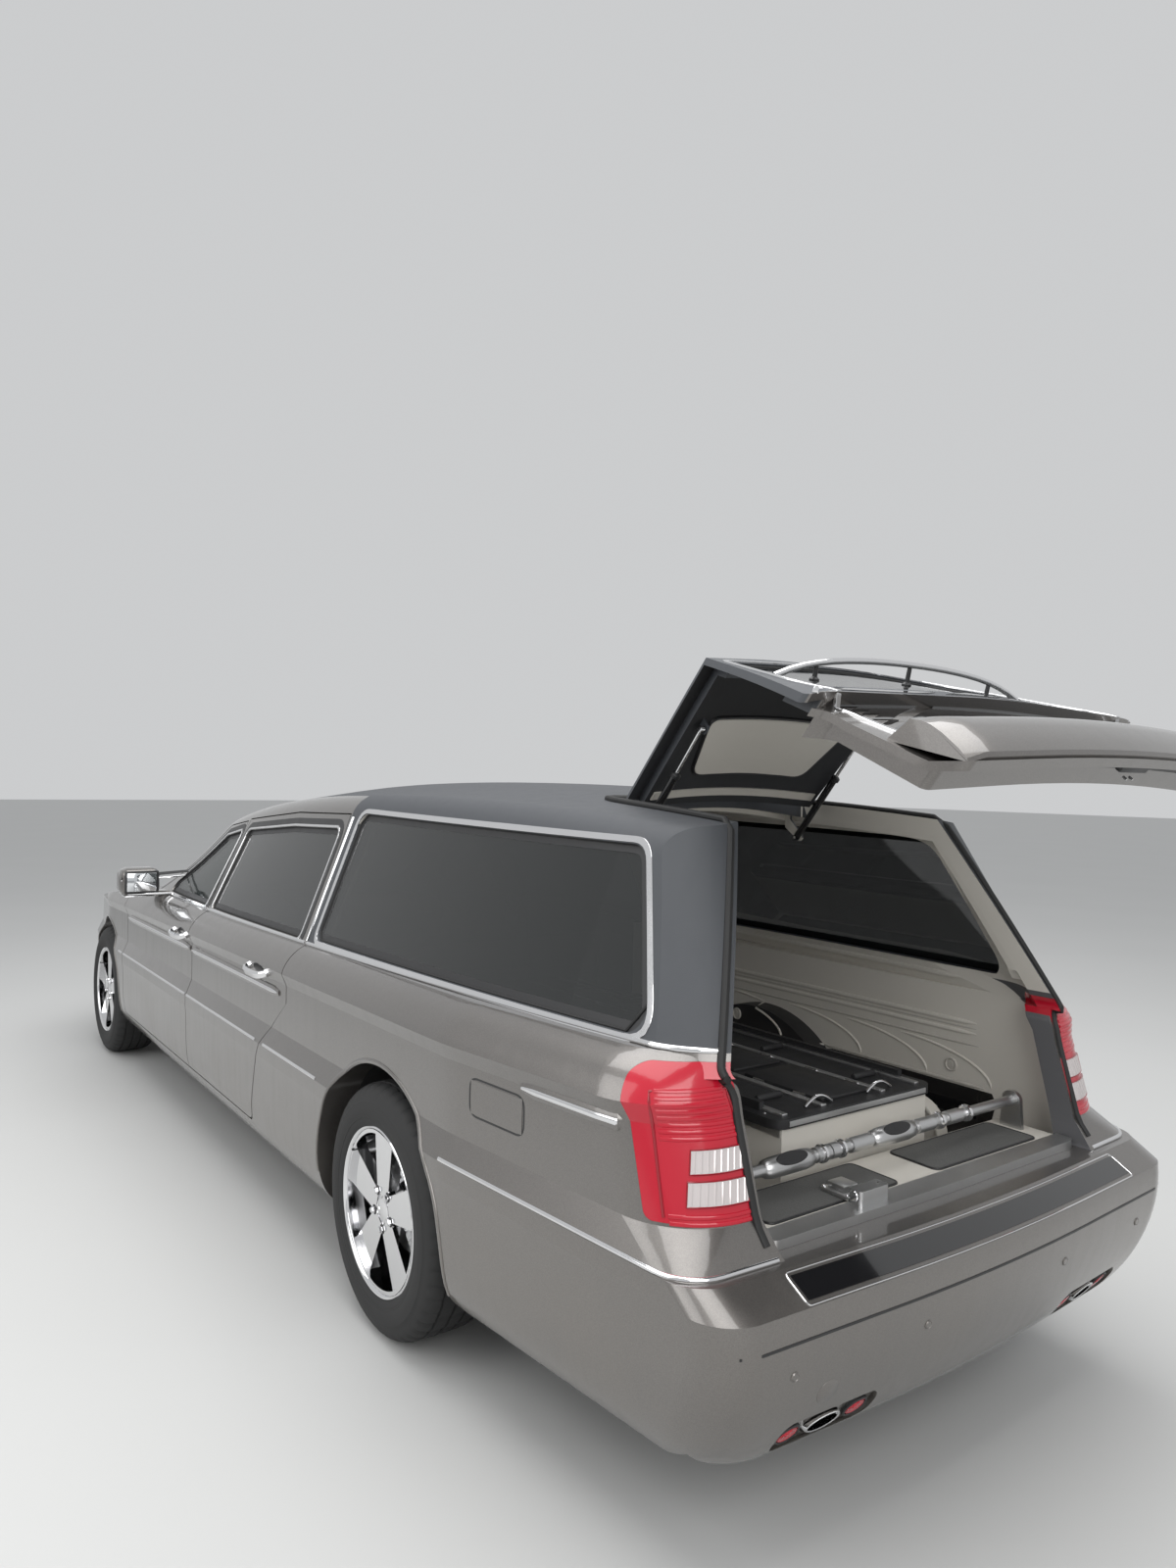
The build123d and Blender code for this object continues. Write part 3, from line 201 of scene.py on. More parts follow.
def flake_group() -> bpy.types.NodeTree:
    """Metal flakes in paint: tiny cells, each lighter or darker and slightly turned.

    Returns:
        Group with the outputs Value and Normal.
    """
    kit, source, sink = new_group(
        "Flakes", {"Scale": 900.0, "Strength": 0.06},
        {"Value": "NodeSocketFloat", "Normal": "NodeSocketVector"})
    place = kit.add("TexCoord").outputs["Object"]
    cells = kit.add("TexVoronoi", {"Vector": place, "Scale": source["Scale"]})
    shade = kit.add("SeparateColor", {"Color": cells.outputs["Color"]}).outputs[0]
    bump = kit.add("Bump", {"Height": shade, "Strength": source["Strength"], "Distance": 0.0004})
    kit.tree.links.new(shade, sink["Value"])
    kit.tree.links.new(bump.outputs[0], sink["Normal"])
    return kit.tree


def inner_group() -> bpy.types.NodeTree:
    """Masks of faces that look in towards the middle of the car, and of what is near the road.

    Returns:
        Group with the outputs Inside and Low.
    """
    kit, source, sink = new_group(
        "InnerSide", {"Middle": 0.95}, {"Inside": "NodeSocketFloat", "Low": "NodeSocketFloat"})
    place = kit.add("SeparateXYZ", {0: kit.add("TexCoord").outputs["Object"]})
    facing = kit.add("SeparateXYZ", {0: kit.add("TexCoord").outputs["Normal"]})
    up = kit.math("SUBTRACT", place.outputs[2], source["Middle"])
    across = kit.math("MULTIPLY", place.outputs[1], facing.outputs[1])
    rise = kit.math("MULTIPLY", kit.math("MAXIMUM", up, 0.0), facing.outputs[2])
    total = kit.math("ADD", across, rise)
    kit.tree.links.new(kit.ramp(total, -0.10, -0.16), sink["Inside"])
    kit.tree.links.new(kit.ramp(place.outputs[2], 0.75, 0.15), sink["Low"])
    return kit.tree


def plane_group() -> bpy.types.NodeTree:
    """Masks of what lies beyond a plane, and of faces that look along a direction.

    Returns:
        Group with the outputs Beyond and Facing.
    """
    kit, source, sink = new_group(
        "PlaneSide", {"X": 0.0, "Y": 0.0, "Z": 1.0, "Offset": 0.0, "Edge": 0.61},
        {"Beyond": "NodeSocketFloat", "Facing": "NodeSocketFloat"})
    way = kit.add("CombineXYZ", {0: source["X"], 1: source["Y"], 2: source["Z"]}).outputs[0]
    totals = []
    for output in ("Object", "Normal"):
        product = kit.add("VectorMath", {0: kit.add("TexCoord").outputs[output], 1: way},
                          operation="DOT_PRODUCT")
        totals.append(product.outputs["Value"])
    past = kit.math("SUBTRACT", totals[0], source["Offset"])
    turned = kit.math("SUBTRACT", totals[1], source["Edge"])
    kit.tree.links.new(kit.ramp(past, -0.001, 0.001), sink["Beyond"])
    kit.tree.links.new(kit.ramp(turned, 0.0, 0.04), sink["Facing"])
    return kit.tree


GROUPS: dict[str, Callable[[], bpy.types.NodeTree]] = {
    "SurfaceWear": wear_group, "Grain": grain_group, "Flakes": flake_group, "InnerSide": inner_group,
    "PlaneSide": plane_group,
}


def group(kit: NodeKit, name: str, inputs: Optional[dict] = None) -> bpy.types.Node:
    """Use a shared group in a material, making it the first time.

    Args:
        kit: Kit of the material's tree.
        name: Name of the group.
        inputs: Values by input name.

    Returns:
        The group's node.
    """
    node = kit.add("Group", node_tree=bpy.data.node_groups.get(name) or GROUPS[name]())
    set_inputs(node, inputs or {})
    return node


def blank_material(name: str) -> tuple[bpy.types.Material, NodeKit, bpy.types.Node]:
    """Make a material with nodes.

    Args:
        name: Name of the material.
    """
    material = bpy.data.materials.new(name)
    material.use_nodes = True
    return material, NodeKit(material.node_tree), material.node_tree.nodes["Principled BSDF"]


class Relief(Enum):
    """Fine surface of a plain finish."""

    SMOOTH = 0
    GRAIN = 1
    FLAKES = 2


@dataclass(frozen=True)
class Finish:
    """Look of one material, with its own wear.

    inner colours faces that look in towards the middle of the car. upper holds the colour and roughness
    beyond a plane, then the plane's normal and offset. The colour and direction after it give painted
    shade:
    faces that look along that direction take that colour.
    """

    name: str
    color: Color
    metallic: float = 0.0
    roughness: float = 0.5
    coat: float = 0.0
    relief: Relief = Relief.SMOOTH
    grain_scale: float = 400.0
    grain: float = 0.2
    wear: float = 0.06
    dust: float = 0.0
    inner: Optional[Color] = None
    glow: float = 0.0
    upper: Optional[tuple[Color, float, Vector, float]] = None
    facing_shade: Optional[tuple[Color, Vector]] = None
    slot: str = "black_plastic"

    def material(self) -> bpy.types.Material:
        """Build the material, or return it if it is there already."""
        return bpy.data.materials.get(self.name) or self.build()

    def build(self) -> bpy.types.Material:
        """Build the node tree of the material.

        Returns:
            The new material.
        """
        material, kit, shader = blank_material(self.name)
        wear = group(kit, "SurfaceWear", {"Scale": 3.0})
        darker = tuple(channel * 0.72 for channel in self.color)
        color = kit.mix(kit.math("MULTIPLY", wear.outputs["Blotch"], self.wear * 4), self.color, darker)
        rough = kit.math("MULTIPLY_ADD", wear.outputs["Streak"], self.wear, self.roughness)
        normal = None
        if self.relief is Relief.GRAIN:
            grain = group(kit, "Grain", {"Scale": self.grain_scale, "Strength": self.grain})
            normal = grain.outputs["Normal"]
            shade = kit.math("MULTIPLY", grain.outputs["Height"], self.grain * 0.5)
            color = kit.mix(shade, color, darker)
        if self.relief is Relief.FLAKES:
            flakes = group(kit, "Flakes")
            normal = flakes.outputs["Normal"]
            lighter = tuple(min(1.0, channel * 1.7) for channel in self.color)
            color = kit.mix(kit.math("MULTIPLY", flakes.outputs["Value"], 0.45), color, lighter)
        if self.dust:
            low = group(kit, "InnerSide").outputs["Low"]
            amount = kit.math("MULTIPLY", kit.math("MULTIPLY", low, wear.outputs["Blotch"]), self.dust)
            color = kit.mix(amount, color, (0.30, 0.27, 0.23))
            rough = kit.math("ADD", rough, kit.math("MULTIPLY", amount, 0.5))
        metallic: object = self.metallic
        coat: object = self.coat
        if self.inner is not None:
            inside = group(kit, "InnerSide").outputs["Inside"]
            color = kit.mix(inside, color, self.inner)
            outside = kit.math("SUBTRACT", 1.0, inside)
            metallic = kit.math("MULTIPLY", outside, self.metallic)
            coat = kit.math("MULTIPLY", outside, self.coat)
            rough = kit.math("MAXIMUM", rough, kit.math("MULTIPLY", inside, 0.62))
        masks = []
        if self.upper is not None:
            tone, tone_rough, way, offset = self.upper
            plane = group(kit, "PlaneSide", {"X": way.x, "Y": way.y, "Z": way.z, "Offset": offset})
            masks.append((plane.outputs["Beyond"], tone, tone_rough - self.roughness))
        # Painted shade: faces that look along the given direction take the given dark colour.
        if self.facing_shade is not None:
            tone, way = self.facing_shade
            plane = group(kit, "PlaneSide", {"X": way.x, "Y": way.y, "Z": way.z})
            masks.append((plane.outputs["Facing"], tone, 0.25))
        for mask, tone, gain in masks:
            color = kit.mix(mask, color, tone)
            rough = kit.math("MULTIPLY_ADD", mask, gain, rough)
            rest = kit.math("SUBTRACT", 1.0, mask)
            metallic = kit.math("MULTIPLY", rest, metallic)
            coat = kit.math("MULTIPLY", rest, coat)
        set_inputs(shader, {"Base Color": color, "Roughness": rough, "Metallic": metallic,
                            "Coat Weight": coat})
        if normal is not None:
            set_inputs(shader, {"Normal": normal})
        if self.glow:
            set_inputs(shader, {"Emission Color": (*self.color, 1.0), "Emission Strength": self.glow})
        return material


# Finishes of the whole car

PAINT_COLOR: Color = (0.158, 0.148, 0.139)
VINYL_COLOR: Color = (0.056, 0.060, 0.067)
LINING_COLOR: Color = (0.66, 0.63, 0.57)
TRIM_GREY: Color = (0.10, 0.10, 0.105)


class Look:
    """Every finish used on the car."""

    paint = Finish("paint_grey", PAINT_COLOR, 0.82, 0.30, 1.0, Relief.FLAKES, wear=0.04, dust=0.35,
                   inner=TRIM_GREY)
    paint_outer = Finish("paint_plain", PAINT_COLOR, 0.82, 0.30, 1.0, Relief.FLAKES, wear=0.04, dust=0.35,
                         slot="paint")
    tail_way = tailgate_matrix().to_3x3() @ Vector((0, 0, 1))
    tail_offset = tail_way.dot(tailgate_matrix() @ at(0.2, 0, 1.004))
    # Tailgate paint: vinyl beyond the belt plane, and near-black painted shade on faces that look forward
    # and down when closed, which face the ground at rest.
    tail_paint = Finish("paint_tailgate", PAINT_COLOR, 0.82, 0.30, 1.0, Relief.FLAKES, wear=0.04,
                        upper=(VINYL_COLOR, 0.58, tail_way, tail_offset),
                        facing_shade=((0.016, 0.016, 0.017), tailgate_matrix().to_3x3() @ Vector((0.8, 0, -0.6))))
    vinyl = Finish("vinyl_roof", VINYL_COLOR, 0.0, 0.58, 0.0, Relief.GRAIN, 650.0, 0.35,
                   wear=0.05, inner=LINING_COLOR)
    chrome = Finish("chrome_bright", (0.82, 0.82, 0.83), 1.0, 0.07, wear=0.03, slot="chrome")
    satin_alloy = Finish("alloy_satin", (0.60, 0.60, 0.60), 1.0, 0.33, wear=0.06, slot="chrome")
    dark_steel = Finish("steel_dark", (0.045, 0.045, 0.047), 0.4, 0.45, wear=0.08, dust=0.5)
    cast_iron = Finish("cast_iron", (0.13, 0.12, 0.11), 0.7, 0.62, 0.0, Relief.GRAIN, 900.0, 0.3, dust=0.5)
    black_gloss = Finish("black_gloss", (0.008, 0.008, 0.009), 0.0, 0.08, 1.0, wear=0.02)
    black_satin = Finish("black_satin", (0.018, 0.018, 0.019), 0.0, 0.38, wear=0.05)
    black_cast = Finish("black_cast", (0.022, 0.022, 0.023), 0.0, 0.55, 0.0, Relief.GRAIN, 1300.0, 0.25)
    rubber = Finish("rubber_seal", (0.012, 0.012, 0.012), 0.0, 0.62, wear=0.05)
    tyre = Finish("tyre_rubber", (0.022, 0.021, 0.020), 0.0, 0.72, 0.0, Relief.GRAIN, 1500.0, 0.25,
                  dust=0.9, slot="tyre_rubber")
    lining = Finish("lining_cream", LINING_COLOR, 0.0, 0.55, 0.0, Relief.GRAIN, 1100.0, 0.12, wear=0.04,
                    slot="cream_panel")
    # Darker copy of the lining: painted shade along the wall's groove, low ledge and band edge and along
    # the ceiling seams; also the tone of the plugs, the ceiling lamp's frame and the steering wheel's
    # stitches.
    lining_shade = Finish("lining_shade_and_plugs", (0.50, 0.475, 0.43), 0.0, 0.6, wear=0.04, slot="cream_panel")
    carpet = Finish("carpet_black", (0.030, 0.030, 0.031), 0.0, 0.95, 0.0, Relief.GRAIN, 260.0, 1.0)
    carpet_grey = Finish("carpet_grey", (0.12, 0.12, 0.115), 0.0, 0.95, 0.0, Relief.GRAIN, 260.0, 1.0)
    leather = Finish("leather_black", (0.022, 0.021, 0.021), 0.0, 0.42, 0.0, Relief.GRAIN, 700.0, 0.4,
                     slot="seat_leather")
    bier_board = Finish("bier_black", (0.020, 0.020, 0.021), 0.0, 0.42, 0.0, Relief.GRAIN, 1500.0, 0.15)
    red_lens = Finish("lens_red", (0.44, 0.006, 0.022), 0.0, 0.17, 0.45, wear=0.02, glow=0.02,
                      slot="red_lens")
    red_dark = Finish("lens_deep_red", (0.26, 0.005, 0.014), 0.0, 0.16, 0.45, wear=0.02, slot="red_lens")
    clear_lens = Finish("lens_clear", (0.60, 0.55, 0.54), 0.25, 0.14, 0.6, wear=0.02, slot="lamp_glass")
    amber = Finish("lens_amber", (0.85, 0.32, 0.03), 0.0, 0.15, 1.0, slot="lamp_glass")
    white_lamp = Finish("lamp_white", (0.85, 0.85, 0.82), 0.0, 0.3, 0.3, slot="cream_panel")
    mirror_glass = Finish("mirror_glass", (0.80, 0.82, 0.84), 1.0, 0.03, slot="chrome")
    plate = Finish("plate_blank", (0.70, 0.70, 0.68), 0.0, 0.4, 0.2)
    screen = Finish("screen_dark", (0.01, 0.012, 0.016), 0.0, 0.1, 0.6)
    exhaust_steel = Finish("exhaust_steel", (0.38, 0.36, 0.33), 1.0, 0.34, wear=0.1, dust=0.3)
    lamp_body = Finish("lamp_body", (0.55, 0.56, 0.57), 0.6, 0.2, 1.0, slot="lamp_glass")


@dataclass(frozen=True)
class GlassFinish:
    """Tinted glass whose far side still shows."""

    name: str
    tint: Color
    alpha: float

    def material(self) -> bpy.types.Material:
        """Build the glass, or return it if it is there already."""
        return bpy.data.materials.get(self.name) or self.build()

    def build(self) -> bpy.types.Material:
        """Build the node tree of the glass.

        Returns:
            The new material.
        """
        material, kit, shader = blank_material(self.name)
        wear = group(kit, "SurfaceWear", {"Scale": 5.0})
        rough = kit.math("MULTIPLY_ADD", wear.outputs["Streak"], 0.02, 0.015)
        edge = kit.add("LayerWeight", {"Blend": 0.25}).outputs["Fresnel"]
        alpha = kit.math("MAXIMUM", kit.math("MULTIPLY", edge, 0.9), self.alpha)
        color = (*self.tint, 1.0)
        set_inputs(shader, {"Base Color": color, "Roughness": rough, "Alpha": alpha, "Coat Weight": 1.0})
        return material


TINTED = GlassFinish("glass_tinted", (0.010, 0.012, 0.012), 0.66)
CLEAR = GlassFinish("glass_clear", (0.05, 0.06, 0.058), 0.42)
SCREEN = GlassFinish("glass_screen", (0.05, 0.06, 0.058), 0.34)


# Mesh tools


def new_object(name: str, data: bpy.types.ID) -> bpy.types.Object:
    """Make an object of some data and link it to the scene.

    Args:
        name: Name of the object.
        data: Mesh, light or camera.

    Returns:
        The object.
    """
    made = bpy.data.objects.new(name, data)
    bpy.context.scene.collection.objects.link(made)
    return made


class Shape:
    """Points and faces collected for one piece."""

    def __init__(self) -> None:
        """Start empty."""
        self.verts: Path = []
        self.faces: Faces = []

    def take(self, verts: Sequence[Vector], faces: Sequence[Sequence[int]]) -> "Shape":
        """Add points and faces.

        Args:
            verts: Points.
            faces: Faces counted within these points.

        Returns:
            This shape.
        """
        base = len(self.verts)
        self.verts += [Vector(v) for v in verts]
        self.faces += [tuple(base + index for index in face) for face in faces]
        return self

    def join(self, other: "Shape") -> "Shape":
        """Add all of another shape."""
        return self.take(other.verts, other.faces)

    def moved(self, matrix: Matrix) -> "Shape":
        """Copy turned or moved by a matrix.

        Args:
            matrix: Turn and move.

        Returns:
            The new shape.
        """
        faces = self.faces
        if matrix.determinant() < 0:
            faces = [tuple(reversed(face)) for face in faces]
        return Shape().take([matrix @ v for v in self.verts], faces)

    def mirrored(self) -> "Shape":
        """Copy on the other side of the car."""
        return self.moved(Matrix.Scale(-1, 4, Vector((0, 1, 0))))

    def piece(
        self, name: str, look: Finish, body: str = "car", slot: Optional[str] = None, sharp: float = 32.0
    ) -> bpy.types.Object:
        """Make the object of this shape, dressed and riding on its body.

        Args:
            name: Name of the piece.
            look: Finish.
            body: Body that carries it.
            slot: Material slot of the record, where it isn't the finish's own; not used.
            sharp: Angle in degrees above which an edge stays sharp.

        Returns:
            The new object.
        """
        LOG.info("%s: %d faces on %s", name, len(self.faces), body)
        mesh = bpy.data.meshes.new(name)
        mesh.from_pydata([tuple(v) for v in self.verts], [], self.faces)
        tool = bmesh.new()
        tool.from_mesh(mesh)
        bmesh.ops.recalc_face_normals(tool, faces=tool.faces)
        tool.to_mesh(mesh)
        tool.free()
        mesh.polygons.foreach_set("use_smooth", [True] * len(mesh.polygons))
        mesh.set_sharp_from_angle(angle=math.radians(sharp))
        mesh.materials.append(look.material())
        piece = new_object(name, mesh)
        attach(piece, body)
        slot or look.slot
        return piece


def gather(parts: Iterable[Shape]) -> Shape:
    """Join several shapes into one.

    Args:
        parts: The shapes.

    Returns:
        The joined shape.
    """
    shape = Shape()
    for part in parts:
        shape.join(part)
    return shape


def quads(rows: int, size: int, closed: bool = False) -> Faces:
    """Faces between rings of points.

    Args:
        rows: Number of rings.
        size: Points in each ring.
        closed: Whether the last ring joins the first.

    Returns:
        The faces, ring by ring.
    """
    faces: Faces = []
    for row in range(rows if closed else rows - 1):
        low, high = row * size, (row + 1) % rows * size
        for index in range(size):
            beside = (index + 1) % size
            faces.append((low + index, low + beside, high + beside, high + index))
    return faces


def half_round(width: float, height: float, sink: float = 0.002, steps: int = 6) -> list[Pair]:
    """Profile of a rounded moulding, its back sunk into what carries it."""
    top = [(math.cos(math.pi * i / steps) * width / 2, math.sin(math.pi * i / steps) * height)
           for i in range(steps + 1)]
    return top + [(-width / 2, -sink), (width / 2, -sink)]


def flat_bar(width: float, height: float, sink: float = 0.002, chamfer: float = 0.25) -> list[Pair]:
    """Profile of a flat strip with chamfered edges.

    Args:
        width: Width across.
        height: Height above the surface.
        sink: Depth below the surface.
        chamfer: Share of the height that is chamfered.

    Returns:
        Points across and up.
    """
    half = width / 2
    cut = min(height, width) * chamfer
    return [(half, -sink), (half, height - cut), (half - cut, height), (cut - half, height),
            (-half, height - cut), (-half, -sink)]


def sweep(
    points: Path, normals: Path, profile: Sequence[Pair], closed: bool = False, taper: float = 1.0
) -> Shape:
    """Run a profile along a line, its up side along the normals.

    Args:
        points: Points of the line.
        normals: Surface normal at each point.
        profile: Points across and up.
        closed: Whether the line joins its own start.
        taper: Size of the profile at both ends, as a share.

    Returns:
        The strip.
    """
    count = len(points)
    size = len(profile)
    verts: Path = []
    for index, point in enumerate(points):
        back = points[index - 1] if closed or index else point
        ahead = points[(index + 1) % count] if closed or index < count - 1 else point
        along = (ahead - back).normalized()
        normal = normals[index]
        normal = (normal - along * normal.dot(along)).normalized()
        across = along.cross(normal)
        share = taper if not closed and index in (0, count - 1) else 1.0
        verts += [point + across * a * share + normal * (h * share if h > 0 else h) for a, h in profile]
    faces = quads(count, size, closed)
    if not closed:
        faces.append(tuple(range(size)))
        faces.append(tuple((count - 1) * size + corner for corner in reversed(range(size))))
    return Shape().take(verts, faces)


def tube(points: Path, radius: float, sides: int = 12, closed: bool = False) -> Shape:
    """Round bar along a line.

    Args:
        points: Points of the line.
        radius: Radius of the bar.
        sides: Number of sides.
        closed: Whether it joins its own start.

    Returns:
        The bar.
    """
    ring = [(math.cos(2 * math.pi * i / sides) * radius, math.sin(2 * math.pi * i / sides) * radius)
            for i in range(sides)]
    first = (points[1] - points[0]).normalized()
    up = Vector((0, 0, 1)) if abs(first.z) < 0.9 else Vector((1, 0, 0))
    normals: Path = []
    for index in range(len(points)):
        back = points[max(index - 1, 0)]
        ahead = points[min(index + 1, len(points) - 1)]
        along = (ahead - back).normalized()
        up = (up - along * up.dot(along)).normalized()
        normals.append(up.copy())
    return sweep(points, normals, ring, closed)


def lathe(profile: Sequence[Pair], place: Vector, axis: Vector, sides: int = 32) -> Shape:
    """Turn a profile round an axis.

    Args:
        profile: Radius and distance along the axis of each point.
        place: Where the axis starts.
        axis: Direction of the axis.
        sides: Number of sides.

    Returns:
        The turned shape, its ends closed unless the profile is a loop.
    """
    turn = axis.to_track_quat("Z", "Y").to_matrix().to_4x4()
    turn.translation = place
    verts: Path = []
    for radius, along in profile:
        for index in range(sides):
            angle = 2 * math.pi * index / sides
            verts.append(turn @ Vector((radius * math.cos(angle), radius * math.sin(angle), along)))
    faces = quads(len(profile), sides)
    for row, radius in ((0, profile[0][0]), (len(profile) - 1, profile[-1][0])):
        if radius > 1e-6 and profile[0] != profile[-1]:
            faces.append(tuple(row * sides + index for index in range(sides)))
    return Shape().take(verts, faces)


def slab(corners: Path, normal: Vector, thick: float, inset: float = 0.0) -> Shape:
    """Plate from an outline, its top edge drawn in by a chamfer.

    Args:
        corners: Outline on the surface.
        normal: Way the plate stands out.
        thick: Thickness.
        inset: Width of the chamfer.

    Returns:
        The plate.
    """
    count = len(corners)
    middle = sum(corners, Vector()) / count
    low = [point - normal * 0.0015 for point in corners]
    side = [point + normal * max(thick - inset, thick * 0.4) for point in corners]
    top = []
    for point in corners:
        reach = point - middle
        share = max(0.0, 1 - inset / max(reach.length, 1e-6))
        top.append(middle + reach * share + normal * thick)
    faces = [tuple(range(count - 1, -1, -1)), tuple(range(2 * count, 3 * count))]
    return Shape().take(low + side + top, faces + quads(3, count))


def cuboid(low: Vector, high: Vector, round_by: float = 0.0) -> Shape:
    """Box between two corners, its edges chamfered.

    Args:
        low: Lowest corner.
        high: Highest corner.
        round_by: Width of the chamfer.

    Returns:
        The box.
    """
    tool = bmesh.new()
    bmesh.ops.create_cube(tool, size=1.0)
    size = high - low
    for vert in tool.verts:
        vert.co = Vector((vert.co.x * size.x, vert.co.y * size.y, vert.co.z * size.z)) + (low + high) / 2
    if round_by:
        bmesh.ops.bevel(tool, geom=tool.edges[:], offset=round_by, segments=2, affect="EDGES", profile=0.5)
    tool.verts.index_update()
    verts = [vert.co.copy() for vert in tool.verts]
    faces = [[vert.index for vert in face.verts] for face in tool.faces]
    tool.free()
    return Shape().take(verts, faces)


def rounded(points: Sequence[Sequence[float]], step: float = 0.03, closed: bool = True) -> list[Pair]:
    """Points along an outline in a plane, with its corners rounded.

    Args:
        points: Corners as (a, b) or (a, b, radius).
        step: Longest run between points.
        closed: Whether it joins its own start.

    Returns:
        Points (a, b) in order.
    """
    line: list[Vector] = []
    count = len(points)
    for index, entry in enumerate(points):
        corner = Vector(entry[:2])
        radius = entry[2] if len(entry) > 2 else 0.0
        inner = closed or 0 < index < count - 1
        if not radius or not inner:
            line.append(corner)
            continue
        back = Vector(points[index - 1][:2]) - corner
        ahead = Vector(points[(index + 1) % count][:2]) - corner
        half = back.angle(ahead) / 2
        reach = min(radius / math.tan(half), 0.45 * back.length, 0.45 * ahead.length)
        start = corner + back.normalized() * reach
        end = corner + ahead.normalized() * reach
        steps = 6
        for part in range(steps + 1):
            t = part / steps
            line.append(start * (1 - t) ** 2 + corner * 2 * t * (1 - t) + end * t ** 2)
    result: list[Pair] = []
    last = len(line) if closed else len(line) - 1
    for index in range(last):
        start = line[index]
        end = line[(index + 1) % len(line)]
        runs = max(1, math.ceil((end - start).length / step))
        result += [tuple(start.lerp(end, part / runs)) for part in range(runs)]
    if not closed:
        result.append(tuple(line[-1]))
    return result


def rect(a: float, b: float, c: float, d: float, radius: float, step: float) -> list[Pair]:
    """Rectangle from the low corner (a, b) to the high corner (c, d), its corners rounded."""
    return rounded([(a, b, radius), (c, b, radius), (c, d, radius), (a, d, radius)], step)


def grid(across: Sequence[float], levels: Sequence[float]) -> list[list[Pair]]:
    """Rows of points for a patch, one row for each level."""
    return [[(a, b) for a in across] for b in levels]


class Skin:
    """Surface of some CAD nodes, to set trim on."""

    def __init__(self, *nodes: str, turn: Optional[Matrix] = None) -> None:
        """Collect the surface.

        Args:
            *nodes: Names of the nodes.
            turn: Turn that brings the nodes to where trim is drawn.
        """
        verts: Path = []
        faces: list[list[int]] = []
        for name in nodes:
            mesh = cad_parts[name].data
            base = len(verts)
            verts += [(turn @ vert.co) if turn else vert.co.copy() for vert in mesh.vertices]
            faces += [[base + index for index in face.vertices] for face in mesh.polygons]
        self.tree = BVHTree.FromPolygons(verts, faces)

    def hit(self, start: Vector, way: Vector) -> Hit:
        """Find the first surface along a ray.

        Args:
            start: Start of the ray.
            way: Its direction.

        Returns:
            The point and its outward normal, or None.
        """
        place, normal, _, _ = self.tree.ray_cast(start, way.normalized())
        if place is None:
            return None
        return place, (normal if normal.dot(way) < 0 else -normal)

    def side(self, u: float, z: float, sign: int = 1) -> Hit:
        """Outer surface of a side."""
        return self.hit(at(u, 1.6 * sign, z), Vector((0, -sign, 0)))

    def rear(self, y: float, z: float) -> Hit:
        """Surface seen from behind."""
        return self.hit(at(-1.5, y, z), Vector((1, 0, 0)))

    def front(self, y: float, z: float) -> Hit:
        """Surface seen from the front."""
        return self.hit(at(7.5, y, z), Vector((-1, 0, 0)))

    def top(self, u: float, y: float) -> Hit:
        """Surface seen from above."""
        return self.hit(at(u, y, 3.0), Vector((0, 0, -1)))

    def corner(self, sign: int) -> "Caster":
        """Caster for the rounded corners of the tail.

        Args:
            sign: 1 for the left corner and -1 for the right.

        Returns:
            Caster by degrees round CORNER_U, where 0 is forward and 180 the tail, and by height.
        """
        def caster(degrees: float, z: float) -> Hit:
            """Meet the corner level, from outside."""
            angle = sign * math.radians(degrees)
            way = Vector((math.cos(angle), math.sin(angle), 0))
            return self.hit(at(CORNER_U, 0, z) + way * CORNER_REACH, -way)

        return caster


Caster = Callable[[float, float], Hit]


def laid(points: Sequence[Pair], caster: Caster) -> tuple[Path, Path]:
    """Put a plane line on a surface.

    Args:
        points: Points (a, b) of the line.
        caster: Finds the surface for each.

    Returns:
        Points on the surface and their normals; misses are left out.
    """
    found = [caster(a, b) for a, b in points]
    hits = [pair for pair in found if pair]
    return [pair[0] for pair in hits], [pair[1] for pair in hits]


def smooth_normals(normals: Path, closed: bool = False, rounds: int = 2) -> Path:
    """Even out normals along a line.

    Args:
        normals: Normals in order.
        closed: Whether the line joins its start.
        rounds: How many times.

    Returns:
        The evened normals.
    """
    count = len(normals)
    for _ in range(rounds):
        evened: Path = []
        for index in range(count):
            back = normals[index - 1] if closed or index else normals[0]
            ahead = normals[(index + 1) % count] if closed or index < count - 1 else normals[index]
            evened.append((back + normals[index] * 2 + ahead).normalized())
        normals = evened
    return normals


def strip_on(
    points: Sequence[Pair],
    caster: Caster,
    profile: Sequence[Pair],
    closed: bool = False,
    taper: float = 1.0,
) -> Shape:
    """Moulding laid on a surface along a line."""
    places, normals = laid(points, caster)
    return sweep(places, smooth_normals(normals, closed), profile, closed, taper)


def studs(caster: Caster, places: Sequence[Pair], profile: Sequence[Pair], sides: int) -> Shape:
    """Small turned parts that stand on a surface."""
    hits = [caster(a, b) for a, b in places]
    return gather(lathe(profile, *found, sides) for found in hits if found)


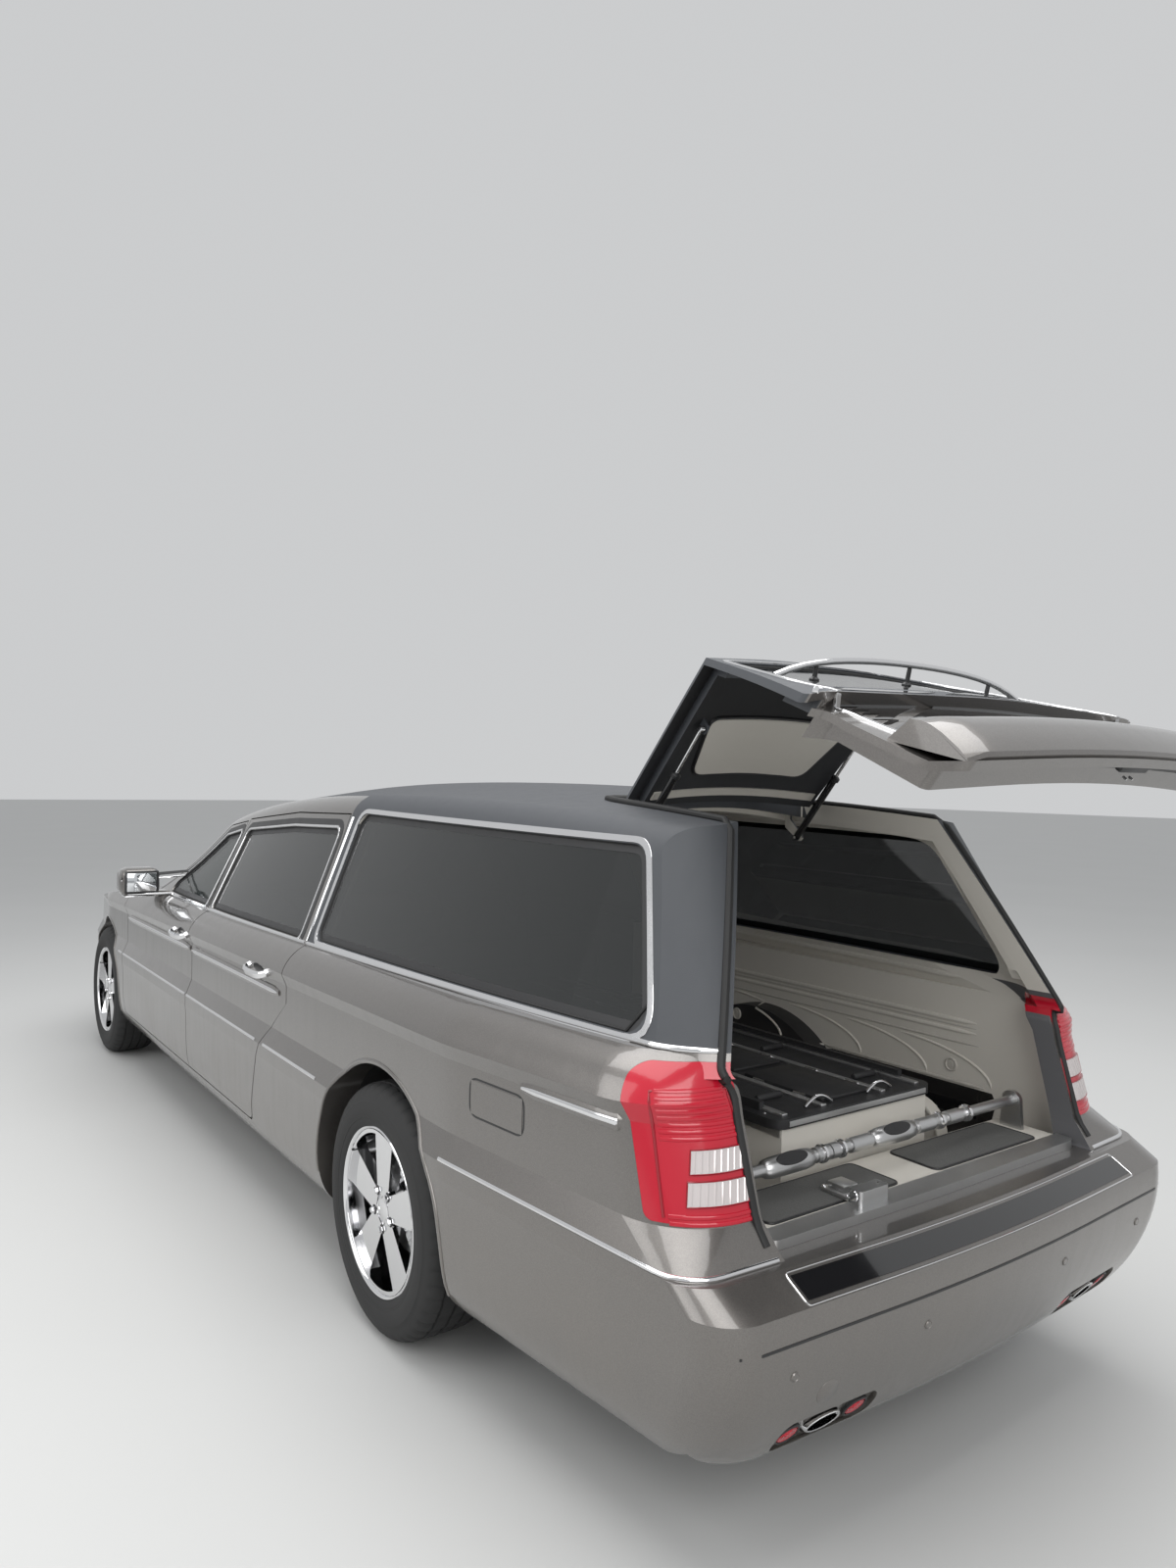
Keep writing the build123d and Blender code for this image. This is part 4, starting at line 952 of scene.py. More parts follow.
def grown(points: Sequence[Sequence[float]], by: float) -> list[tuple[float, ...]]:
    """Outline moved outwards by a distance, its corners kept.

    Args:
        points: Corners as (a, b) or (a, b, radius).
        by: Distance, negative for inwards.

    Returns:
        The new corners.
    """
    count = len(points)
    area = sum(points[i - 1][0] * points[i][1] - points[i][0] * points[i - 1][1] for i in range(count))
    sign = 1.0 if area > 0 else -1.0
    result: list[tuple[float, ...]] = []
    for index, entry in enumerate(points):
        corner = Vector(entry[:2])
        first = (corner - Vector(points[index - 1][:2])).normalized()
        second = (Vector(points[(index + 1) % count][:2]) - corner).normalized()
        out_first = Vector((first.y, -first.x)) * sign
        out_second = Vector((second.y, -second.x)) * sign
        middle = (out_first + out_second).normalized()
        moved = corner + middle * (by / max(0.3, middle.dot(out_first)))
        radius = (max(0.0, entry[2] + by),) if len(entry) > 2 else ()
        result.append((moved.x, moved.y, *radius))
    return result


def patch(rows: Sequence[Sequence[Pair]], caster: Caster, thick: float, sink: float = 0.001) -> Shape:
    """Thin plate that follows a surface, from rows of plane points.

    Args:
        rows: Rows of points (a, b), as many in each.
        caster: Finds the surface for each.
        thick: Height above the surface.
        sink: Depth of the edges below the surface.

    Returns:
        The plate.
    """
    width = len(rows[0])
    top: Path = []
    low: Path = []
    for row in rows:
        for a, b in row:
            found = caster(a, b)
            if found is None:
                raise ValueError(f"no surface under ({a:.3f}, {b:.3f})")
            place, normal = found
            top.append(place + normal * thick)
            low.append(place - normal * sink)
    faces: Faces = []
    for row in range(len(rows) - 1):
        for column in range(width - 1):
            start = row * width + column
            faces.append((start, start + 1, start + width + 1, start + width))
    rim = list(range(width)) + [row * width + width - 1 for row in range(1, len(rows))]
    rim += list(range(len(rows) * width - 2, (len(rows) - 1) * width - 1, -1))
    rim += [row * width for row in range(len(rows) - 2, 0, -1)]
    shape = Shape().take(top, faces)
    edge = [top[index] for index in rim] + [low[index] for index in rim]
    return shape.take(edge, quads(2, len(rim)))


def run(start: float, end: float, step: float) -> list[float]:
    """Evenly spaced numbers from start to end."""
    count = max(1, math.ceil(abs(end - start) / step))
    return [start + (end - start) * index / count for index in range(count + 1)]


def belt(u: float) -> float:
    """Height of the belt line at a place along the car."""
    return 1.050 - 0.0095 * u


# Outlines shared by several pieces, in u and z or in y and z
CARGO_WINDOW = [(0.345, 1.062, 0.05), (2.085, 1.054, 0.04), (2.085, 1.498, 0.05), (0.535, 1.478, 0.07)]
REAR_WINDOW = [(3.299, 1.034, 0.02), (3.299, 1.378, 0.03), (2.70, 1.424, 1.5), (2.225, 1.438, 0.04),
               (2.225, 1.042, 0.03)]
FRONT_WINDOW = [(4.205, 1.030, 0.03), (3.655, 1.334, 0.05), (3.396, 1.372, 0.03), (3.396, 1.034, 0.02)]


def two_sided(half: Sequence[Sequence[float]]) -> list[tuple[float, ...]]:
    """Whole outline across the car from its left half, bottom first."""
    other = [(-entry[0], *entry[1:]) for entry in reversed(half)]
    return [tuple(entry) for entry in half] + other


SIDES = (("left", 1), ("right", -1))


@dataclass
class SideTrim:
    """Brightwork, window frames and handles along both sides."""

    moulding_width: float = 0.040
    chrome_width: float = 0.016
    lower_line: float = 0.011
    frame_width: float = 0.018
    handle_length: float = 0.205
    lip_width: float = 0.014
    arch_reach: float = 0.431

    def build(self) -> None:
        """Build the trim of both sides."""
        self.car = Skin("body_side_left", "body_side_right", "roof", "rear_bumper", "fenders",
                        "front_bumper", "screen_frame")
        self.doors = {name: Skin(name) for name in ("door_front_left", "door_front_right", "door_rear_left",
                                                    "door_rear_right")}
        self.glass = Skin("side_glass", "door_glass_front_left", "door_glass_front_right",
                          "door_glass_rear_left", "door_glass_rear_right")
        for side, sign in SIDES:
            self.windows(side, sign)
            self.belt_lines(side, sign)
            self.mouldings(side, sign)
            self.lower_lines(side, sign)
            self.arch_lips(side, sign)
            self.handle(side, sign, "front", 3.470)
            self.handle(side, sign, "rear", 2.410)
            self.mirror(side, sign)
        self.fuel_flap()

    def caster(self, skin: Skin, sign: int) -> Caster:
        """Side caster of a skin."""
        return lambda u, z: skin.side(u, z, sign)

    def carrier(self, name: str, side: str) -> tuple[str, Skin]:
        """Body and surface under a piece: its door's, or else the car's."""
        body = f"{name}_{side}" if name.startswith("door") else "car"
        return body, self.doors.get(body, self.car)

    def windows(self, side: str, sign: int) -> None:
        """Frames and seals of the three side windows.

        Args:
            side: Name of the side.
            sign: 1 for left and -1 for right.
        """
        rows = [("cargo", CARGO_WINDOW), ("door_rear", REAR_WINDOW), ("door_front", FRONT_WINDOW)]
        for name, outline in rows:
            body, skin = self.carrier(name, side)
            wide = name == "cargo"
            reach = self.frame_width if wide else 0.009
            line = rounded(grown(outline, 0.010 if wide else 0.006), 0.04)
            frame_bar = strip_on(line, self.caster(skin, sign), flat_bar(reach, 0.003, 0.004), True)
            frame_bar.piece(f"window_frame_{name}_{side}", Look.chrome, body)
            line = rounded(grown(outline, -0.012), 0.04)
            band = strip_on(line, self.caster(self.glass, sign), flat_bar(0.026, 0.0008, 0.001), True)
            band.piece(f"window_band_{name}_{side}", Look.black_satin, body)
            line = rounded(grown(outline, -0.002), 0.04)
            seal = strip_on(line, self.caster(self.glass, sign), half_round(0.009, 0.006, 0.001, 4), True)
            seal.piece(f"window_seal_{name}_{side}", Look.rubber, body)
            if not wide:
                line = rounded(grown(outline, 0.023), 0.05)
                lap = strip_on([(u, z) for u, z in line if z > belt(u) + 0.012], self.caster(skin, sign),
                               flat_bar(0.024, 0.0012, 0.001))
                lap.piece(f"window_lap_{name}_{side}", Look.black_satin, body)
        post = [(2.150, z) for z in run(belt(2.15) + 0.012, 1.482, 0.05)]
        bar = strip_on(post, self.caster(self.car, sign), half_round(0.016, 0.006))
        bar.piece(f"pillar_trim_{side}", Look.chrome)

    def belt_lines(self, side: str, sign: int) -> None:
        """Chrome strip along the belt, on the body and both doors.

        Args:
            side: Name of the side.
            sign: 1 for left and -1 for right.
        """
        profile = half_round(0.013, 0.005)
        rows = [
            ("body", run(0.345, 2.143, 0.06)),
            ("door_rear", run(2.160, 3.335, 0.06)),
            ("door_front", run(3.358, 4.290, 0.05)),
        ]
        for name, places in rows:
            body, skin = self.carrier(name, side)
            line = [(u, belt(u) + 0.006) for u in places]
            strip_on(line, self.caster(skin, sign), profile).piece(f"belt_{name}_{side}", Look.chrome, body)
        angles = run(124.5, 137.3, 0.8)
        level = belt(0.3) + 0.006
        corner = strip_on([(angle, level) for angle in angles], self.car.corner(sign), profile)
        corner.piece(f"belt_corner_{side}", Look.chrome)

    def mouldings(self, side: str, sign: int) -> None:
        """Shoulder moulding with its bright insert.

        Args:
            side: Name of the side.
            sign: 1 for left and -1 for right.
        """
        rows = [("quarter", 0.205, 0.640), ("door_rear", 2.215, 3.330), ("door_front", 3.365, 4.560)]
        for name, start, end in rows:
            body, skin = self.carrier(name, side)
            caster = self.caster(skin, sign)
            level = 0.852 if name.startswith("door") else 0.905
            line = [(u, level - 0.004 * (u - start)) for u in run(start, end, 0.06)]
            base = strip_on(line, caster, half_round(self.moulding_width, 0.010), taper=0.55)
            base.piece(f"moulding_{name}_{side}", Look.paint_outer, body)
            insert = [(u, z + 0.001) for u, z in line]
            insert[0] = (insert[0][0] + 0.008, insert[0][1])
            insert[-1] = (insert[-1][0] - 0.008, insert[-1][1])
            places, normals = laid(insert, caster)
            normals = smooth_normals(normals)
            places = [place + normal * 0.0075 for place, normal in zip(places, normals)]
            bright = sweep(places, normals, half_round(self.chrome_width, 0.0045), taper=0.5)
            bright.piece(f"moulding_chrome_{name}_{side}", Look.chrome, body)

    def lower_lines(self, side: str, sign: int) -> None:
        """Thin bright line low on the flank, round the rear corner and along the doors.

        Args:
            side: Name of the side.
            sign: 1 for left and -1 for right.
        """
        profile = half_round(self.lower_line, 0.004)
        flank = [(degrees, 0.650) for degrees in run(87.0, 144.2, 0.9)]
        strip = strip_on(flank, self.car.corner(sign), profile)
        strip.piece(f"lower_line_tail_{side}", Look.chrome)
        rows = [("sill", 1.800, 2.372), ("door_rear", 2.402, 3.336), ("door_front", 3.358, 4.592),
                ("wing", 4.612, 4.700)]
        for name, start, end in rows:
            body, skin = self.carrier(name, side)
            line = [(u, 0.650) for u in run(start, end, 0.06)]
            strip_on(line, self.caster(skin, sign), profile).piece(
                f"lower_line_{name}_{side}", Look.chrome, body)

    def arch_lips(self, side: str, sign: int) -> None:
        """Rolled lips round the wheel arches.

        Args:
            side: Name of the side.
            sign: 1 for left and -1 for right.
        """
        for name, u, first, last in (("rear", 1.370, -2, 190), ("front", 5.135, -6, 186)):
            line = []
            for degrees in run(first, last, 4):
                angle = math.radians(degrees)
                line.append((u + self.arch_reach * math.cos(angle),
                             TYRE_RADIUS + self.arch_reach * math.sin(angle)))
            lip = strip_on(line, self.caster(self.car, sign), half_round(self.lip_width, 0.004))
            lip.piece(f"arch_lip_{name}_{side}", Look.paint_outer)

    def handle(self, side: str, sign: int, door: str, u: float) -> None:
        """Pull handle of a door with its cup and lock.

        Args:
            side: Name of the side.
            sign: 1 for left and -1 for right.
            door: front or rear.
            u: Middle of the handle.
        """
        body = f"door_{door}_{side}"
        caster = self.caster(self.doors[body], sign)
        z = 0.912
        half = self.handle_length / 2
        cup = [(u + a * 0.052, z - 0.002 + b * 0.022) for a, b in
               [(math.cos(t), math.sin(t)) for t in run(0, math.tau * 23 / 24, math.tau / 24)]]
        places, normals = laid(cup, caster)
        normal = sum(normals, Vector()).normalized()
        slab(places, normal, 0.0022).piece(f"handle_cup_{door}_{side}", Look.black_satin, body)
        path: Path = []
        ups: Path = []
        for t in run(-1, 1, 0.1):
            found = caster(u + t * half, z)
            if found is None:
                continue
            lift = 0.006 + 0.028 * (1 - abs(t) ** 5)
            path.append(found[0] + found[1] * lift)
            ups.append(found[1])
        grip = sweep(path, smooth_normals(ups), flat_bar(0.026, 0.009, 0.004, 0.45), taper=0.6)
        for t in (-0.93, 0.93):
            found = caster(u + t * half, z)
            grip.join(lathe([(0.0, -0.002), (0.016, -0.002), (0.015, 0.012), (0.0, 0.014)], *found, 20))
        grip.piece(f"handle_{door}_{side}", Look.chrome, body, sharp=40)

    def mirror(self, side: str, sign: int) -> None:
        """Glass, bezel, painted shell and bright lower edge of a door mirror.

        Args:
            side: Name of the side.
            sign: 1 for left and -1 for right.
        """
        body = f"door_front_{side}"
        glass = cuboid(at(4.069, 0.888, 1.038), at(4.0755, 1.026, 1.130), 0.003)
        bezel = cuboid(at(4.066, 0.876, 1.026), at(4.077, 1.036, 1.140), 0.005)
        shell = cuboid(at(4.078, 0.862, 1.012), at(4.219, 1.049, 1.152), 0.035)
        edge = cuboid(at(4.085, 0.885, 1.0095), at(4.205, 1.030, 1.016), 0.003)
        rows = [("glass", glass.moved(Matrix.Translation((-0.004, 0, 0))), Look.mirror_glass),
                ("bezel", bezel, Look.black_satin), ("shell", shell, Look.paint_outer),
                ("edge", edge, Look.chrome)]
        for name, shape, look in rows:
            placed = shape if sign > 0 else shape.mirrored()
            placed.piece(f"mirror_{name}_{side}", look, body)

    def fuel_flap(self) -> None:
        """Fuel flap with its seam, on the left flank behind the rear wheel."""
        caster = self.caster(self.car, 1)
        outline = rect(0.630, 0.785, 0.850, 0.880, 0.03, 0.03)
        seam = strip_on(outline, caster, flat_bar(0.005, 0.0006, 0.001), True)
        seam.piece("fuel_flap_seam", Look.black_satin)
        rows = grid(run(0.636, 0.844, 0.02), run(0.790, 0.875, 0.0284))
        patch(rows, caster, 0.0012).piece("fuel_flap", Look.paint_outer)


def ring_line(count: int, across: float, up: float) -> list[Pair]:
    """Points of an oval round its own middle."""
    turns = [math.tau * index / count for index in range(count)]
    return [(across * math.cos(turn), up * math.sin(turn)) for turn in turns]


@dataclass
class RearEnd:
    """Lamps, bumper step, seal, exhaust tips and recess at the tail."""

    seal_radius: float = 0.0095
    tip_half: Pair = (0.046, 0.027)
    tip_place: Pair = (0.505, 0.297)
    face_turn: float = 0.0635
    face_slope: float = 0.682
    pocket_depth: float = 0.008
    reflector_radius: float = 0.027
    sensor_radius: float = 0.011

    def build(self) -> None:
        """Build the trim of the tail."""
        self.lamp = Skin("tail_lamps")
        self.body = Skin("roof", "body_side_left", "body_side_right", "tail_lamps", "rear_bumper")
        self.bumper = Skin("rear_bumper")
        for side, sign in SIDES:
            self.lamp_wrap(side, sign)
            self.exhaust(side, sign)
            self.recess(side, sign)
            self.reflectors(side, sign)
        self.seal()
        self.step()
        self.sensors()
        self.cap()

    def lamp_wrap(self, side: str, sign: int) -> None:
        """Rim, ribs, clear boxes and flutes of a tail lamp.

        Args:
            side: Name of the side.
            sign: 1 for left and -1 for right.
        """
        caster = self.lamp.corner(sign)
        levels = run(0.714, 0.978, 0.02)
        rim = [(self.lamp_edges(z)[0], z) for z in levels]
        rim += [(self.lamp_edges(z)[1], z) for z in reversed(levels)]
        seen = [(a, z) for a, z in rim if caster(a, z)]
        strip_on(seen, caster, half_round(0.007, 0.003, 0.001, 4)).piece(f"lamp_rim_{side}", Look.red_dark)
        ribs = Shape()
        for level in run(0.722, 0.980, 0.0143):
            if 0.742 < level < 0.876:
                continue
            first, last = self.lamp_edges(level)
            ribs.join(strip_on([(a, level) for a in run(first + 0.6, last - 0.5, 0.9)], caster,
                               half_round(0.0098, 0.0022, 0.001, 4)))
        ribs.piece(f"lamp_ribs_{side}", Look.red_lens)
        boxes = [("upper", 0.817, 0.864, 134.0, 140.4), ("lower", 0.755, 0.803, 133.8, 140.9)]
        for name, low, high, first, last in boxes:
            levels = run(low, high, 0.008)
            box = patch(grid(run(first, last, 0.7), levels), caster, 0.0028)
            box.piece(f"lamp_box_{name}_{side}", Look.clear_lens)
            heights = run(low + 0.003, high - 0.003, 0.007)
            flutes = gather(strip_on([(a, z) for z in heights], caster, half_round(0.0085, 0.0042, 0.0, 4))
                            for a in run(first + 0.5, last - 0.5, 0.9))
            flutes.piece(f"lamp_flutes_{name}_{side}", Look.clear_lens)
            loop = [(a, low) for a in run(first, last, 0.7)] + [(last, z) for z in levels[1:-1]]
            loop += [(a, high) for a in run(last, first, 0.7)] + [(first, z) for z in levels[-2:0:-1]]
            strip_on(loop, caster, half_round(0.004, 0.0045, 0.001, 4), True).piece(
                f"lamp_frame_{name}_{side}", Look.red_dark)

    def lamp_edges(self, z: float) -> Pair:
        """Outer and inner edge of a lamp at a height, in degrees round the tail."""
        inner = 142.0 - 0.7 * (z - 0.70) / 0.123 if z < 0.823 else 141.3 - 3.5 * (z - 0.823) / 0.164
        return 131.6 - 3.2 * (z - 0.70) / 0.33, inner

    def seal(self) -> None:
        """Rubber tube round the tail opening."""
        outline = two_sided([(0.618, 0.656, 0.02), (0.619, 0.975, 0.05), (0.652, 1.012, 0.03),
                             (0.392, 1.578, 0.07)])
        line = rounded(outline, 0.03)
        places: Path = []
        for y, z in line:
            found = self.body.rear(y, z)
            if found is None:
                continue
            places.append(found[0] + Vector((0.002, 0, 0)))
        middle = sum(places, Vector()) / len(places)
        drawn = [place - (middle - place).normalized() * 0.008 for place in places]
        keep = [point for point in drawn if point.z > 0.668]
        keep.sort(key=lambda point: math.atan2(point.y, point.z - 1.0))
        tube(keep, self.seal_radius, 10).piece("tail_seal", Look.rubber)

    def step(self) -> None:
        """Dark inlay with a bright rim on the bumper's step, and the seam below it."""
        caster = self.bumper.rear
        rows = grid(run(-0.620, 0.620, 0.04), run(0.607, 0.636, 0.007))
        patch(rows, caster, 0.0016).piece("bumper_inlay", Look.black_gloss)
        loop = rect(-0.628, 0.602, 0.628, 0.640, 0.008, 0.04)
        strip_on(loop, caster, half_round(0.004, 0.0022, 0.001, 4), True).piece(
            "bumper_inlay_rim", Look.chrome)
        groove = strip_on([(y, 0.540) for y in run(-0.80, 0.80, 0.05)], caster,
                          flat_bar(0.006, 0.0012, 0.001))
        groove.piece("bumper_seam", Look.black_satin)

    def sensors(self) -> None:
        """Parking sensors, small round caps in the bumper."""
        for index, y in enumerate((-0.66, -0.27, 0.27, 0.66)):
            profile = [(0.0, 0.0022), (0.0075, 0.0022), (0.0085, 0.0012), (0.0095, 0.0024),
                       (self.sensor_radius, 0.0008), (self.sensor_radius, -0.002)]
            cap = studs(self.bumper.rear, [(y, 0.470)], profile, 24)
            cap.piece(f"sensor_{index}", Look.paint_outer)

    def cap(self) -> None:
        """Towing eye cover low on the left of the bumper."""
        profile = [(0.0, 0.0016), (0.027, 0.0016), (0.029, 0.0004), (0.030, -0.002)]
        studs(self.bumper.rear, [(0.55, 0.400)], profile, 32).piece("tow_cap", Look.paint_outer)

    def face(self, y: float, z: float, deep: float = 0.0) -> float:
        """Place along the car of the bumper's sloping face below its seam."""
        return 0.0532 - self.face_slope * (z - 0.252) + self.face_turn * (abs(y) - self.tip_place[0]) + deep

    def exhaust(self, side: str, sign: int) -> None:
        """Chromed oval tip cut along the bumper's face, its rolled rim and dark inside.

        Args:
            side: Name of the side.
            sign: 1 for left and -1 for right.
        """
        wide, tall = self.tip_half
        middle_y, middle_z = self.tip_place[0] * sign, self.tip_place[1]
        loops = [(0.0, 0.064, 0), (0.0, 0.0020, 1), (-0.0022, 0.0, 1), (-0.0055, 0.0015, 1),
                 (-0.0065, 0.014, 1), (-0.0065, 0.140, 0)]
        verts: Path = []
        count = 40
        for inset, back, cut in loops:
            for a, b in ring_line(count, wide + 0.0006 + inset, tall + 0.0006 + inset):
                front = self.face(middle_y + a, middle_z + b, -0.005) if cut else 0.0
                verts.append(at(front + back, middle_y + a, middle_z + b))
        Shape().take(verts, quads(len(loops), count)).piece(f"exhaust_tip_{side}", Look.chrome, sharp=50)
        inner: Path = []
        for back in (0.085, 0.200):
            for a, b in ring_line(count, wide - 0.0067, tall - 0.0067):
                inner.append(at(back, middle_y + a, middle_z + b))
        faces = quads(2, count) + [tuple(range(count, 2 * count))]
        Shape().take(inner, faces).piece(f"exhaust_soot_{side}", Look.black_cast)

    def recess(self, side: str, sign: int) -> None:
        """Painted panel a little behind the bumper's face, open round the tip.

        Args:
            side: Name of the side.
            sign: 1 for left and -1 for right.
        """
        outline = rect(0.3625, 0.2585, 0.6435, 0.3415, 0.034, 0.03)
        places = [at(self.face(y, z, self.pocket_depth), y * sign, z) for y, z in outline]
        tip_y, tip_z = self.tip_place
        hole = [at(self.face(tip_y + a, tip_z + b, self.pocket_depth), (tip_y + a) * sign, tip_z + b)
                for a, b in ring_line(len(outline), 0.050, 0.031)]
        start = min(range(len(hole)), key=lambda index: (hole[index] - places[0]).length)
        ahead = (places[1] - places[0]).cross(places[2] - places[1]).x
        turn = (hole[1] - hole[0]).cross(hole[2] - hole[1]).x
        order = 1 if ahead * turn > 0 else -1
        count = len(places)
        matched = [hole[(start + order * index) % count] for index in range(count)]
        deep = [point + Vector((0.020, 0, 0)) for point in matched]
        Shape().take(places + matched + deep, quads(3, count)).piece(
            f"exhaust_pocket_{side}", Look.paint_outer)

    def reflectors(self, side: str, sign: int) -> None:
        """Round red reflectors with stepped faces beside the tip.

        Args:
            side: Name of the side.
            sign: 1 for left and -1 for right.
        """
        radius = self.reflector_radius
        way = Vector((-1, self.face_turn * sign, -self.face_slope)).normalized()
        for index, y in enumerate((0.407, 0.601)):
            place = at(self.face(y, 0.299, 0.004), y * sign, 0.299)
            steps = [(0.0, 0.0050)]
            for share in (0.25, 0.5, 0.75, 0.88):
                reach, drop = radius * share, 0.002 * share
                steps += [(reach, 0.0048 - drop), (reach + 0.0006, 0.0036 - drop)]
            steps += [(radius, 0.001), (radius, -0.004)]
            lathe(steps, place, way, 40).piece(f"reflector_{side}_{index}", Look.red_lens)
            rim = [(radius, -0.002), (radius, 0.003), (radius + 0.003, 0.0045), (radius + 0.006, 0.002),
                   (radius + 0.006, -0.006)]
            lathe(rim, place, way, 40).piece(f"reflector_rim_{side}_{index}", Look.black_satin)


@dataclass
class TailgateTrim:
    """Trim of the tailgate, drawn closed and then swung open."""

    lip_low: float = 0.657
    frame_width: float = 0.015
    rail_radius: float = 0.008
    rail_half: float = 0.478
    panel_half: float = 0.285

    def build(self) -> None:
        """Build the trim of the tailgate."""
        self.open = tailgate_matrix()
        self.skin = Skin("tailgate", "tailgate_glass", turn=self.open.inverted())
        self.lip()
        self.window()
        self.belt()
        self.rail()
        self.inner_panel()
        self.latch()
        self.strut_details()

    def swung(self, shape: Shape, name: str, look: Finish, sharp: float = 32.0) -> None:
        """Swing a shape open with the tailgate and make its piece."""
        shape.moved(self.open).piece(name, look, "tailgate", sharp=sharp)

    def lip(self) -> None:
        """Ledge across the bottom of the tailgate, standing out over the bumper's step."""
        rows = [(0.824, -0.002), (0.806, 0.012), (0.784, 0.030), (0.764, 0.040), (0.735, 0.0455),
                (0.690, 0.0455), (0.664, 0.041), (self.lip_low, 0.034), (self.lip_low, 0.0)]
        stations = run(-0.582, 0.582, 0.045)
        verts: Path = []
        base: list[float] = []
        for y in stations:
            found = self.skin.rear(y, 0.690)
            base.append(found[0].x)
        for index, y in enumerate(stations):
            edge = min(1.0, (0.584 - abs(y)) / 0.030 + 0.60)
            for z, out in rows:
                if out <= 0:
                    place = self.skin.rear(y, z)[0]
                    verts.append(place + Vector((0.003, 0, 0)))
                else:
                    verts.append(Vector((base[index] - out * edge, y, z)))
        size = len(rows)
        faces: Faces = []
        for index in range(len(stations) - 1):
            for row in range(size - 1):
                start = index * size + row
                faces.append((start, start + 1, start + size + 1, start + size))
            faces.append((index * size + size - 1, index * size, (index + 1) * size,
                          (index + 2) * size - 1))
        faces.append(tuple(reversed(range(size))))
        faces.append(tuple(range((len(stations) - 1) * size, len(stations) * size)))
        self.swung(Shape().take(verts, faces), "tailgate_lip", Look.paint_outer, 28.0)

    def window(self) -> None:
        """Dark glazed band under the window, and the bright frame round both."""
        rows = []
        for z in run(0.845, 1.072, 0.028):
            half = 0.505 + 0.035 * (z - 0.845) / 0.227
            rows.append([(y, z) for y in run(-half, half, 0.06)])
        self.swung(patch(rows, self.skin.rear, 0.0016), "tailgate_band", Look.black_gloss)
        outline = two_sided([(0.518, 0.836, 0.03), (0.563, 1.078, 0.4), (0.402, 1.468, 0.05)])
        line = rounded(outline, 0.035)
        frame_bar = strip_on(line, self.skin.rear, flat_bar(self.frame_width, 0.0045, 0.004), True)
        self.swung(frame_bar, "tailgate_window_frame", Look.chrome)
        seal = rounded(two_sided([(0.545, 1.083, 0.04), (0.388, 1.448, 0.05)]), 0.035)
        rubber = strip_on(seal, self.skin.rear, half_round(0.010, 0.004, 0.002, 4), True)
        self.swung(rubber, "tailgate_window_seal", Look.rubber)

    def belt(self) -> None:
        """Bright strips from the belt line to the window frame."""
        both = Shape()
        for sign in (1, -1):
            line = [((0.618 - 0.060 * t) * sign, 0.998 + 0.050 * t) for t in run(0.0, 1.0, 0.1)]
            both.join(strip_on(line, self.skin.rear, half_round(0.013, 0.0045)))
        self.swung(both, "tailgate_belt_strip", Look.chrome)

    def rail_at(self, y: float) -> Pair:
        """Height of the rail and its distance from the glass at a place across."""
        t = y / self.rail_half
        return 1.230 + 0.012 * (1 - t * t), 0.006 + 0.046 * (1 - t ** 4)

    def rail(self) -> None:
        """Arched bright rail across the window on three posts."""
        path: Path = []
        posts = Shape()
        for y in run(-self.rail_half, self.rail_half, 0.0478):
            z, lift = self.rail_at(y)
            place, normal = self.skin.rear(y, z)
            path.append(place + normal * lift)
        bar = tube(path, self.rail_radius, 12)
        for y in (-0.340, 0.0, 0.340):
            z, reach = self.rail_at(y)
            place, normal = self.skin.rear(y, z)
            posts.join(lathe([(0.012, -0.002), (0.012, 0.003), (0.006, 0.008), (0.0055, reach - 0.004)],
                             place, normal, 16))
        self.swung(bar, "tailgate_rail", Look.chrome, 50.0)
        self.swung(posts, "tailgate_rail_posts", Look.black_satin)

    def under(self, u: float, y: float) -> Hit:
        """Inner surface of the tailgate's roof part."""
        return self.skin.hit(at(u, y, 1.15), Vector((0, 0, 1)))

    def inner_panel(self) -> None:
        """Pale panel under the roof part with two plugs, a dark surround and a pale strip at the hinge."""
        half = self.panel_half
        outline = [(0.590, -half, 0.03), (0.590, half, 0.03), (0.800, half - 0.060, 0.05),
                   (0.800, -half + 0.060, 0.05)]
        places, normals = laid(rounded(outline, 0.04), self.under)
        if len(places) > 8:
            normal = sum(normals, Vector()).normalized()
            self.swung(slab(places, normal, 0.009, 0.006), "tailgate_inner_panel", Look.lining)
            strip_bar = sweep(places, smooth_normals(normals, True), half_round(0.012, 0.008), True)
            self.swung(strip_bar, "tailgate_inner_rim", Look.black_satin)
            for index, y in enumerate((-0.125, 0.125)):
                found = self.under(0.690, y)
                profile = [(0.0, 0.0115), (0.011, 0.0115), (0.0125, 0.0095), (0.016, 0.0095),
                           (0.0175, 0.0125), (0.020, 0.0115), (0.021, 0.006)]
                self.swung(lathe(profile, found[0], normal, 28), f"tailgate_plug_{index}",
                           Look.lining_shade)
        rows = [[(u, y) for y in run(-0.33, 0.33, 0.05)] for u in (0.862, 0.890)]
        hits = [self.under(u, y) for row in rows for u, y in row]
        if all(hits):
            self.swung(patch(rows, self.under, 0.004), "tailgate_hinge_strip", Look.lining)

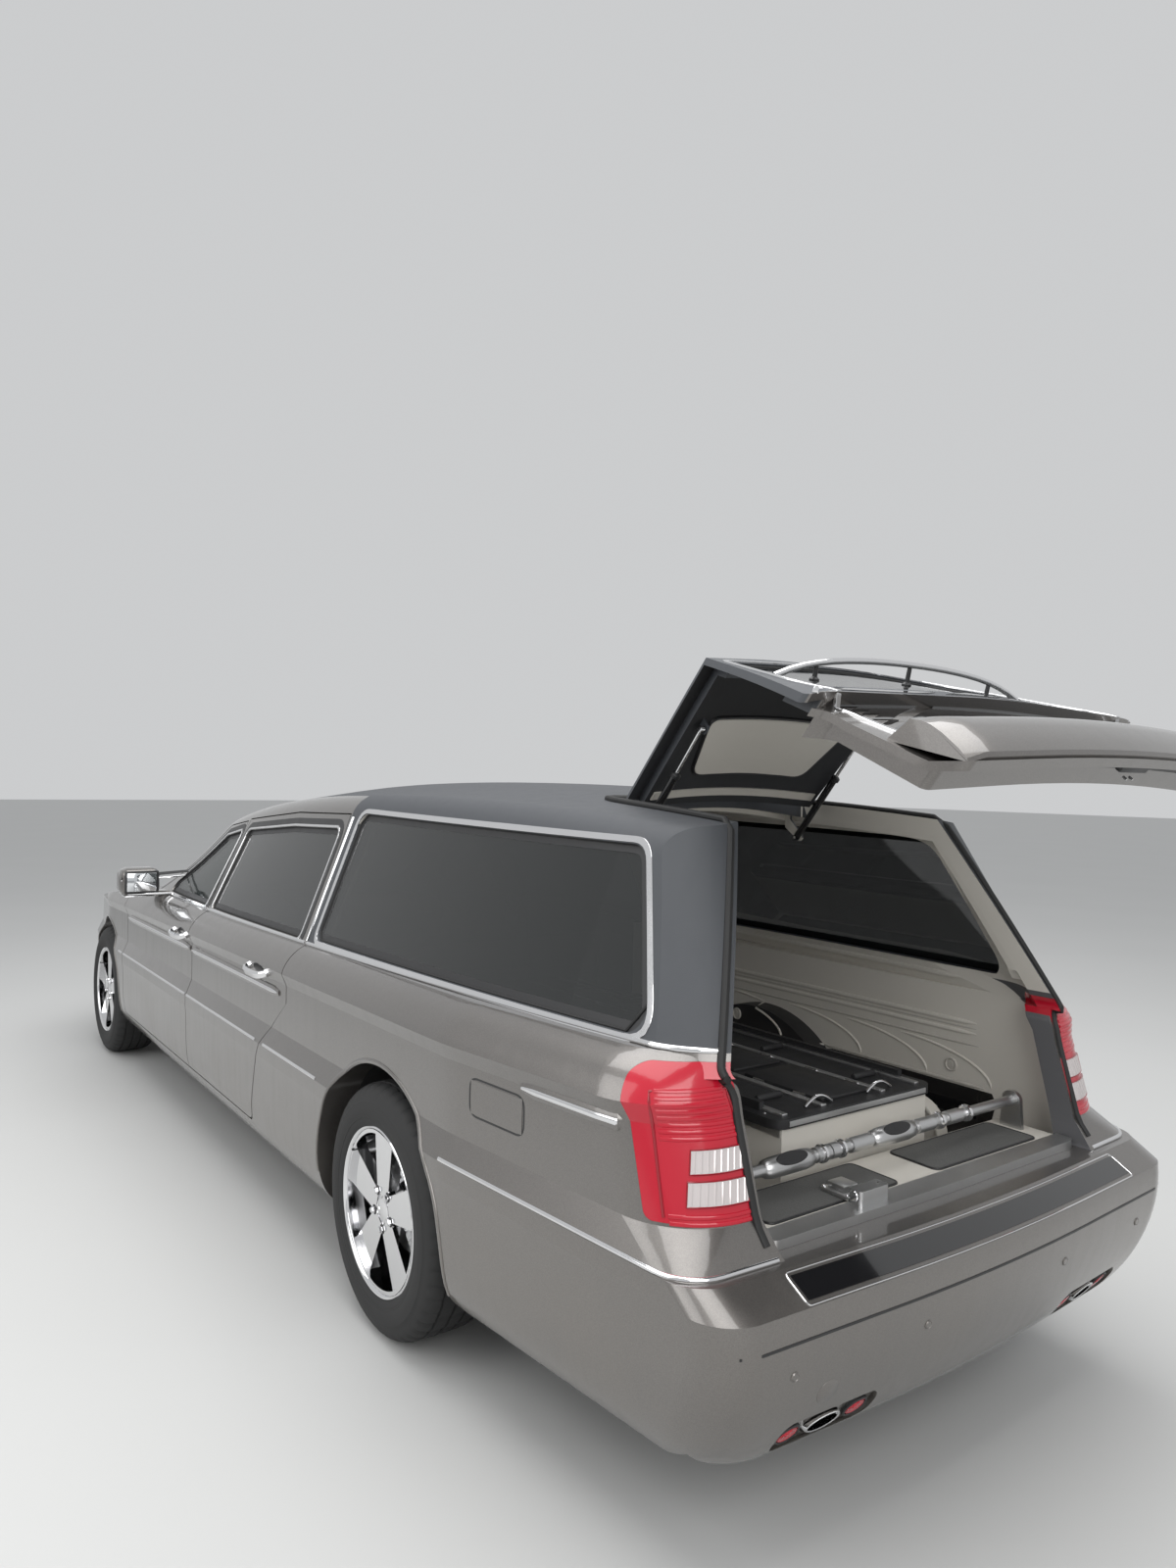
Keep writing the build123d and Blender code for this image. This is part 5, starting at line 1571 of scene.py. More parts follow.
    def latch(self) -> None:
        """Pull recess and latch hooks in the tailgate's lower edge."""
        place = self.skin.rear(0.0, 0.690)[0]
        low = Vector((place.x - 0.020, -0.055, self.lip_low - 0.001))
        high = Vector((place.x + 0.012, 0.055, self.lip_low + 0.014))
        self.swung(cuboid(low, high, 0.004), "tailgate_pull", Look.black_satin)
        hook = gather(tube([Vector((place.x + 0.026, y, self.lip_low + rise)) for rise in (0.006, -0.004)],
                           0.003, 8) for y in (-0.012, 0.012))
        self.swung(hook, "tailgate_latch", Look.satin_alloy)

    def strut_details(self) -> None:
        """Collars on the gas struts."""
        low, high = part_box("strut_tubes")
        for side, sign in SIDES:
            tube_end = Vector((low[0], 0.325 * sign, high[2]))
            pin = Vector((high[0] - 0.009, 0.325 * sign, low[2] + 0.009))
            way = (tube_end - pin).normalized()
            collar = lathe([(0.0112, -0.012), (0.0135, -0.010), (0.0135, 0.0), (0.009, 0.004),
                            (0.0056, 0.005)], pin + way * 0.252, way, 24)
            collar.piece(f"strut_collar_{side}", Look.black_satin, "strut_tubes", "black_steel")


@dataclass
class LoadSpace:
    """Fittings of the load space: wall mouldings, dark band, lamps, carpets, tube, bier and brackets."""

    arch_centre: Pair = (0.520, 0.600)
    arch_radius: float = 0.098
    tube_place: Pair = (0.262, 0.738)
    bier_top: float = 0.800
    band_low: float = 0.508
    band_high: float = 0.690

    def build(self) -> None:
        """Build the fittings."""
        self.walls = Skin("cargo_lining", "body_side_left", "body_side_right", "roof", "floor_pan")
        self.floor = Skin("load_deck", "threshold")
        for side, sign in SIDES:
            self.wall(side, sign)
            self.dark_band(side, sign)
            self.plugs(side, sign)
            self.ring_lamp(side, sign)
            self.arch(side, sign)
        self.ceiling()
        self.carpets()
        self.loading_tube()
        self.stop_block()
        self.bier()

    def wall_caster(self, sign: int) -> Caster:
        """Caster from the space's middle to a wall."""
        return lambda u, z: self.walls.hit(at(u, 0.50 * sign, z), Vector((0, sign, 0)))

    def wall(self, side: str, sign: int) -> None:
        """Ledges, grooves and pressed arcs of a wall.

        Args:
            side: Name of the side.
            sign: 1 for left and -1 for right.
        """
        caster = self.wall_caster(sign)
        # The thin strip between the two groove ribs and the low ledge are in the darker lining: painted
        # shade in the groove and under the ledge.
        rows = [
            ("ledge_top", 0.54, 2.19, 1.030, 0.022, 0.006, Look.lining),
            ("groove_high", 0.48, 2.19, 0.893, 0.016, 0.0065, Look.lining),
            ("groove_shade_line", 0.48, 2.19, 0.876, 0.007, 0.0014, Look.lining_shade),
            ("groove_low", 0.48, 2.19, 0.860, 0.014, 0.0055, Look.lining),
            ("ledge_low", 0.47, 2.19, 0.824, 0.007, 0.003, Look.lining_shade),
        ]
        for name, start, end, z, width, height, look in rows:
            line = [(u, z) for u in run(start, end, 0.05)]
            strip_on(line, caster, half_round(width, height), taper=0.3).piece(f"wall_{name}_{side}", look)
        arcs = Shape()
        for last in (0.425, 0.660, 0.930, 1.230, 1.560):
            line = []
            for t in run(0.06, math.pi / 2, 0.13):
                line.append((last + 0.36 * (1 - math.sin(t)), 0.812 - 0.108 * (1 - math.cos(t))))
            arcs.join(strip_on(line, caster, half_round(0.009, 0.0042), taper=0.3))
        arcs.piece(f"wall_arcs_{side}", Look.lining)
        # Painted shade along the top edge of the dark band, in the darker lining.
        seam = strip_on([(u, 0.697) for u in run(0.45, 2.19, 0.05)], caster, half_round(0.010, 0.004),
                        taper=0.5)
        seam.piece(f"wall_band_edge_{side}", Look.lining_shade)

    def dark_band(self, side: str, sign: int) -> None:
        """Glossy dark band low on a wall, cut slanting at its rear end.

        Args:
            side: Name of the side.
            sign: 1 for left and -1 for right.
        """
        caster = self.wall_caster(sign)
        lines: list[list[Pair]] = []
        for z in run(self.band_low, self.band_high, 0.026):
            start = 0.432 - 0.25 * max(0.0, z - 0.60) - 0.10 * max(0.0, min(0.60, z) - 0.508)
            if z > 0.672:
                start += 0.022
            lines.append([(start + (2.195 - start) * t, z) for t in run(0.0, 1.0, 0.02)])
        patch(lines, caster, 0.003).piece(f"dark_band_{side}", Look.black_gloss)
        for index, u in enumerate((0.62, 1.05, 1.48, 1.91)):
            profile = [(0.0, 0.0066), (0.0035, 0.0062), (0.0060, 0.0046), (0.0065, 0.0025)]
            studs(caster, [(u, 0.600)], profile, 16).piece(f"band_screw_{side}_{index}", Look.chrome)

    def plugs(self, side: str, sign: int) -> None:
        """Round plugs in a wall.

        Args:
            side: Name of the side.
            sign: 1 for left and -1 for right.
        """
        profile = [(0.0, 0.0035), (0.009, 0.0035), (0.011, 0.0016), (0.016, 0.0016), (0.018, 0.0056),
                   (0.021, 0.0046), (0.023, -0.001)]
        for index, u in enumerate((0.568, 1.463, 2.05)):
            plug = studs(self.wall_caster(sign), [(u, 0.748)], profile, 28)
            plug.piece(f"wall_plug_{side}_{index}", Look.lining_shade)

    def ring_lamp(self, side: str, sign: int) -> None:
        """Round lamp with a bright ring high on the rear pillar's lining.

        Args:
            side: Name of the side.
            sign: 1 for left and -1 for right.
        """
        start = at(1.05, 0.0, 1.26)
        found = self.walls.hit(start, at(0.775, 0.50 * sign, 1.405) - start)
        if found is None:
            return
        place, normal = found
        profile = [(0.015, 0.004), (0.017, 0.008), (0.024, 0.007), (0.027, 0.003), (0.028, -0.003)]
        lathe(profile, place, normal, 32).piece(f"ring_lamp_{side}", Look.black_satin)
        lens = lathe([(0.0, 0.0060), (0.008, 0.0056), (0.0150, 0.0040), (0.0155, 0.001)], place, normal, 28)
        lens.piece(f"ring_lamp_lens_{side}", Look.satin_alloy)

    def ceiling(self) -> None:
        """Seams and a long framed lamp on the headlining."""
        # The seams are strips of the darker lining: painted shade along them.
        seams = Shape()
        for u in (1.02, 1.42, 1.82, 2.17):
            line = [(u, y) for y in run(-0.56, 0.56, 0.04)]
            seams.join(strip_on(line, self.ceiling_at, half_round(0.008, 0.0028), taper=0.3))
        for y in (-0.36, 0.36):
            line = [(u, y) for u in run(1.02, 2.17, 0.05)]
            seams.join(strip_on(line, self.ceiling_at, half_round(0.006, 0.0022)))
        seams.piece("ceiling_seams", Look.lining_shade)
        rows = grid(run(1.20, 1.64, 0.05), run(-0.035, 0.035, 0.0175))
        patch(rows, self.ceiling_at, 0.006).piece("ceiling_lamp", Look.white_lamp)
        loop = rect(1.185, -0.05, 1.655, 0.05, 0.02, 0.04)
        strip_on(loop, self.ceiling_at, half_round(0.018, 0.009), True).piece(
            "ceiling_lamp_frame", Look.lining_shade)

    def ceiling_at(self, u: float, y: float) -> Hit:
        """Headlining over a place."""
        return self.walls.hit(at(u, y, 1.30), Vector((0, 0, 1)))

    def carpets(self) -> None:
        """Carpets let into the threshold and along both sides of the plinth."""
        rows = [("left", 0.166, 0.318, 0.075, 0.520), ("right", 0.166, 0.318, -0.520, -0.075)]
        for name, first, last, low, high in rows:
            places = [at(u, y, 0.6600) for u, y in rect(first, low, last, high, 0.02, 0.1)]
            slab(places, Vector((0, 0, 1)), 0.0035, 0.002).piece(
                f"carpet_threshold_{name}", Look.carpet_grey)
            edge = [point + Vector((0, 0, 0.0015)) for point in places]
            ups = [Vector((0, 0, 1))] * len(edge)
            sweep(edge, ups, half_round(0.006, 0.0035), True).piece(
                f"carpet_binding_{name}", Look.black_satin)
        for side, sign in SIDES:
            low, high = sorted((0.300 * sign, 0.424 * sign))
            outline = [(0.345, low), (2.190, low), (2.190, high), (0.345, high)]
            slab([at(u, y, 0.500) for u, y in outline], Vector((0, 0, 1)), 0.004, 0.002).piece(
                f"carpet_deck_{side}", Look.carpet)
            edge_line = [at(u, 0.2855 * sign, 0.762) for u in run(0.365, 2.20, 0.1)]
            ups = [Vector((0, sign, 0))] * len(edge_line)
            sweep(edge_line, ups, flat_bar(0.018, 0.003)).piece(f"plinth_edge_{side}", Look.satin_alloy)

    def loading_tube(self) -> None:
        """Cast sleeves, rings and dark grip pads on the tube behind the bier."""
        u, z = self.tube_place
        axis = Vector((0, 1, 0))
        sleeves = Shape()
        for low, high in ((-0.300, -0.240), (-0.180, -0.110), (0.075, 0.150), (0.225, 0.275)):
            length = high - low
            profile = [(0.0145, 0.0), (0.0185, 0.002), (0.0185, length - 0.002), (0.0145, length)]
            sleeves.join(lathe(profile, at(u, low, z), axis, 28))
        for low, high in ((0.285, 0.450), (-0.100, 0.065)):
            length = high - low
            profile = [(0.0145, 0.0), (0.021, 0.006), (0.0245, 0.030), (0.0245, length - 0.030),
                       (0.021, length - 0.006), (0.0145, length)]
            sleeves.join(lathe(profile, at(u, low, z), axis, 32))
        sleeves.piece("tube_sleeves", Look.satin_alloy, sharp=40.0)
        profile = [(0.0185, -0.006), (0.0225, -0.004), (0.0225, 0.004), (0.0185, 0.006)]
        rings = gather(lathe(profile, at(u, y, z), axis, 28) for y in (-0.330, -0.210, 0.183, 0.250))
        rings.piece("tube_rings", Look.chrome, sharp=40.0)
        pads = Shape()
        way = Vector((-0.62, 0, 0.78)).normalized()
        beside = way.cross(axis).normalized()
        for y in (0.3675, -0.0175):
            centre = at(u, y, z) + way * 0.0225
            corners = [centre + axis * (0.052 * math.cos(t)) + beside * (0.0165 * math.sin(t))
                       for t in run(0, math.tau * 27 / 28, math.tau / 28)]
            pads.join(slab(corners, way, 0.0045, 0.003))
        pads.piece("tube_pads", Look.black_cast)

    def stop_block(self) -> None:
        """Polished roller of the stop on its foot, with a carrying arm towards the tube."""
        axis = Vector((0, 1, 0))
        place = at(0.128, 0.240, 0.6885)
        roller = lathe([(0.0, -0.052), (0.011, -0.052), (0.0140, -0.048), (0.0145, 0.048), (0.011, 0.052),
                        (0.0, 0.052)], place, axis, 32)
        roller.join(lathe([(0.0140, -0.037), (0.0152, -0.036), (0.0152, -0.030), (0.0140, -0.029)], place,
                          axis, 32))
        roller.piece("stop_roller", Look.chrome, sharp=40.0)
        arm = cuboid(at(0.150, 0.200, 0.664), at(0.238, 0.280, 0.674), 0.003)
        arm.join(cuboid(at(0.176, 0.214, 0.673), at(0.230, 0.266, 0.688), 0.005))
        arm.piece("stop_arm", Look.satin_alloy)
        profile = [(0.0, 0.004), (0.0035, 0.0036), (0.0052, 0.0018), (0.0055, -0.001)]
        bolts = gather(lathe(profile, at(u, y, 0.6738), Vector((0, 0, 1)), 12)
                       for u in (0.160, 0.232) for y in (0.208, 0.272))
        bolts.piece("stop_bolts", Look.chrome)

    def bier(self) -> None:
        """Rails, plates, hinges, rollers and pins on the bier board."""
        top = self.bier_top
        rails = gather(cuboid(at(0.372, y - 0.010, top - 0.002), at(2.170, y + 0.010, top + 0.007), 0.002)
                       for y in (-0.262, -0.118, 0.118, 0.262))
        rails.piece("bier_rails", Look.satin_alloy, "bier")
        plates = gather(cuboid(at(start, -0.095, top - 0.002), at(end, 0.095, top + 0.010), 0.004)
                        for start, end in ((0.400, 0.690), (0.730, 1.040), (1.640, 1.900)))
        plates.piece("bier_plates", Look.black_satin, "bier")
        profile = [(0.0, 0.0), (0.0048, 0.0), (0.0048, 0.044), (0.0, 0.044)]
        hinges = gather(lathe(profile, at(u - 0.022, y, top + 0.0062), Vector((1, 0, 0)), 14)
                        for u in (0.470, 0.620, 0.800, 0.970, 1.700, 1.840) for y in (-0.104, 0.104))
        hinges.piece("bier_hinges", Look.chrome, "bier")
        profile = [(0.0, -0.044), (0.008, -0.044), (0.0095, -0.041), (0.0095, 0.041), (0.008, 0.044),
                   (0.0, 0.044)]
        rollers = gather(lathe(profile, at(u, y, top + 0.0068), Vector((0, 1, 0)), 18)
                         for u in (0.500, 0.860, 1.220, 1.580, 1.940) for y in (-0.190, 0.190))
        rollers.piece("bier_rollers", Look.black_cast, "bier")
        profile = [(0.0, 0.0026), (0.0040, 0.0020), (0.0052, -0.0004)]
        screws = gather(lathe(profile, at(u, y, top), Vector((0, 0, 1)), 10)
                        for u in run(0.420, 2.130, 0.19) for y in (-0.286, 0.286))
        screws.piece("bier_screws", Look.chrome, "bier")
        ends = [at(0.3495, y, 0.788) for y in (-0.27, 0.27)]
        edge = sweep(ends, [Vector((-1, 0, 0))] * 2, flat_bar(0.014, 0.002, 0.001))
        edge.piece("bier_end_strip", Look.satin_alloy, "bier")
        grips = Shape()
        for y in (-0.120, 0.120):
            path = [at(0.390, y + t, top + 0.004 + 0.022 * math.sin(math.pi * (t + 0.05) / 0.10))
                    for t in run(-0.050, 0.050, 0.0125)]
            grips.join(tube(path, 0.0045, 10))
        grips.piece("bier_grips", Look.chrome, "bier", sharp=50.0)

    def arch(self, side: str, sign: int) -> None:
        """Rim, dark slot and hook of the half-round upright.

        Args:
            side: Name of the side.
            sign: 1 for left and -1 for right.
        """
        centre_u, centre_z = self.arch_centre
        for name, y, way in (("in", 0.430, -1), ("out", 0.470, 1)):
            normal = Vector((0, way * sign, 0))
            reach = self.arch_radius
            path = [at(centre_u - reach, y * sign, 0.510)]
            path += [at(centre_u - reach * math.cos(t), y * sign, centre_z + reach * math.sin(t))
                     for t in run(0, math.pi, math.pi / 20)]
            path.append(at(centre_u + reach, y * sign, 0.510))
            sweep(path, [normal] * len(path), half_round(0.014, 0.004)).piece(
                f"arch_rim_{name}_{side}", Look.lining)
            corners = [at(centre_u + 0.030 * math.cos(t), y * sign, centre_z + 0.010 + 0.052 * math.sin(t))
                       for t in run(0, math.tau * 23 / 24, math.tau / 24)]
            slab(corners, normal, 0.0025, 0.001).piece(f"arch_slot_{name}_{side}", Look.black_cast)
        hook = [at(centre_u, 0.420 * sign, centre_z - 0.030 + 0.07 * t) for t in run(0, 1, 0.2)]
        tube(hook, 0.006, 10).piece(f"arch_hook_{side}", Look.satin_alloy)


@dataclass
class Wheels:
    """Treaded tyres and the small parts of the four wheels."""

    steps: int = 240
    pitch: float = 0.0575
    width: float = 0.245
    grooves: Pair = (0.066, 0.022)
    groove_width: float = 0.009
    groove_depth: float = 0.007
    groove_slope: float = 0.0015
    shoulder_cut: float = 0.0048
    fine_cut: float = 0.0028

    def build(self) -> None:
        """Dress each wheel."""
        tread = self.tread()
        for place in ("front", "rear"):
            for side, sign in SIDES:
                low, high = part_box(f"tyre_{place}_{side}")
                middle = (Vector(low) + Vector(high)) / 2
                self.wheel(f"{place}_{side}", middle, sign, tread)

    def wheel(self, name: str, middle: Vector, sign: int, tread: Shape) -> None:
        """Tyre, lip, cap, nuts and valve of one wheel.

        Args:
            name: Place and side, the end of the node's name.
            middle: Centre of the tyre.
            sign: 1 for left and -1 for right.
            tread: Tyre about its own centre, outer side to +Y.
        """
        body = f"wheel_{name}"
        turn = Matrix.Translation(middle) @ Matrix.Scale(sign, 4, Vector((0, 1, 0)))
        tyre = tread.moved(turn).piece(f"tread_{name}", Look.tyre, body, sharp=40)
        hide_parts(f"tyre_{name}")
        lip = [(0.2345, 0.8915), (0.2370, 0.8965), (0.2410, 0.8995), (0.2425, 0.9035), (0.2395, 0.9065),
               (0.2330, 0.9045), (0.2300, 0.8975), (0.2295, 0.8915)]
        self.turned(lip, middle, sign, 96).piece(f"rim_lip_{name}", Look.chrome, body, "rim_metal", 50)
        cap = [(0.0, 0.8880), (0.012, 0.8878), (0.024, 0.8866), (0.030, 0.8845), (0.0335, 0.8860),
               (0.0365, 0.8845), (0.0370, 0.8790)]
        self.turned(cap, middle, sign, 48).piece(f"centre_cap_{name}", Look.chrome, body, "rim_metal", 40)
        skin = Skin(f"rim_{name}")
        nuts = Shape()
        wells = Shape()
        for index in range(5):
            angle = math.tau * (index + 0.5) / 5 + math.pi / 2
            spot = middle + Vector((math.cos(angle), 0, math.sin(angle))) * self.pitch
            found = skin.hit(spot + Vector((0, sign * 0.5, 0)), Vector((0, -sign, 0)))
            if found is None:
                continue
            out = Vector((0, sign, 0))
            well = [(0.0145, -0.001), (0.0145, 0.0006), (0.0125, 0.0012), (0.0118, 0.0004)]
            wells.join(lathe(well, found[0], out, 20))
            nut = [(0.0105, -0.001), (0.0105, 0.004), (0.0094, 0.0055), (0.0088, 0.0105), (0.0072, 0.0125),
                   (0.0, 0.0130)]
            nuts.join(lathe(nut, found[0], out, 6))
        wells.piece(f"nut_seats_{name}", Look.dark_steel, body, "rim_metal")
        nuts.piece(f"wheel_nuts_{name}", Look.chrome, body, "rim_metal", 25)
        foot = middle + Vector((math.cos(0.6), 0, math.sin(0.6))) * 0.222
        foot.y = middle.y + sign * (0.880 - TYRE_Y)
        valve = [(0.0055, 0.0), (0.0042, 0.004), (0.0035, 0.014), (0.0040, 0.016), (0.0040, 0.023),
                 (0.0, 0.024)]
        lathe(valve, foot, Vector((0, sign, 0)), 12).piece(
            f"valve_{name}", Look.rubber, body, "tyre_rubber")
        self.disc(name, middle, sign)

    def turned(self, profile: Sequence[Pair], middle: Vector, sign: int, sides: int) -> Shape:
        """Ring about a wheel's axle, given by radius and distance from the car's middle.

        Args:
            profile: Radius and distance out of each point.
            middle: Centre of the wheel.
            sign: 1 for left and -1 for right.
            sides: Number of sides.

        Returns:
            The ring, closed where its profile is.
        """
        own = [(radius, out - TYRE_Y) for radius, out in profile]
        if own[0][0] > 1e-6:
            own.append(own[0])
        return lathe(own, middle, Vector((0, sign, 0)), sides)

    def disc(self, name: str, middle: Vector, sign: int) -> None:
        """Worn face of the brake disc behind the spokes."""
        face = [(0.1010, 0.8240), (0.1010, 0.8255), (0.1020, 0.8262), (0.1570, 0.8262), (0.1580, 0.8255),
                (0.1580, 0.8240)]
        self.turned(face, middle, sign, 72).piece(
            f"disc_face_{name}", Look.satin_alloy, f"wheel_{name}", "rim_metal")

    def section(self) -> list[Pair]:
        """Half cross-section of the tyre from the bead to the crown's middle.

        Returns:
            Distance from the middle plane and radius.
        """
        half = self.width / 2
        wall = [(0.0170, 0.2375), (0.0110, 0.2430), (0.0055, 0.2520), (0.0030, 0.2640), (0.0030, 0.2650),
                (0.0014, 0.2662), (0.0014, 0.2720), (0.0008, 0.2732), (0.0, 0.2940), (0.0020, 0.3100),
                (0.0022, 0.3112), (0.0034, 0.3124), (0.0070, 0.3255), (0.0120, 0.3375), (0.0190, 0.3475),
                (0.0285, 0.3545), (0.0400, 0.3595)]
        crown: list[Pair] = []
        for groove in self.grooves:
            outer = groove + self.groove_width / 2
            inner = groove - self.groove_width / 2
            floor = self.height(groove) - self.groove_depth
            crown += [(outer, self.height(outer)), (outer - self.groove_slope, floor),
                      (inner + self.groove_slope, floor), (inner, self.height(inner))]
        return [(half - inset, radius) for inset, radius in wall] + crown

    def height(self, across: float) -> float:
        """Radius of the crown at a distance from the middle plane."""
        return TYRE_RADIUS - 0.30 * across * across

    def tread(self) -> Shape:
        """Tyre with grooves round it, shoulder blocks and fine cuts.

        Returns:
            The tyre about its own centre, its outer side to +Y.
        """
        half = self.section()
        line = half + [(-across, radius) for across, radius in reversed(half)]
        line.append((-self.width / 2 + 0.0170, 0.2300))
        line.append((self.width / 2 - 0.0170, 0.2300))
        verts: Path = []
        for step in range(self.steps):
            angle = math.tau * step / self.steps
            for across, radius in line:
                cut = 0.0
                slant = step + round(abs(across) * 40)
                if abs(across) > 0.066 and radius > 0.345 and step % 5 == 0:
                    cut = self.shoulder_cut
                elif abs(across) < 0.064 and radius > 0.361 and slant % 8 == 0:
                    cut = self.fine_cut
                reach = radius - cut
                verts.append(Vector((reach * math.cos(angle), across, reach * math.sin(angle))))
        return Shape().take(verts, quads(self.steps, len(line), True))


@dataclass
class Front:
    """Grille, lamps, intake rim, blank plate, sensors, wipers and screen seal."""

    grille_half: Pair = (0.318, 0.362)
    lamp_radius: float = 0.046

    def build(self) -> None:
        """Build the trim of the nose."""
        self.bumper = Skin("front_bumper")
        self.lamps = Skin("headlamps")
        self.screen = Skin("windscreen")
        self.grille()
        self.lower_nose()
        for side, sign in SIDES:
            self.headlamp(side, sign)
            self.wiper(side, sign)
        self.screen_seal()

    def grille(self) -> None:
        """Bright surround, four bright bars and upright ribs."""
        caster = Skin("grille").front
        low, high = self.grille_half
        outline = rounded([(-low, 0.624, 0.024), (low, 0.624, 0.024), (high, 0.739, 0.030),
                           (-high, 0.739, 0.030)], 0.03)
        strip_on(outline, caster, flat_bar(0.018, 0.0045, 0.002, 0.45), True).piece(
            "grille_surround", Look.chrome)
        bars = Shape()
        for z in (0.6475 + index * 0.027 for index in range(4)):
            reach = low - 0.018 + (high - low) * (z - 0.624) / 0.115
            line = [(y, z) for y in run(-reach, reach, 0.06)]
            bars.join(strip_on(line, caster, flat_bar(0.007, 0.003, 0.001, 0.4)))
        bars.piece("grille_bars", Look.chrome)
        profile = flat_bar(0.0045, 0.008, 0.001, 0.4)
        ribs = gather(sweep([at(5.8835, y, 0.636), at(5.8835, y, 0.735)], [Vector((1, 0, 0))] * 2, profile)
                      for y in run(-0.28, 0.28, 0.035))
        ribs.piece("grille_ribs", Look.black_gloss)

    def lower_nose(self) -> None:
        """Intake rim, bright strip, blank plate, sensors and fog lamps."""
        caster = self.bumper.front
        outline = rounded([(-0.530, 0.321, 0.045), (0.530, 0.321, 0.045), (0.480, 0.459, 0.045),
                           (-0.480, 0.459, 0.045)], 0.035)
        strip_on(outline, caster, half_round(0.010, 0.004, 0.002, 4), True).piece(
            "intake_rim", Look.black_satin)
        line = [(y, 0.478) for y in run(-0.66, 0.66, 0.05)]
        strip_on(line, caster, half_round(0.012, 0.0045), taper=0.3).piece("bumper_chrome", Look.chrome)
        rows = grid(run(-0.260, 0.260, 0.04), run(0.494, 0.590, 0.016))
        patch(rows, caster, 0.0022).piece("front_plate_holder", Look.black_satin)
        rows = grid(run(-0.252, 0.252, 0.042), run(0.500, 0.584, 0.014))
        patch(rows, caster, 0.0040).piece("front_plate", Look.plate)
        places = [(-0.72, 0.430), (-0.38, 0.485), (0.38, 0.485), (0.72, 0.430)]
        cap = [(0.0, 0.0022), (0.0085, 0.0018), (0.0095, 0.0008), (0.011, 0.0008), (0.011, -0.002)]
        studs(caster, places, cap, 20).piece("front_sensors", Look.paint_outer)
        places = [(0.640, 0.385), (-0.640, 0.385)]
        ring = [(0.034, -0.006), (0.034, 0.0015), (0.0385, 0.004), (0.043, 0.0015), (0.043, -0.006)]
        studs(caster, places, ring, 32).piece("fog_rings", Look.chrome)
        glass = [(0.0, 0.0030), (0.018, 0.0024), (0.034, 0.0008), (0.034, -0.003)]
        studs(caster, places, glass, 32).piece("fog_lenses", Look.clear_lens)

    def headlamp(self, side: str, sign: int) -> None:
        """Bright rim, two round lamps and the amber corner of a headlamp.

        Args:
            side: Name of the side.
            sign: 1 for left and -1 for right.
        """
        def caster(y: float, z: float) -> Hit:
            """Meet the lamp from ahead."""
            return self.lamps.front(y * sign, z)

        outline = rounded([(0.446, 0.626, 0.026), (0.800, 0.640, 0.010), (0.800, 0.738, 0.010),
                           (0.455, 0.729, 0.026)], 0.025)
        places = [point for point in outline if caster(*point)]
        strip_on(places, caster, half_round(0.008, 0.003, 0.001, 4), len(places) == len(outline)).piece(
            f"headlamp_rim_{side}", Look.chrome)
        rings = Shape()
        lenses = Shape()
        bulbs = Shape()
        for y, z, radius in ((0.515, 0.680, self.lamp_radius), (0.632, 0.684, self.lamp_radius - 0.003)):
            found = caster(y, z)
            if found is None:
                continue
            place = found[0]
            way = Vector((1, 0, 0)).lerp(found[1], 0.75).normalized()
            ring = [(radius - 0.005, -0.012), (radius - 0.004, 0.0005), (radius, 0.0040),
                    (radius + 0.0045, 0.0020), (radius + 0.0055, -0.016)]
            rings.join(lathe(ring + [ring[0]], place, way, 44))
            dome = [(0.0, 0.0052), (radius * 0.4, 0.0046), (radius * 0.75, 0.0028),
                    (radius - 0.005, 0.0006), (radius - 0.005, -0.004)]
            lenses.join(lathe(dome, place, way, 44))
            for share in (0.35, 0.62, 0.86):
                reach = radius * share
                lift = 0.0050 - 0.0044 * share ** 2
                loop = [(reach - 0.0014, lift - 0.001), (reach, lift + 0.0010),
                        (reach + 0.0014, lift - 0.001)]
                bulbs.join(lathe(loop + [loop[0]], place, way, 40))
        rings.piece(f"headlamp_rings_{side}", Look.chrome)
        lenses.piece(f"headlamp_lenses_{side}", Look.clear_lens)
        bulbs.piece(f"headlamp_fluting_{side}", Look.lamp_body)
        rows = grid(run(0.705, 0.790, 0.012), run(0.650, 0.728, 0.011))
        rows = [row for row in rows if all(caster(*point) for point in row)]
        if len(rows) > 1:
            patch(rows, caster, 0.0020).piece(f"turn_lamp_{side}", Look.amber)
            heights = [row[0][1] for row in rows]
            flutes = gather(strip_on([(y, z) for z in heights], caster, half_round(0.0085, 0.0040, 0.0, 4))
                            for y in run(0.710, 0.786, 0.0095))
            flutes.piece(f"turn_flutes_{side}", Look.amber)

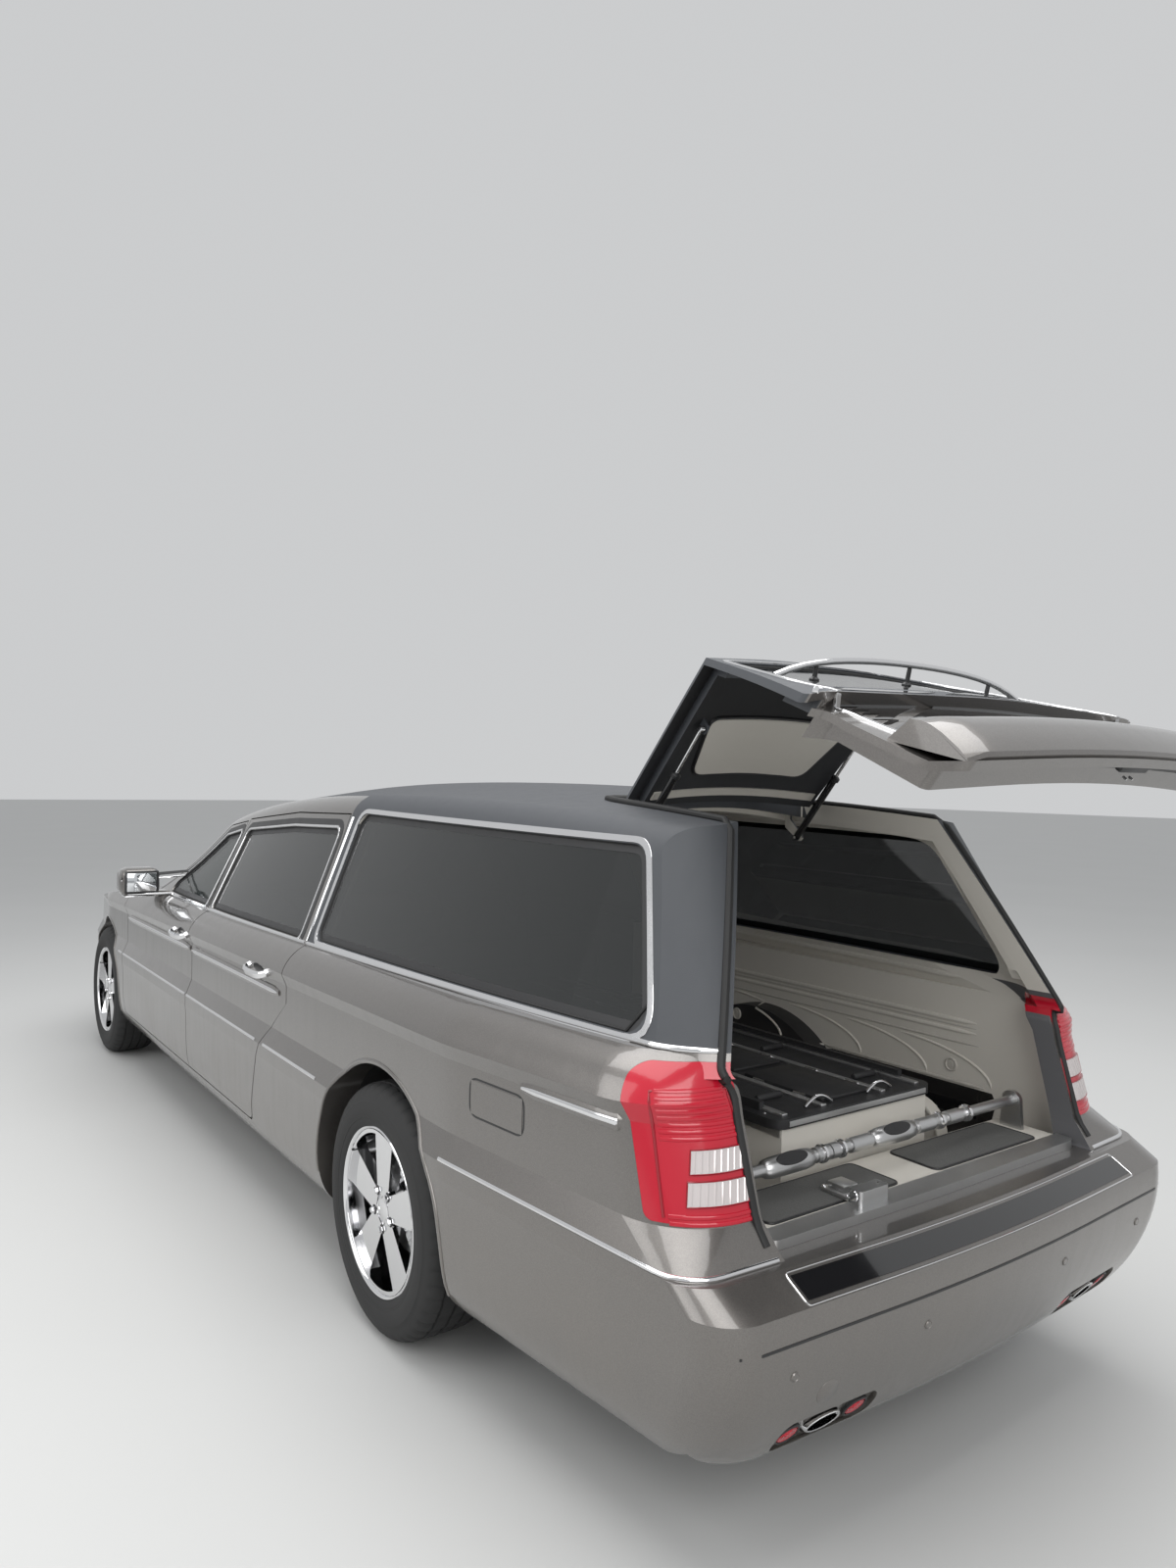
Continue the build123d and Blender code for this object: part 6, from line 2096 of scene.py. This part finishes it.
    def wiper(self, side: str, sign: int) -> None:
        """Wiper arm and blade at rest along the foot of the windscreen.

        Args:
            side: Name of the side.
            sign: 1 for left and -1 for right.
        """
        first = 0.060 if sign > 0 else 0.560
        line = [(first - step * 0.5, 1.046 + 0.006 * step) for step in run(0.0, 1.0, 0.1)]
        caster = self.screen.front
        places, normals = laid(line, caster)
        if len(places) < 4:
            return
        normals = smooth_normals(normals)
        blade = sweep(places, normals, [(0.0035, 0.004), (0.0045, 0.011), (0.0020, 0.014), (-0.0020, 0.014),
                                        (-0.0045, 0.011), (-0.0035, 0.004), (-0.0008, 0.0004),
                                        (0.0008, 0.0004)], False, 0.8)
        blade.piece(f"wiper_blade_{side}", Look.rubber)
        middle = len(places) // 2
        heel = places[-1] + normals[-1] * 0.010 + Vector((0.030, -0.060, -0.020))
        spine = [places[middle] + normals[middle] * 0.017, places[middle + 2] + normals[middle + 2] * 0.020]
        spine += [places[-2] + normals[-2] * 0.022, heel]
        arm = sweep(spine, [normals[middle]] * 4, flat_bar(0.011, 0.004, 0.003, 0.4), False, 0.7)
        arm.piece(f"wiper_arm_{side}", Look.black_satin)
        knob = [(0.013, -0.014), (0.013, 0.002), (0.010, 0.006), (0.0, 0.007)]
        lathe(knob, heel, normals[-1], 24).piece(f"wiper_knob_{side}", Look.black_satin)

    def screen_seal(self) -> None:
        """Black rubber round the windscreen."""
        caster = Skin("windscreen", "screen_frame", "cowl", "roof").front
        outline = rounded(two_sided([(0.632, 1.030, 0.055), (0.489, 1.386, 0.065)]), 0.04)
        strip_on(outline, caster, half_round(0.016, 0.003, 0.001, 4), True).piece(
            "screen_seal", Look.rubber)


@dataclass
class Pad:
    """One stuffed cushion, blown up as cloth and then sewn."""

    name: str
    outline: list[tuple[float, ...]]
    thick: float
    place: Vector
    tilt: float
    seams: tuple[float, ...]
    cross_seams: tuple[float, ...] = ()
    voxel: float = 0.011
    cap: float = 0.020
    pressure: float = 4.0
    frames: int = 20
    seam_width: float = 0.0065
    seam_depth: float = 0.008

    def frame(self) -> Matrix:
        """Turn and place of the cushion, its own x forward and z up."""
        return Matrix.Translation(self.place) @ Matrix.Rotation(self.tilt, 4, "Y")

    def build(self) -> Shape:
        """Make the cushion about the car's middle plane.

        Returns:
            The cushion in the frame.
        """
        half = self.thick / 2
        rings: Path = []
        line = rounded(self.outline, 0.05)
        middle = Vector((sum(a for a, _ in line) / len(line), sum(b for _, b in line) / len(line)))
        for lift, share in ((-half, 0.955), (-half * 0.6, 1.0), (half * 0.5, 1.0), (half, 0.940)):
            for a, b in line:
                spot = middle + (Vector((a, b)) - middle) * share
                rings.append(Vector((spot.x, spot.y, lift)))
        count = len(line)
        faces = [tuple(reversed(range(count))), tuple(range(3 * count, 4 * count))] + quads(4, count)
        mesh = bpy.data.meshes.new(self.name)
        mesh.from_pydata([tuple(v) for v in rings], [], faces)
        work = new_object(f"{self.name}_work", mesh)
        remesh = work.modifiers.new("even", "REMESH")
        remesh.mode = "VOXEL"
        remesh.voxel_size = self.voxel
        self.apply(work)
        self.blow(work)
        work.modifiers.new("fine", "SUBSURF").levels = 1
        self.apply(work)
        turn = self.frame()
        verts = [turn @ self.sewn(vert.co) for vert in work.data.vertices]
        shape = Shape().take(verts, [tuple(face.vertices) for face in work.data.polygons])
        bpy.data.objects.remove(work)
        return shape

    def apply(self, work: bpy.types.Object) -> None:
        """Bake what the modifiers show into the mesh.

        Args:
            work: Object to bake.
        """
        graph = bpy.context.evaluated_depsgraph_get()
        baked = bpy.data.meshes.new_from_object(work.evaluated_get(graph))
        work.modifiers.clear()
        work.data = baked

    def blow(self, work: bpy.types.Object) -> None:
        """Swell the cushion under pressure, no point going further than the cap.

        Args:
            work: Evenly meshed cushion.
        """
        scene = bpy.context.scene
        start = [vert.co.copy() for vert in work.data.vertices]
        cloth = work.modifiers.new("cloth", "CLOTH")
        cloth.settings.use_pressure = True
        cloth.settings.uniform_pressure_force = self.pressure
        cloth.settings.effector_weights.gravity = 0.0
        cloth.settings.quality = 5
        for number in range(self.frames):
            scene.frame_set(number + 1)
        self.apply(work)
        scene.frame_set(1)
        for vert, before in zip(work.data.vertices, start):
            step = vert.co - before
            if step.length > self.cap:
                vert.co = before + step.normalized() * self.cap

    def sewn(self, point: Vector) -> Vector:
        """Point drawn in where a seam or sewn channel runs.

        Args:
            point: Point of the cushion in its own frame.

        Returns:
            The point after sewing.
        """
        if point.z < 0:
            return point
        away = [abs(point.y) - seam for seam in self.seams]
        if abs(point.y) < min(self.seams):
            away += [point.x - seam for seam in self.cross_seams]
        depth = max(math.exp(-(distance / self.seam_width) ** 2) for distance in away)
        share = min(1.0, point.z / (self.thick * 0.35))
        return point - Vector((0, 0, self.seam_depth * depth * share))


@dataclass
class Cabin:
    """Cushioned seats, dashboard, steering wheel, pedals and door linings."""

    seat_side: float = 0.390
    rim_radius: float = 0.180

    def build(self) -> None:
        """Fit out the cabin."""
        self.front_seats()
        self.bench()
        self.dashboard()
        self.wheel()
        self.pedals()
        self.door_linings()

    def padded(self, shape: Shape, name: str) -> None:
        """Make one cushion and hide the CAD seats.

        Args:
            shape: The cushion.
            name: Name of the piece.
        """
        piece = shape.piece(name, Look.leather, sharp=60)
        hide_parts("seats")

    def front_seats(self) -> None:
        """Two front seats, the right one a copy of the left."""
        cushion = Pad("cushion", [(-0.215, -0.225, 0.05), (0.205, -0.235, 0.07), (0.205, 0.235, 0.07),
                                  (-0.215, 0.225, 0.05)], 0.100, at(3.390, 0, 0.517), math.radians(-4.2),
                      (0.150,), (-0.12, -0.04, 0.04, 0.12)).build()
        back = Pad("back", [(-0.245, -0.225, 0.07), (0.090, -0.230, 0.06), (0.180, -0.120, 0.05),
                            (0.290, -0.115, 0.05), (0.290, 0.115, 0.05), (0.180, 0.120, 0.05),
                            (0.090, 0.230, 0.06), (-0.245, 0.225, 0.07)], 0.085, at(3.070, 0, 0.790),
                   math.radians(-107.5), (0.150,), (-0.16, -0.08, 0.0, 0.08)).build()
        frame_part = cuboid(at(3.175, -0.205, 0.3005), at(3.545, 0.205, 0.470), 0.012)
        outline = rounded([(-0.215, 0.430, 0.05), (0.215, 0.430, 0.05), (0.205, 0.520, 0.04),
                           (-0.205, 0.520, 0.04)], 0.06)
        shell = slab([at(3.090, y, z) for y, z in outline], Vector((-1, 0, 0.28)).normalized(), 0.020,
                     0.006)
        for side, sign in SIDES:
            shift = Matrix.Translation(Vector((0, self.seat_side * sign, 0)))
            self.padded(cushion.moved(shift), f"seat_cushion_{side}")
            self.padded(back.moved(shift), f"seat_back_{side}")
            frame_part.moved(shift).piece(f"seat_frame_{side}", Look.black_cast, "car", "seat_leather")
            shell.moved(shift).piece(f"seat_hinge_{side}", Look.black_cast, "car", "seat_leather")
            outer = at(3.36, (self.seat_side + 0.222) * sign, 0.455)
            lever = tube([outer, outer + Vector((0.06, 0, 0.006)), outer + Vector((0.12, 0, 0.0))], 0.007,
                         10)
            lever.piece(f"seat_lever_{side}", Look.black_satin)

    def bench(self) -> None:
        """Rear bench with three places."""
        cushion = Pad("bench", [(-0.215, -0.620, 0.06), (0.205, -0.620, 0.07), (0.205, 0.620, 0.07),
                                (-0.215, 0.620, 0.06)], 0.100, at(2.610, 0, 0.517), math.radians(-4.2),
                      (0.20, 0.59), (-0.08, 0.08), 0.014).build()
        back = Pad("bench_back", [(-0.215, -0.620, 0.06), (0.215, -0.605, 0.09), (0.215, 0.605, 0.09),
                                  (-0.215, 0.620, 0.06)], 0.085, at(2.352, 0, 0.760), math.radians(-103.0),
                   (0.20, 0.59), (-0.05, 0.10), 0.014).build()
        self.padded(cushion, "bench_cushion")
        self.padded(back, "bench_back")
        base = cuboid(at(2.345, -0.600, 0.3005), at(2.765, 0.600, 0.470), 0.012)
        base.piece("bench_frame", Look.carpet, "car", "seat_leather")

    def dashboard(self) -> None:
        """Vents, instrument panel, screen, glove box line and knobs on the dashboard."""
        skin = Skin("dashboard")

        def caster(y: float, z: float) -> Hit:
            """Meet the dashboard from behind."""
            return skin.hit(at(3.0, y, z), Vector((1, 0, 0)))

        vents = Shape()
        slats = Shape()
        for y in (-0.60, -0.09, 0.09, 0.60):
            loop = rect(y - 0.055, 0.800, y + 0.055, 0.850, 0.012, 0.03)
            vents.join(strip_on(loop, caster, half_round(0.007, 0.004, 0.001, 4), True))
            for z in run(0.809, 0.841, 0.008):
                line = [(y + a, z) for a in run(-0.05, 0.05, 0.025)]
                slats.join(strip_on(line, caster, flat_bar(0.003, 0.004, 0.001)))
        vents.piece("vent_rims", Look.satin_alloy)
        slats.piece("vent_slats", Look.black_satin)
        rows = grid(run(-0.095, 0.095, 0.019), run(0.722, 0.786, 0.016))
        patch(rows, caster, 0.004).piece("dash_screen", Look.screen)
        rows = grid(run(0.255, 0.485, 0.023), run(0.800, 0.850, 0.0125))
        patch(rows, caster, 0.003).piece("instrument_panel", Look.screen)
        loop = rect(-0.56, 0.725, -0.18, 0.785, 0.02, 0.05)
        strip_on(loop, caster, flat_bar(0.004, 0.001, 0.001), True).piece(
            "glove_box_line", Look.black_gloss)
        knob = [(0.0, 0.012), (0.012, 0.011), (0.014, 0.008), (0.015, -0.002)]
        knobs = studs(caster, [(y, 0.706) for y in (-0.07, 0.0, 0.07)], knob, 20)
        knobs.piece("dash_knobs", Look.satin_alloy)

    def wheel(self) -> None:
        """Stitches round the rim and column stalks of the steering wheel."""
        low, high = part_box("steering_wheel")
        tilt = Matrix.Rotation(math.radians(-62), 3, "Y")
        hub = at(3.905, 0, 0.870)
        hub.y = ((Vector(low) + Vector(high)) / 2).y
        axis = (tilt @ Vector((0, 0, 1))).normalized()
        across = Vector((0, 1, 0))
        upward = axis.cross(across).normalized()
        stitches = Shape()
        for index in range(60):
            angle = math.tau * index / 60
            out = across * math.cos(angle) + upward * math.sin(angle)
            spot = hub + out * (self.rim_radius - 0.0148)
            stitches.join(tube([spot - axis * 0.004, spot + axis * 0.004], 0.0012, 5))
        stitches.piece("steering_stitches", Look.lining_shade, "car", "black_plastic")
        stalks = Shape()
        for sign in (1, -1):
            start = hub + axis * 0.075 + across * 0.03 * sign
            end = hub + axis * 0.060 + across * 0.150 * sign + upward * 0.02
            stalks.join(tube([start, start.lerp(end, 0.5), end], 0.0075, 10))
        stalks.piece("column_stalks", Look.black_satin)

    def pedals(self) -> None:
        """Arms and ribbed rubber pads of the two pedals."""
        arms = Shape()
        pads = Shape()
        for y, wide in ((0.330, 0.045), (0.430, 0.028)):
            foot = at(4.120, y, 0.420)
            arms.join(tube([foot, foot + Vector((0.05, 0, 0.11)), foot + Vector((0.035, 0, 0.235))], 0.007,
                           8))
            way = Vector((-0.86, 0, 0.5)).normalized()
            up = Vector((0.5, 0, 0.86))
            outline = rect(-wide, -0.04, wide, 0.04, 0.01, 0.05)
            corners = [foot + Vector((0, a, 0)) + up * b for a, b in outline]
            pads.join(slab(corners, way, 0.010, 0.003))
            for b in run(-0.027, 0.027, 0.0135):
                line = [foot + Vector((0, -wide * 0.8, 0)) + up * b + way * 0.010,
                        foot + Vector((0, wide * 0.8, 0)) + up * b + way * 0.010]
                pads.join(sweep(line, [way, way], half_round(0.005, 0.002, 0.001, 4)))
        arms.piece("pedal_arms", Look.dark_steel)
        pads.piece("pedal_pads", Look.rubber)

    def door_linings(self) -> None:
        """Armrest and pull handle inside each door."""
        for side, sign in SIDES:
            for place, u in (("front", 3.62), ("rear", 2.86)):
                skin = Skin(f"door_{place}_{side}")

                def caster(a: float, z: float) -> Hit:
                    """Meet the door from inside."""
                    return skin.hit(at(a, 0, z), Vector((0, sign, 0)))

                body = f"door_{place}_{side}"
                line = [(u + a, 0.760) for a in run(-0.24, 0.24, 0.06)]
                rest = strip_on(line, caster, half_round(0.055, 0.035), taper=0.6)
                rest.piece(f"armrest_{place}_{side}", Look.leather, body, "black_plastic")
                line = [(u + a, 0.850) for a in run(0.10, 0.20, 0.02)]
                pull = strip_on(line, caster, half_round(0.018, 0.014), taper=0.4)
                pull.piece(f"inner_handle_{place}_{side}", Look.satin_alloy, body)
                rows = grid([u + a for a in run(-0.22, 0.20, 0.06)], run(0.45, 0.60, 0.05))
                rows = [row for row in rows if all(caster(*point) for point in row)]
                if len(rows) > 1:
                    patch(rows, caster, 0.012).piece(f"door_pocket_{place}_{side}", Look.black_cast, body)


@dataclass
class Shell:
    """Finishes of the CAD solids that stay in sight."""

    def rows(self) -> list[tuple[Finish | GlassFinish, Sequence[str]]]:
        """Finish of each node.

        Returns:
            Pairs of a finish and its nodes.
        """
        doors, tyres, rims = ([f"{kind}_{place}_{side}" for place in ("front", "rear") for side, _ in SIDES]
                              for kind in ("door", "tyre", "rim"))
        return [
            (Look.paint, ("body_side_left", "body_side_right", "screen_frame", "cowl", "fenders", *doors)),
            (Look.paint_outer, ("front_bumper", "rear_bumper", "hood")),
            (Look.tail_paint, ("tailgate",)),
            (Look.vinyl, ("roof",)),
            (Look.black_gloss, ("grille",)),
            (Look.black_satin, ("dashboard", "steering_wheel")),
            (Look.dark_steel, ("floor_pan", "front_axle", "rear_axle")),
            (Look.cast_iron, ("knuckle_left", "knuckle_right", "engine")),
            (Look.exhaust_steel, ("exhaust",)),
            (Look.black_gloss, ("strut_tubes",)),
            (Look.chrome, ("strut_rods",)),
            (Look.lining, ("cargo_lining", "load_deck")),
            (Look.satin_alloy, ("threshold",)),
            (Look.bier_board, ("bier",)),
            (Look.leather, ("seats",)),
            (Look.tyre, tyres),
            (Look.chrome, rims),
            (TINTED, ("side_glass", "tailgate_glass", "door_glass_rear_left", "door_glass_rear_right")),
            (CLEAR, ("door_glass_front_left", "door_glass_front_right")),
            (SCREEN, ("windscreen",)),
            (Look.lamp_body, ("headlamps",)),
            (Look.red_lens, ("tail_lamps",)),
        ]

    def build(self) -> None:
        """Dress every node."""
        for finish, nodes in self.rows():
            for name in nodes:
                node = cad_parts[name]
                if node.material_slots:
                    for slot in node.material_slots:
                        slot.material = finish.material()
                else:
                    node.data.materials.append(finish.material())
                LOG.info("%s: %s", name, finish.name)


@dataclass
class Studio:
    """Pale floor, soft lights and the camera at the photograph's angle."""

    camera_place: tuple[float, float, float] = (-1.462, 2.204, 1.635)
    yaw: float = math.radians(-35.68)
    pitch: float = math.radians(-0.244)
    roll: float = math.radians(1.021)
    lens: float = 24.08
    floor_size: float = 120.0

    def build(self) -> None:
        """Build floor, lights, world and camera."""
        self.floor()
        self.world()
        self.lights()
        self.camera()
        bpy.context.scene.view_settings.view_transform = "Standard"

    def floor(self) -> None:
        """Plain pale floor."""
        half = self.floor_size / 2
        mesh = bpy.data.meshes.new("floor")
        corners = [(-half, -half, 0), (half, -half, 0), (half, half, 0), (-half, half, 0)]
        mesh.from_pydata(corners, [], [(0, 1, 2, 3)])
        material, kit, shader = blank_material("floor_pale")
        wear = group(kit, "SurfaceWear", {"Scale": 0.7})
        color = kit.mix(kit.math("MULTIPLY", wear.outputs["Blotch"], 0.25), (0.50, 0.50, 0.49),
                        (0.46, 0.46, 0.45))
        set_inputs(shader, {"Base Color": color, "Roughness": 0.8})
        mesh.materials.append(material)
        new_object("floor", mesh)

    def world(self) -> None:
        """Pale surroundings, lighter above."""
        world = bpy.data.worlds.new("studio")
        world.use_nodes = True
        bpy.context.scene.world = world
        kit = NodeKit(world.node_tree)
        back = world.node_tree.nodes["Background"]
        height = kit.add("SeparateXYZ", {0: kit.add("TexCoord").outputs["Generated"]}).outputs[2]
        sky = kit.mix(kit.ramp(height, -0.05, 0.35), (0.42, 0.43, 0.44), (0.95, 0.97, 1.0))
        path = kit.add("LightPath")
        plain = kit.math("MAXIMUM", path.outputs["Is Camera Ray"], path.outputs["Is Transmission Ray"])
        plain = kit.math("MAXIMUM", plain, path.outputs["Is Glossy Ray"])
        seen = kit.mix(plain, sky, (0.80, 0.81, 0.82))
        kit.tree.links.new(seen, back.inputs["Color"])
        back.inputs["Strength"].default_value = 0.75

    def lights(self) -> None:
        """Large soft lamps above and at the sides."""
        rows = [
            ("lamp_above", (1.5, 0.0, 6.5), (1.5, 0.0, 0.0), 7.0, 400.0),
            ("lamp_tail", (-4.5, 2.5, 4.0), (0.6, 0.2, 0.9), 4.0, 170.0),
            ("lamp_left", (2.5, 7.0, 4.5), (2.5, 0.0, 0.8), 6.0, 200.0),
        ]
        for name, place, aim, size, power in rows:
            data = bpy.data.lights.new(name, "AREA")
            data.size = size
            data.energy = power
            lamp = new_object(name, data)
            lamp.location = at(*place)
            lamp.rotation_euler = (at(*aim) - at(*place)).to_track_quat("-Z", "Y").to_euler()

    def camera(self) -> None:
        """Camera with the place and turn solved from the photograph."""
        cos_pitch = math.cos(self.pitch)
        forward = Vector((cos_pitch * math.cos(self.yaw), cos_pitch * math.sin(self.yaw),
                          math.sin(self.pitch)))
        right = forward.cross(Vector((0, 0, 1))).normalized()
        up = right.cross(forward)
        cos_roll, sin_roll = math.cos(self.roll), math.sin(self.roll)
        across = right * cos_roll + up * sin_roll
        upward = up * cos_roll - right * sin_roll
        matrix = Matrix((across, upward, -forward)).transposed().to_4x4()
        matrix.translation = at(*self.camera_place)
        data = bpy.data.cameras.new("camera")
        data.lens = self.lens
        data.sensor_width = 36.0
        data.clip_end = 200.0
        camera = new_object("camera", data)
        camera.matrix_world = matrix
        bpy.context.scene.camera = camera


def main() -> None:
    """Build the dressed car and its studio."""
    logging.basicConfig(level=logging.INFO, format="%(message)s")
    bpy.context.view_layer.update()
    for maker in (Studio(), Shell(), SideTrim(), RearEnd(), TailgateTrim(), LoadSpace(), Wheels(), Front(),
                  Cabin()):
        LOG.info("building %s", type(maker).__name__)
        maker.build()


if __name__ == "__main__":
    main()
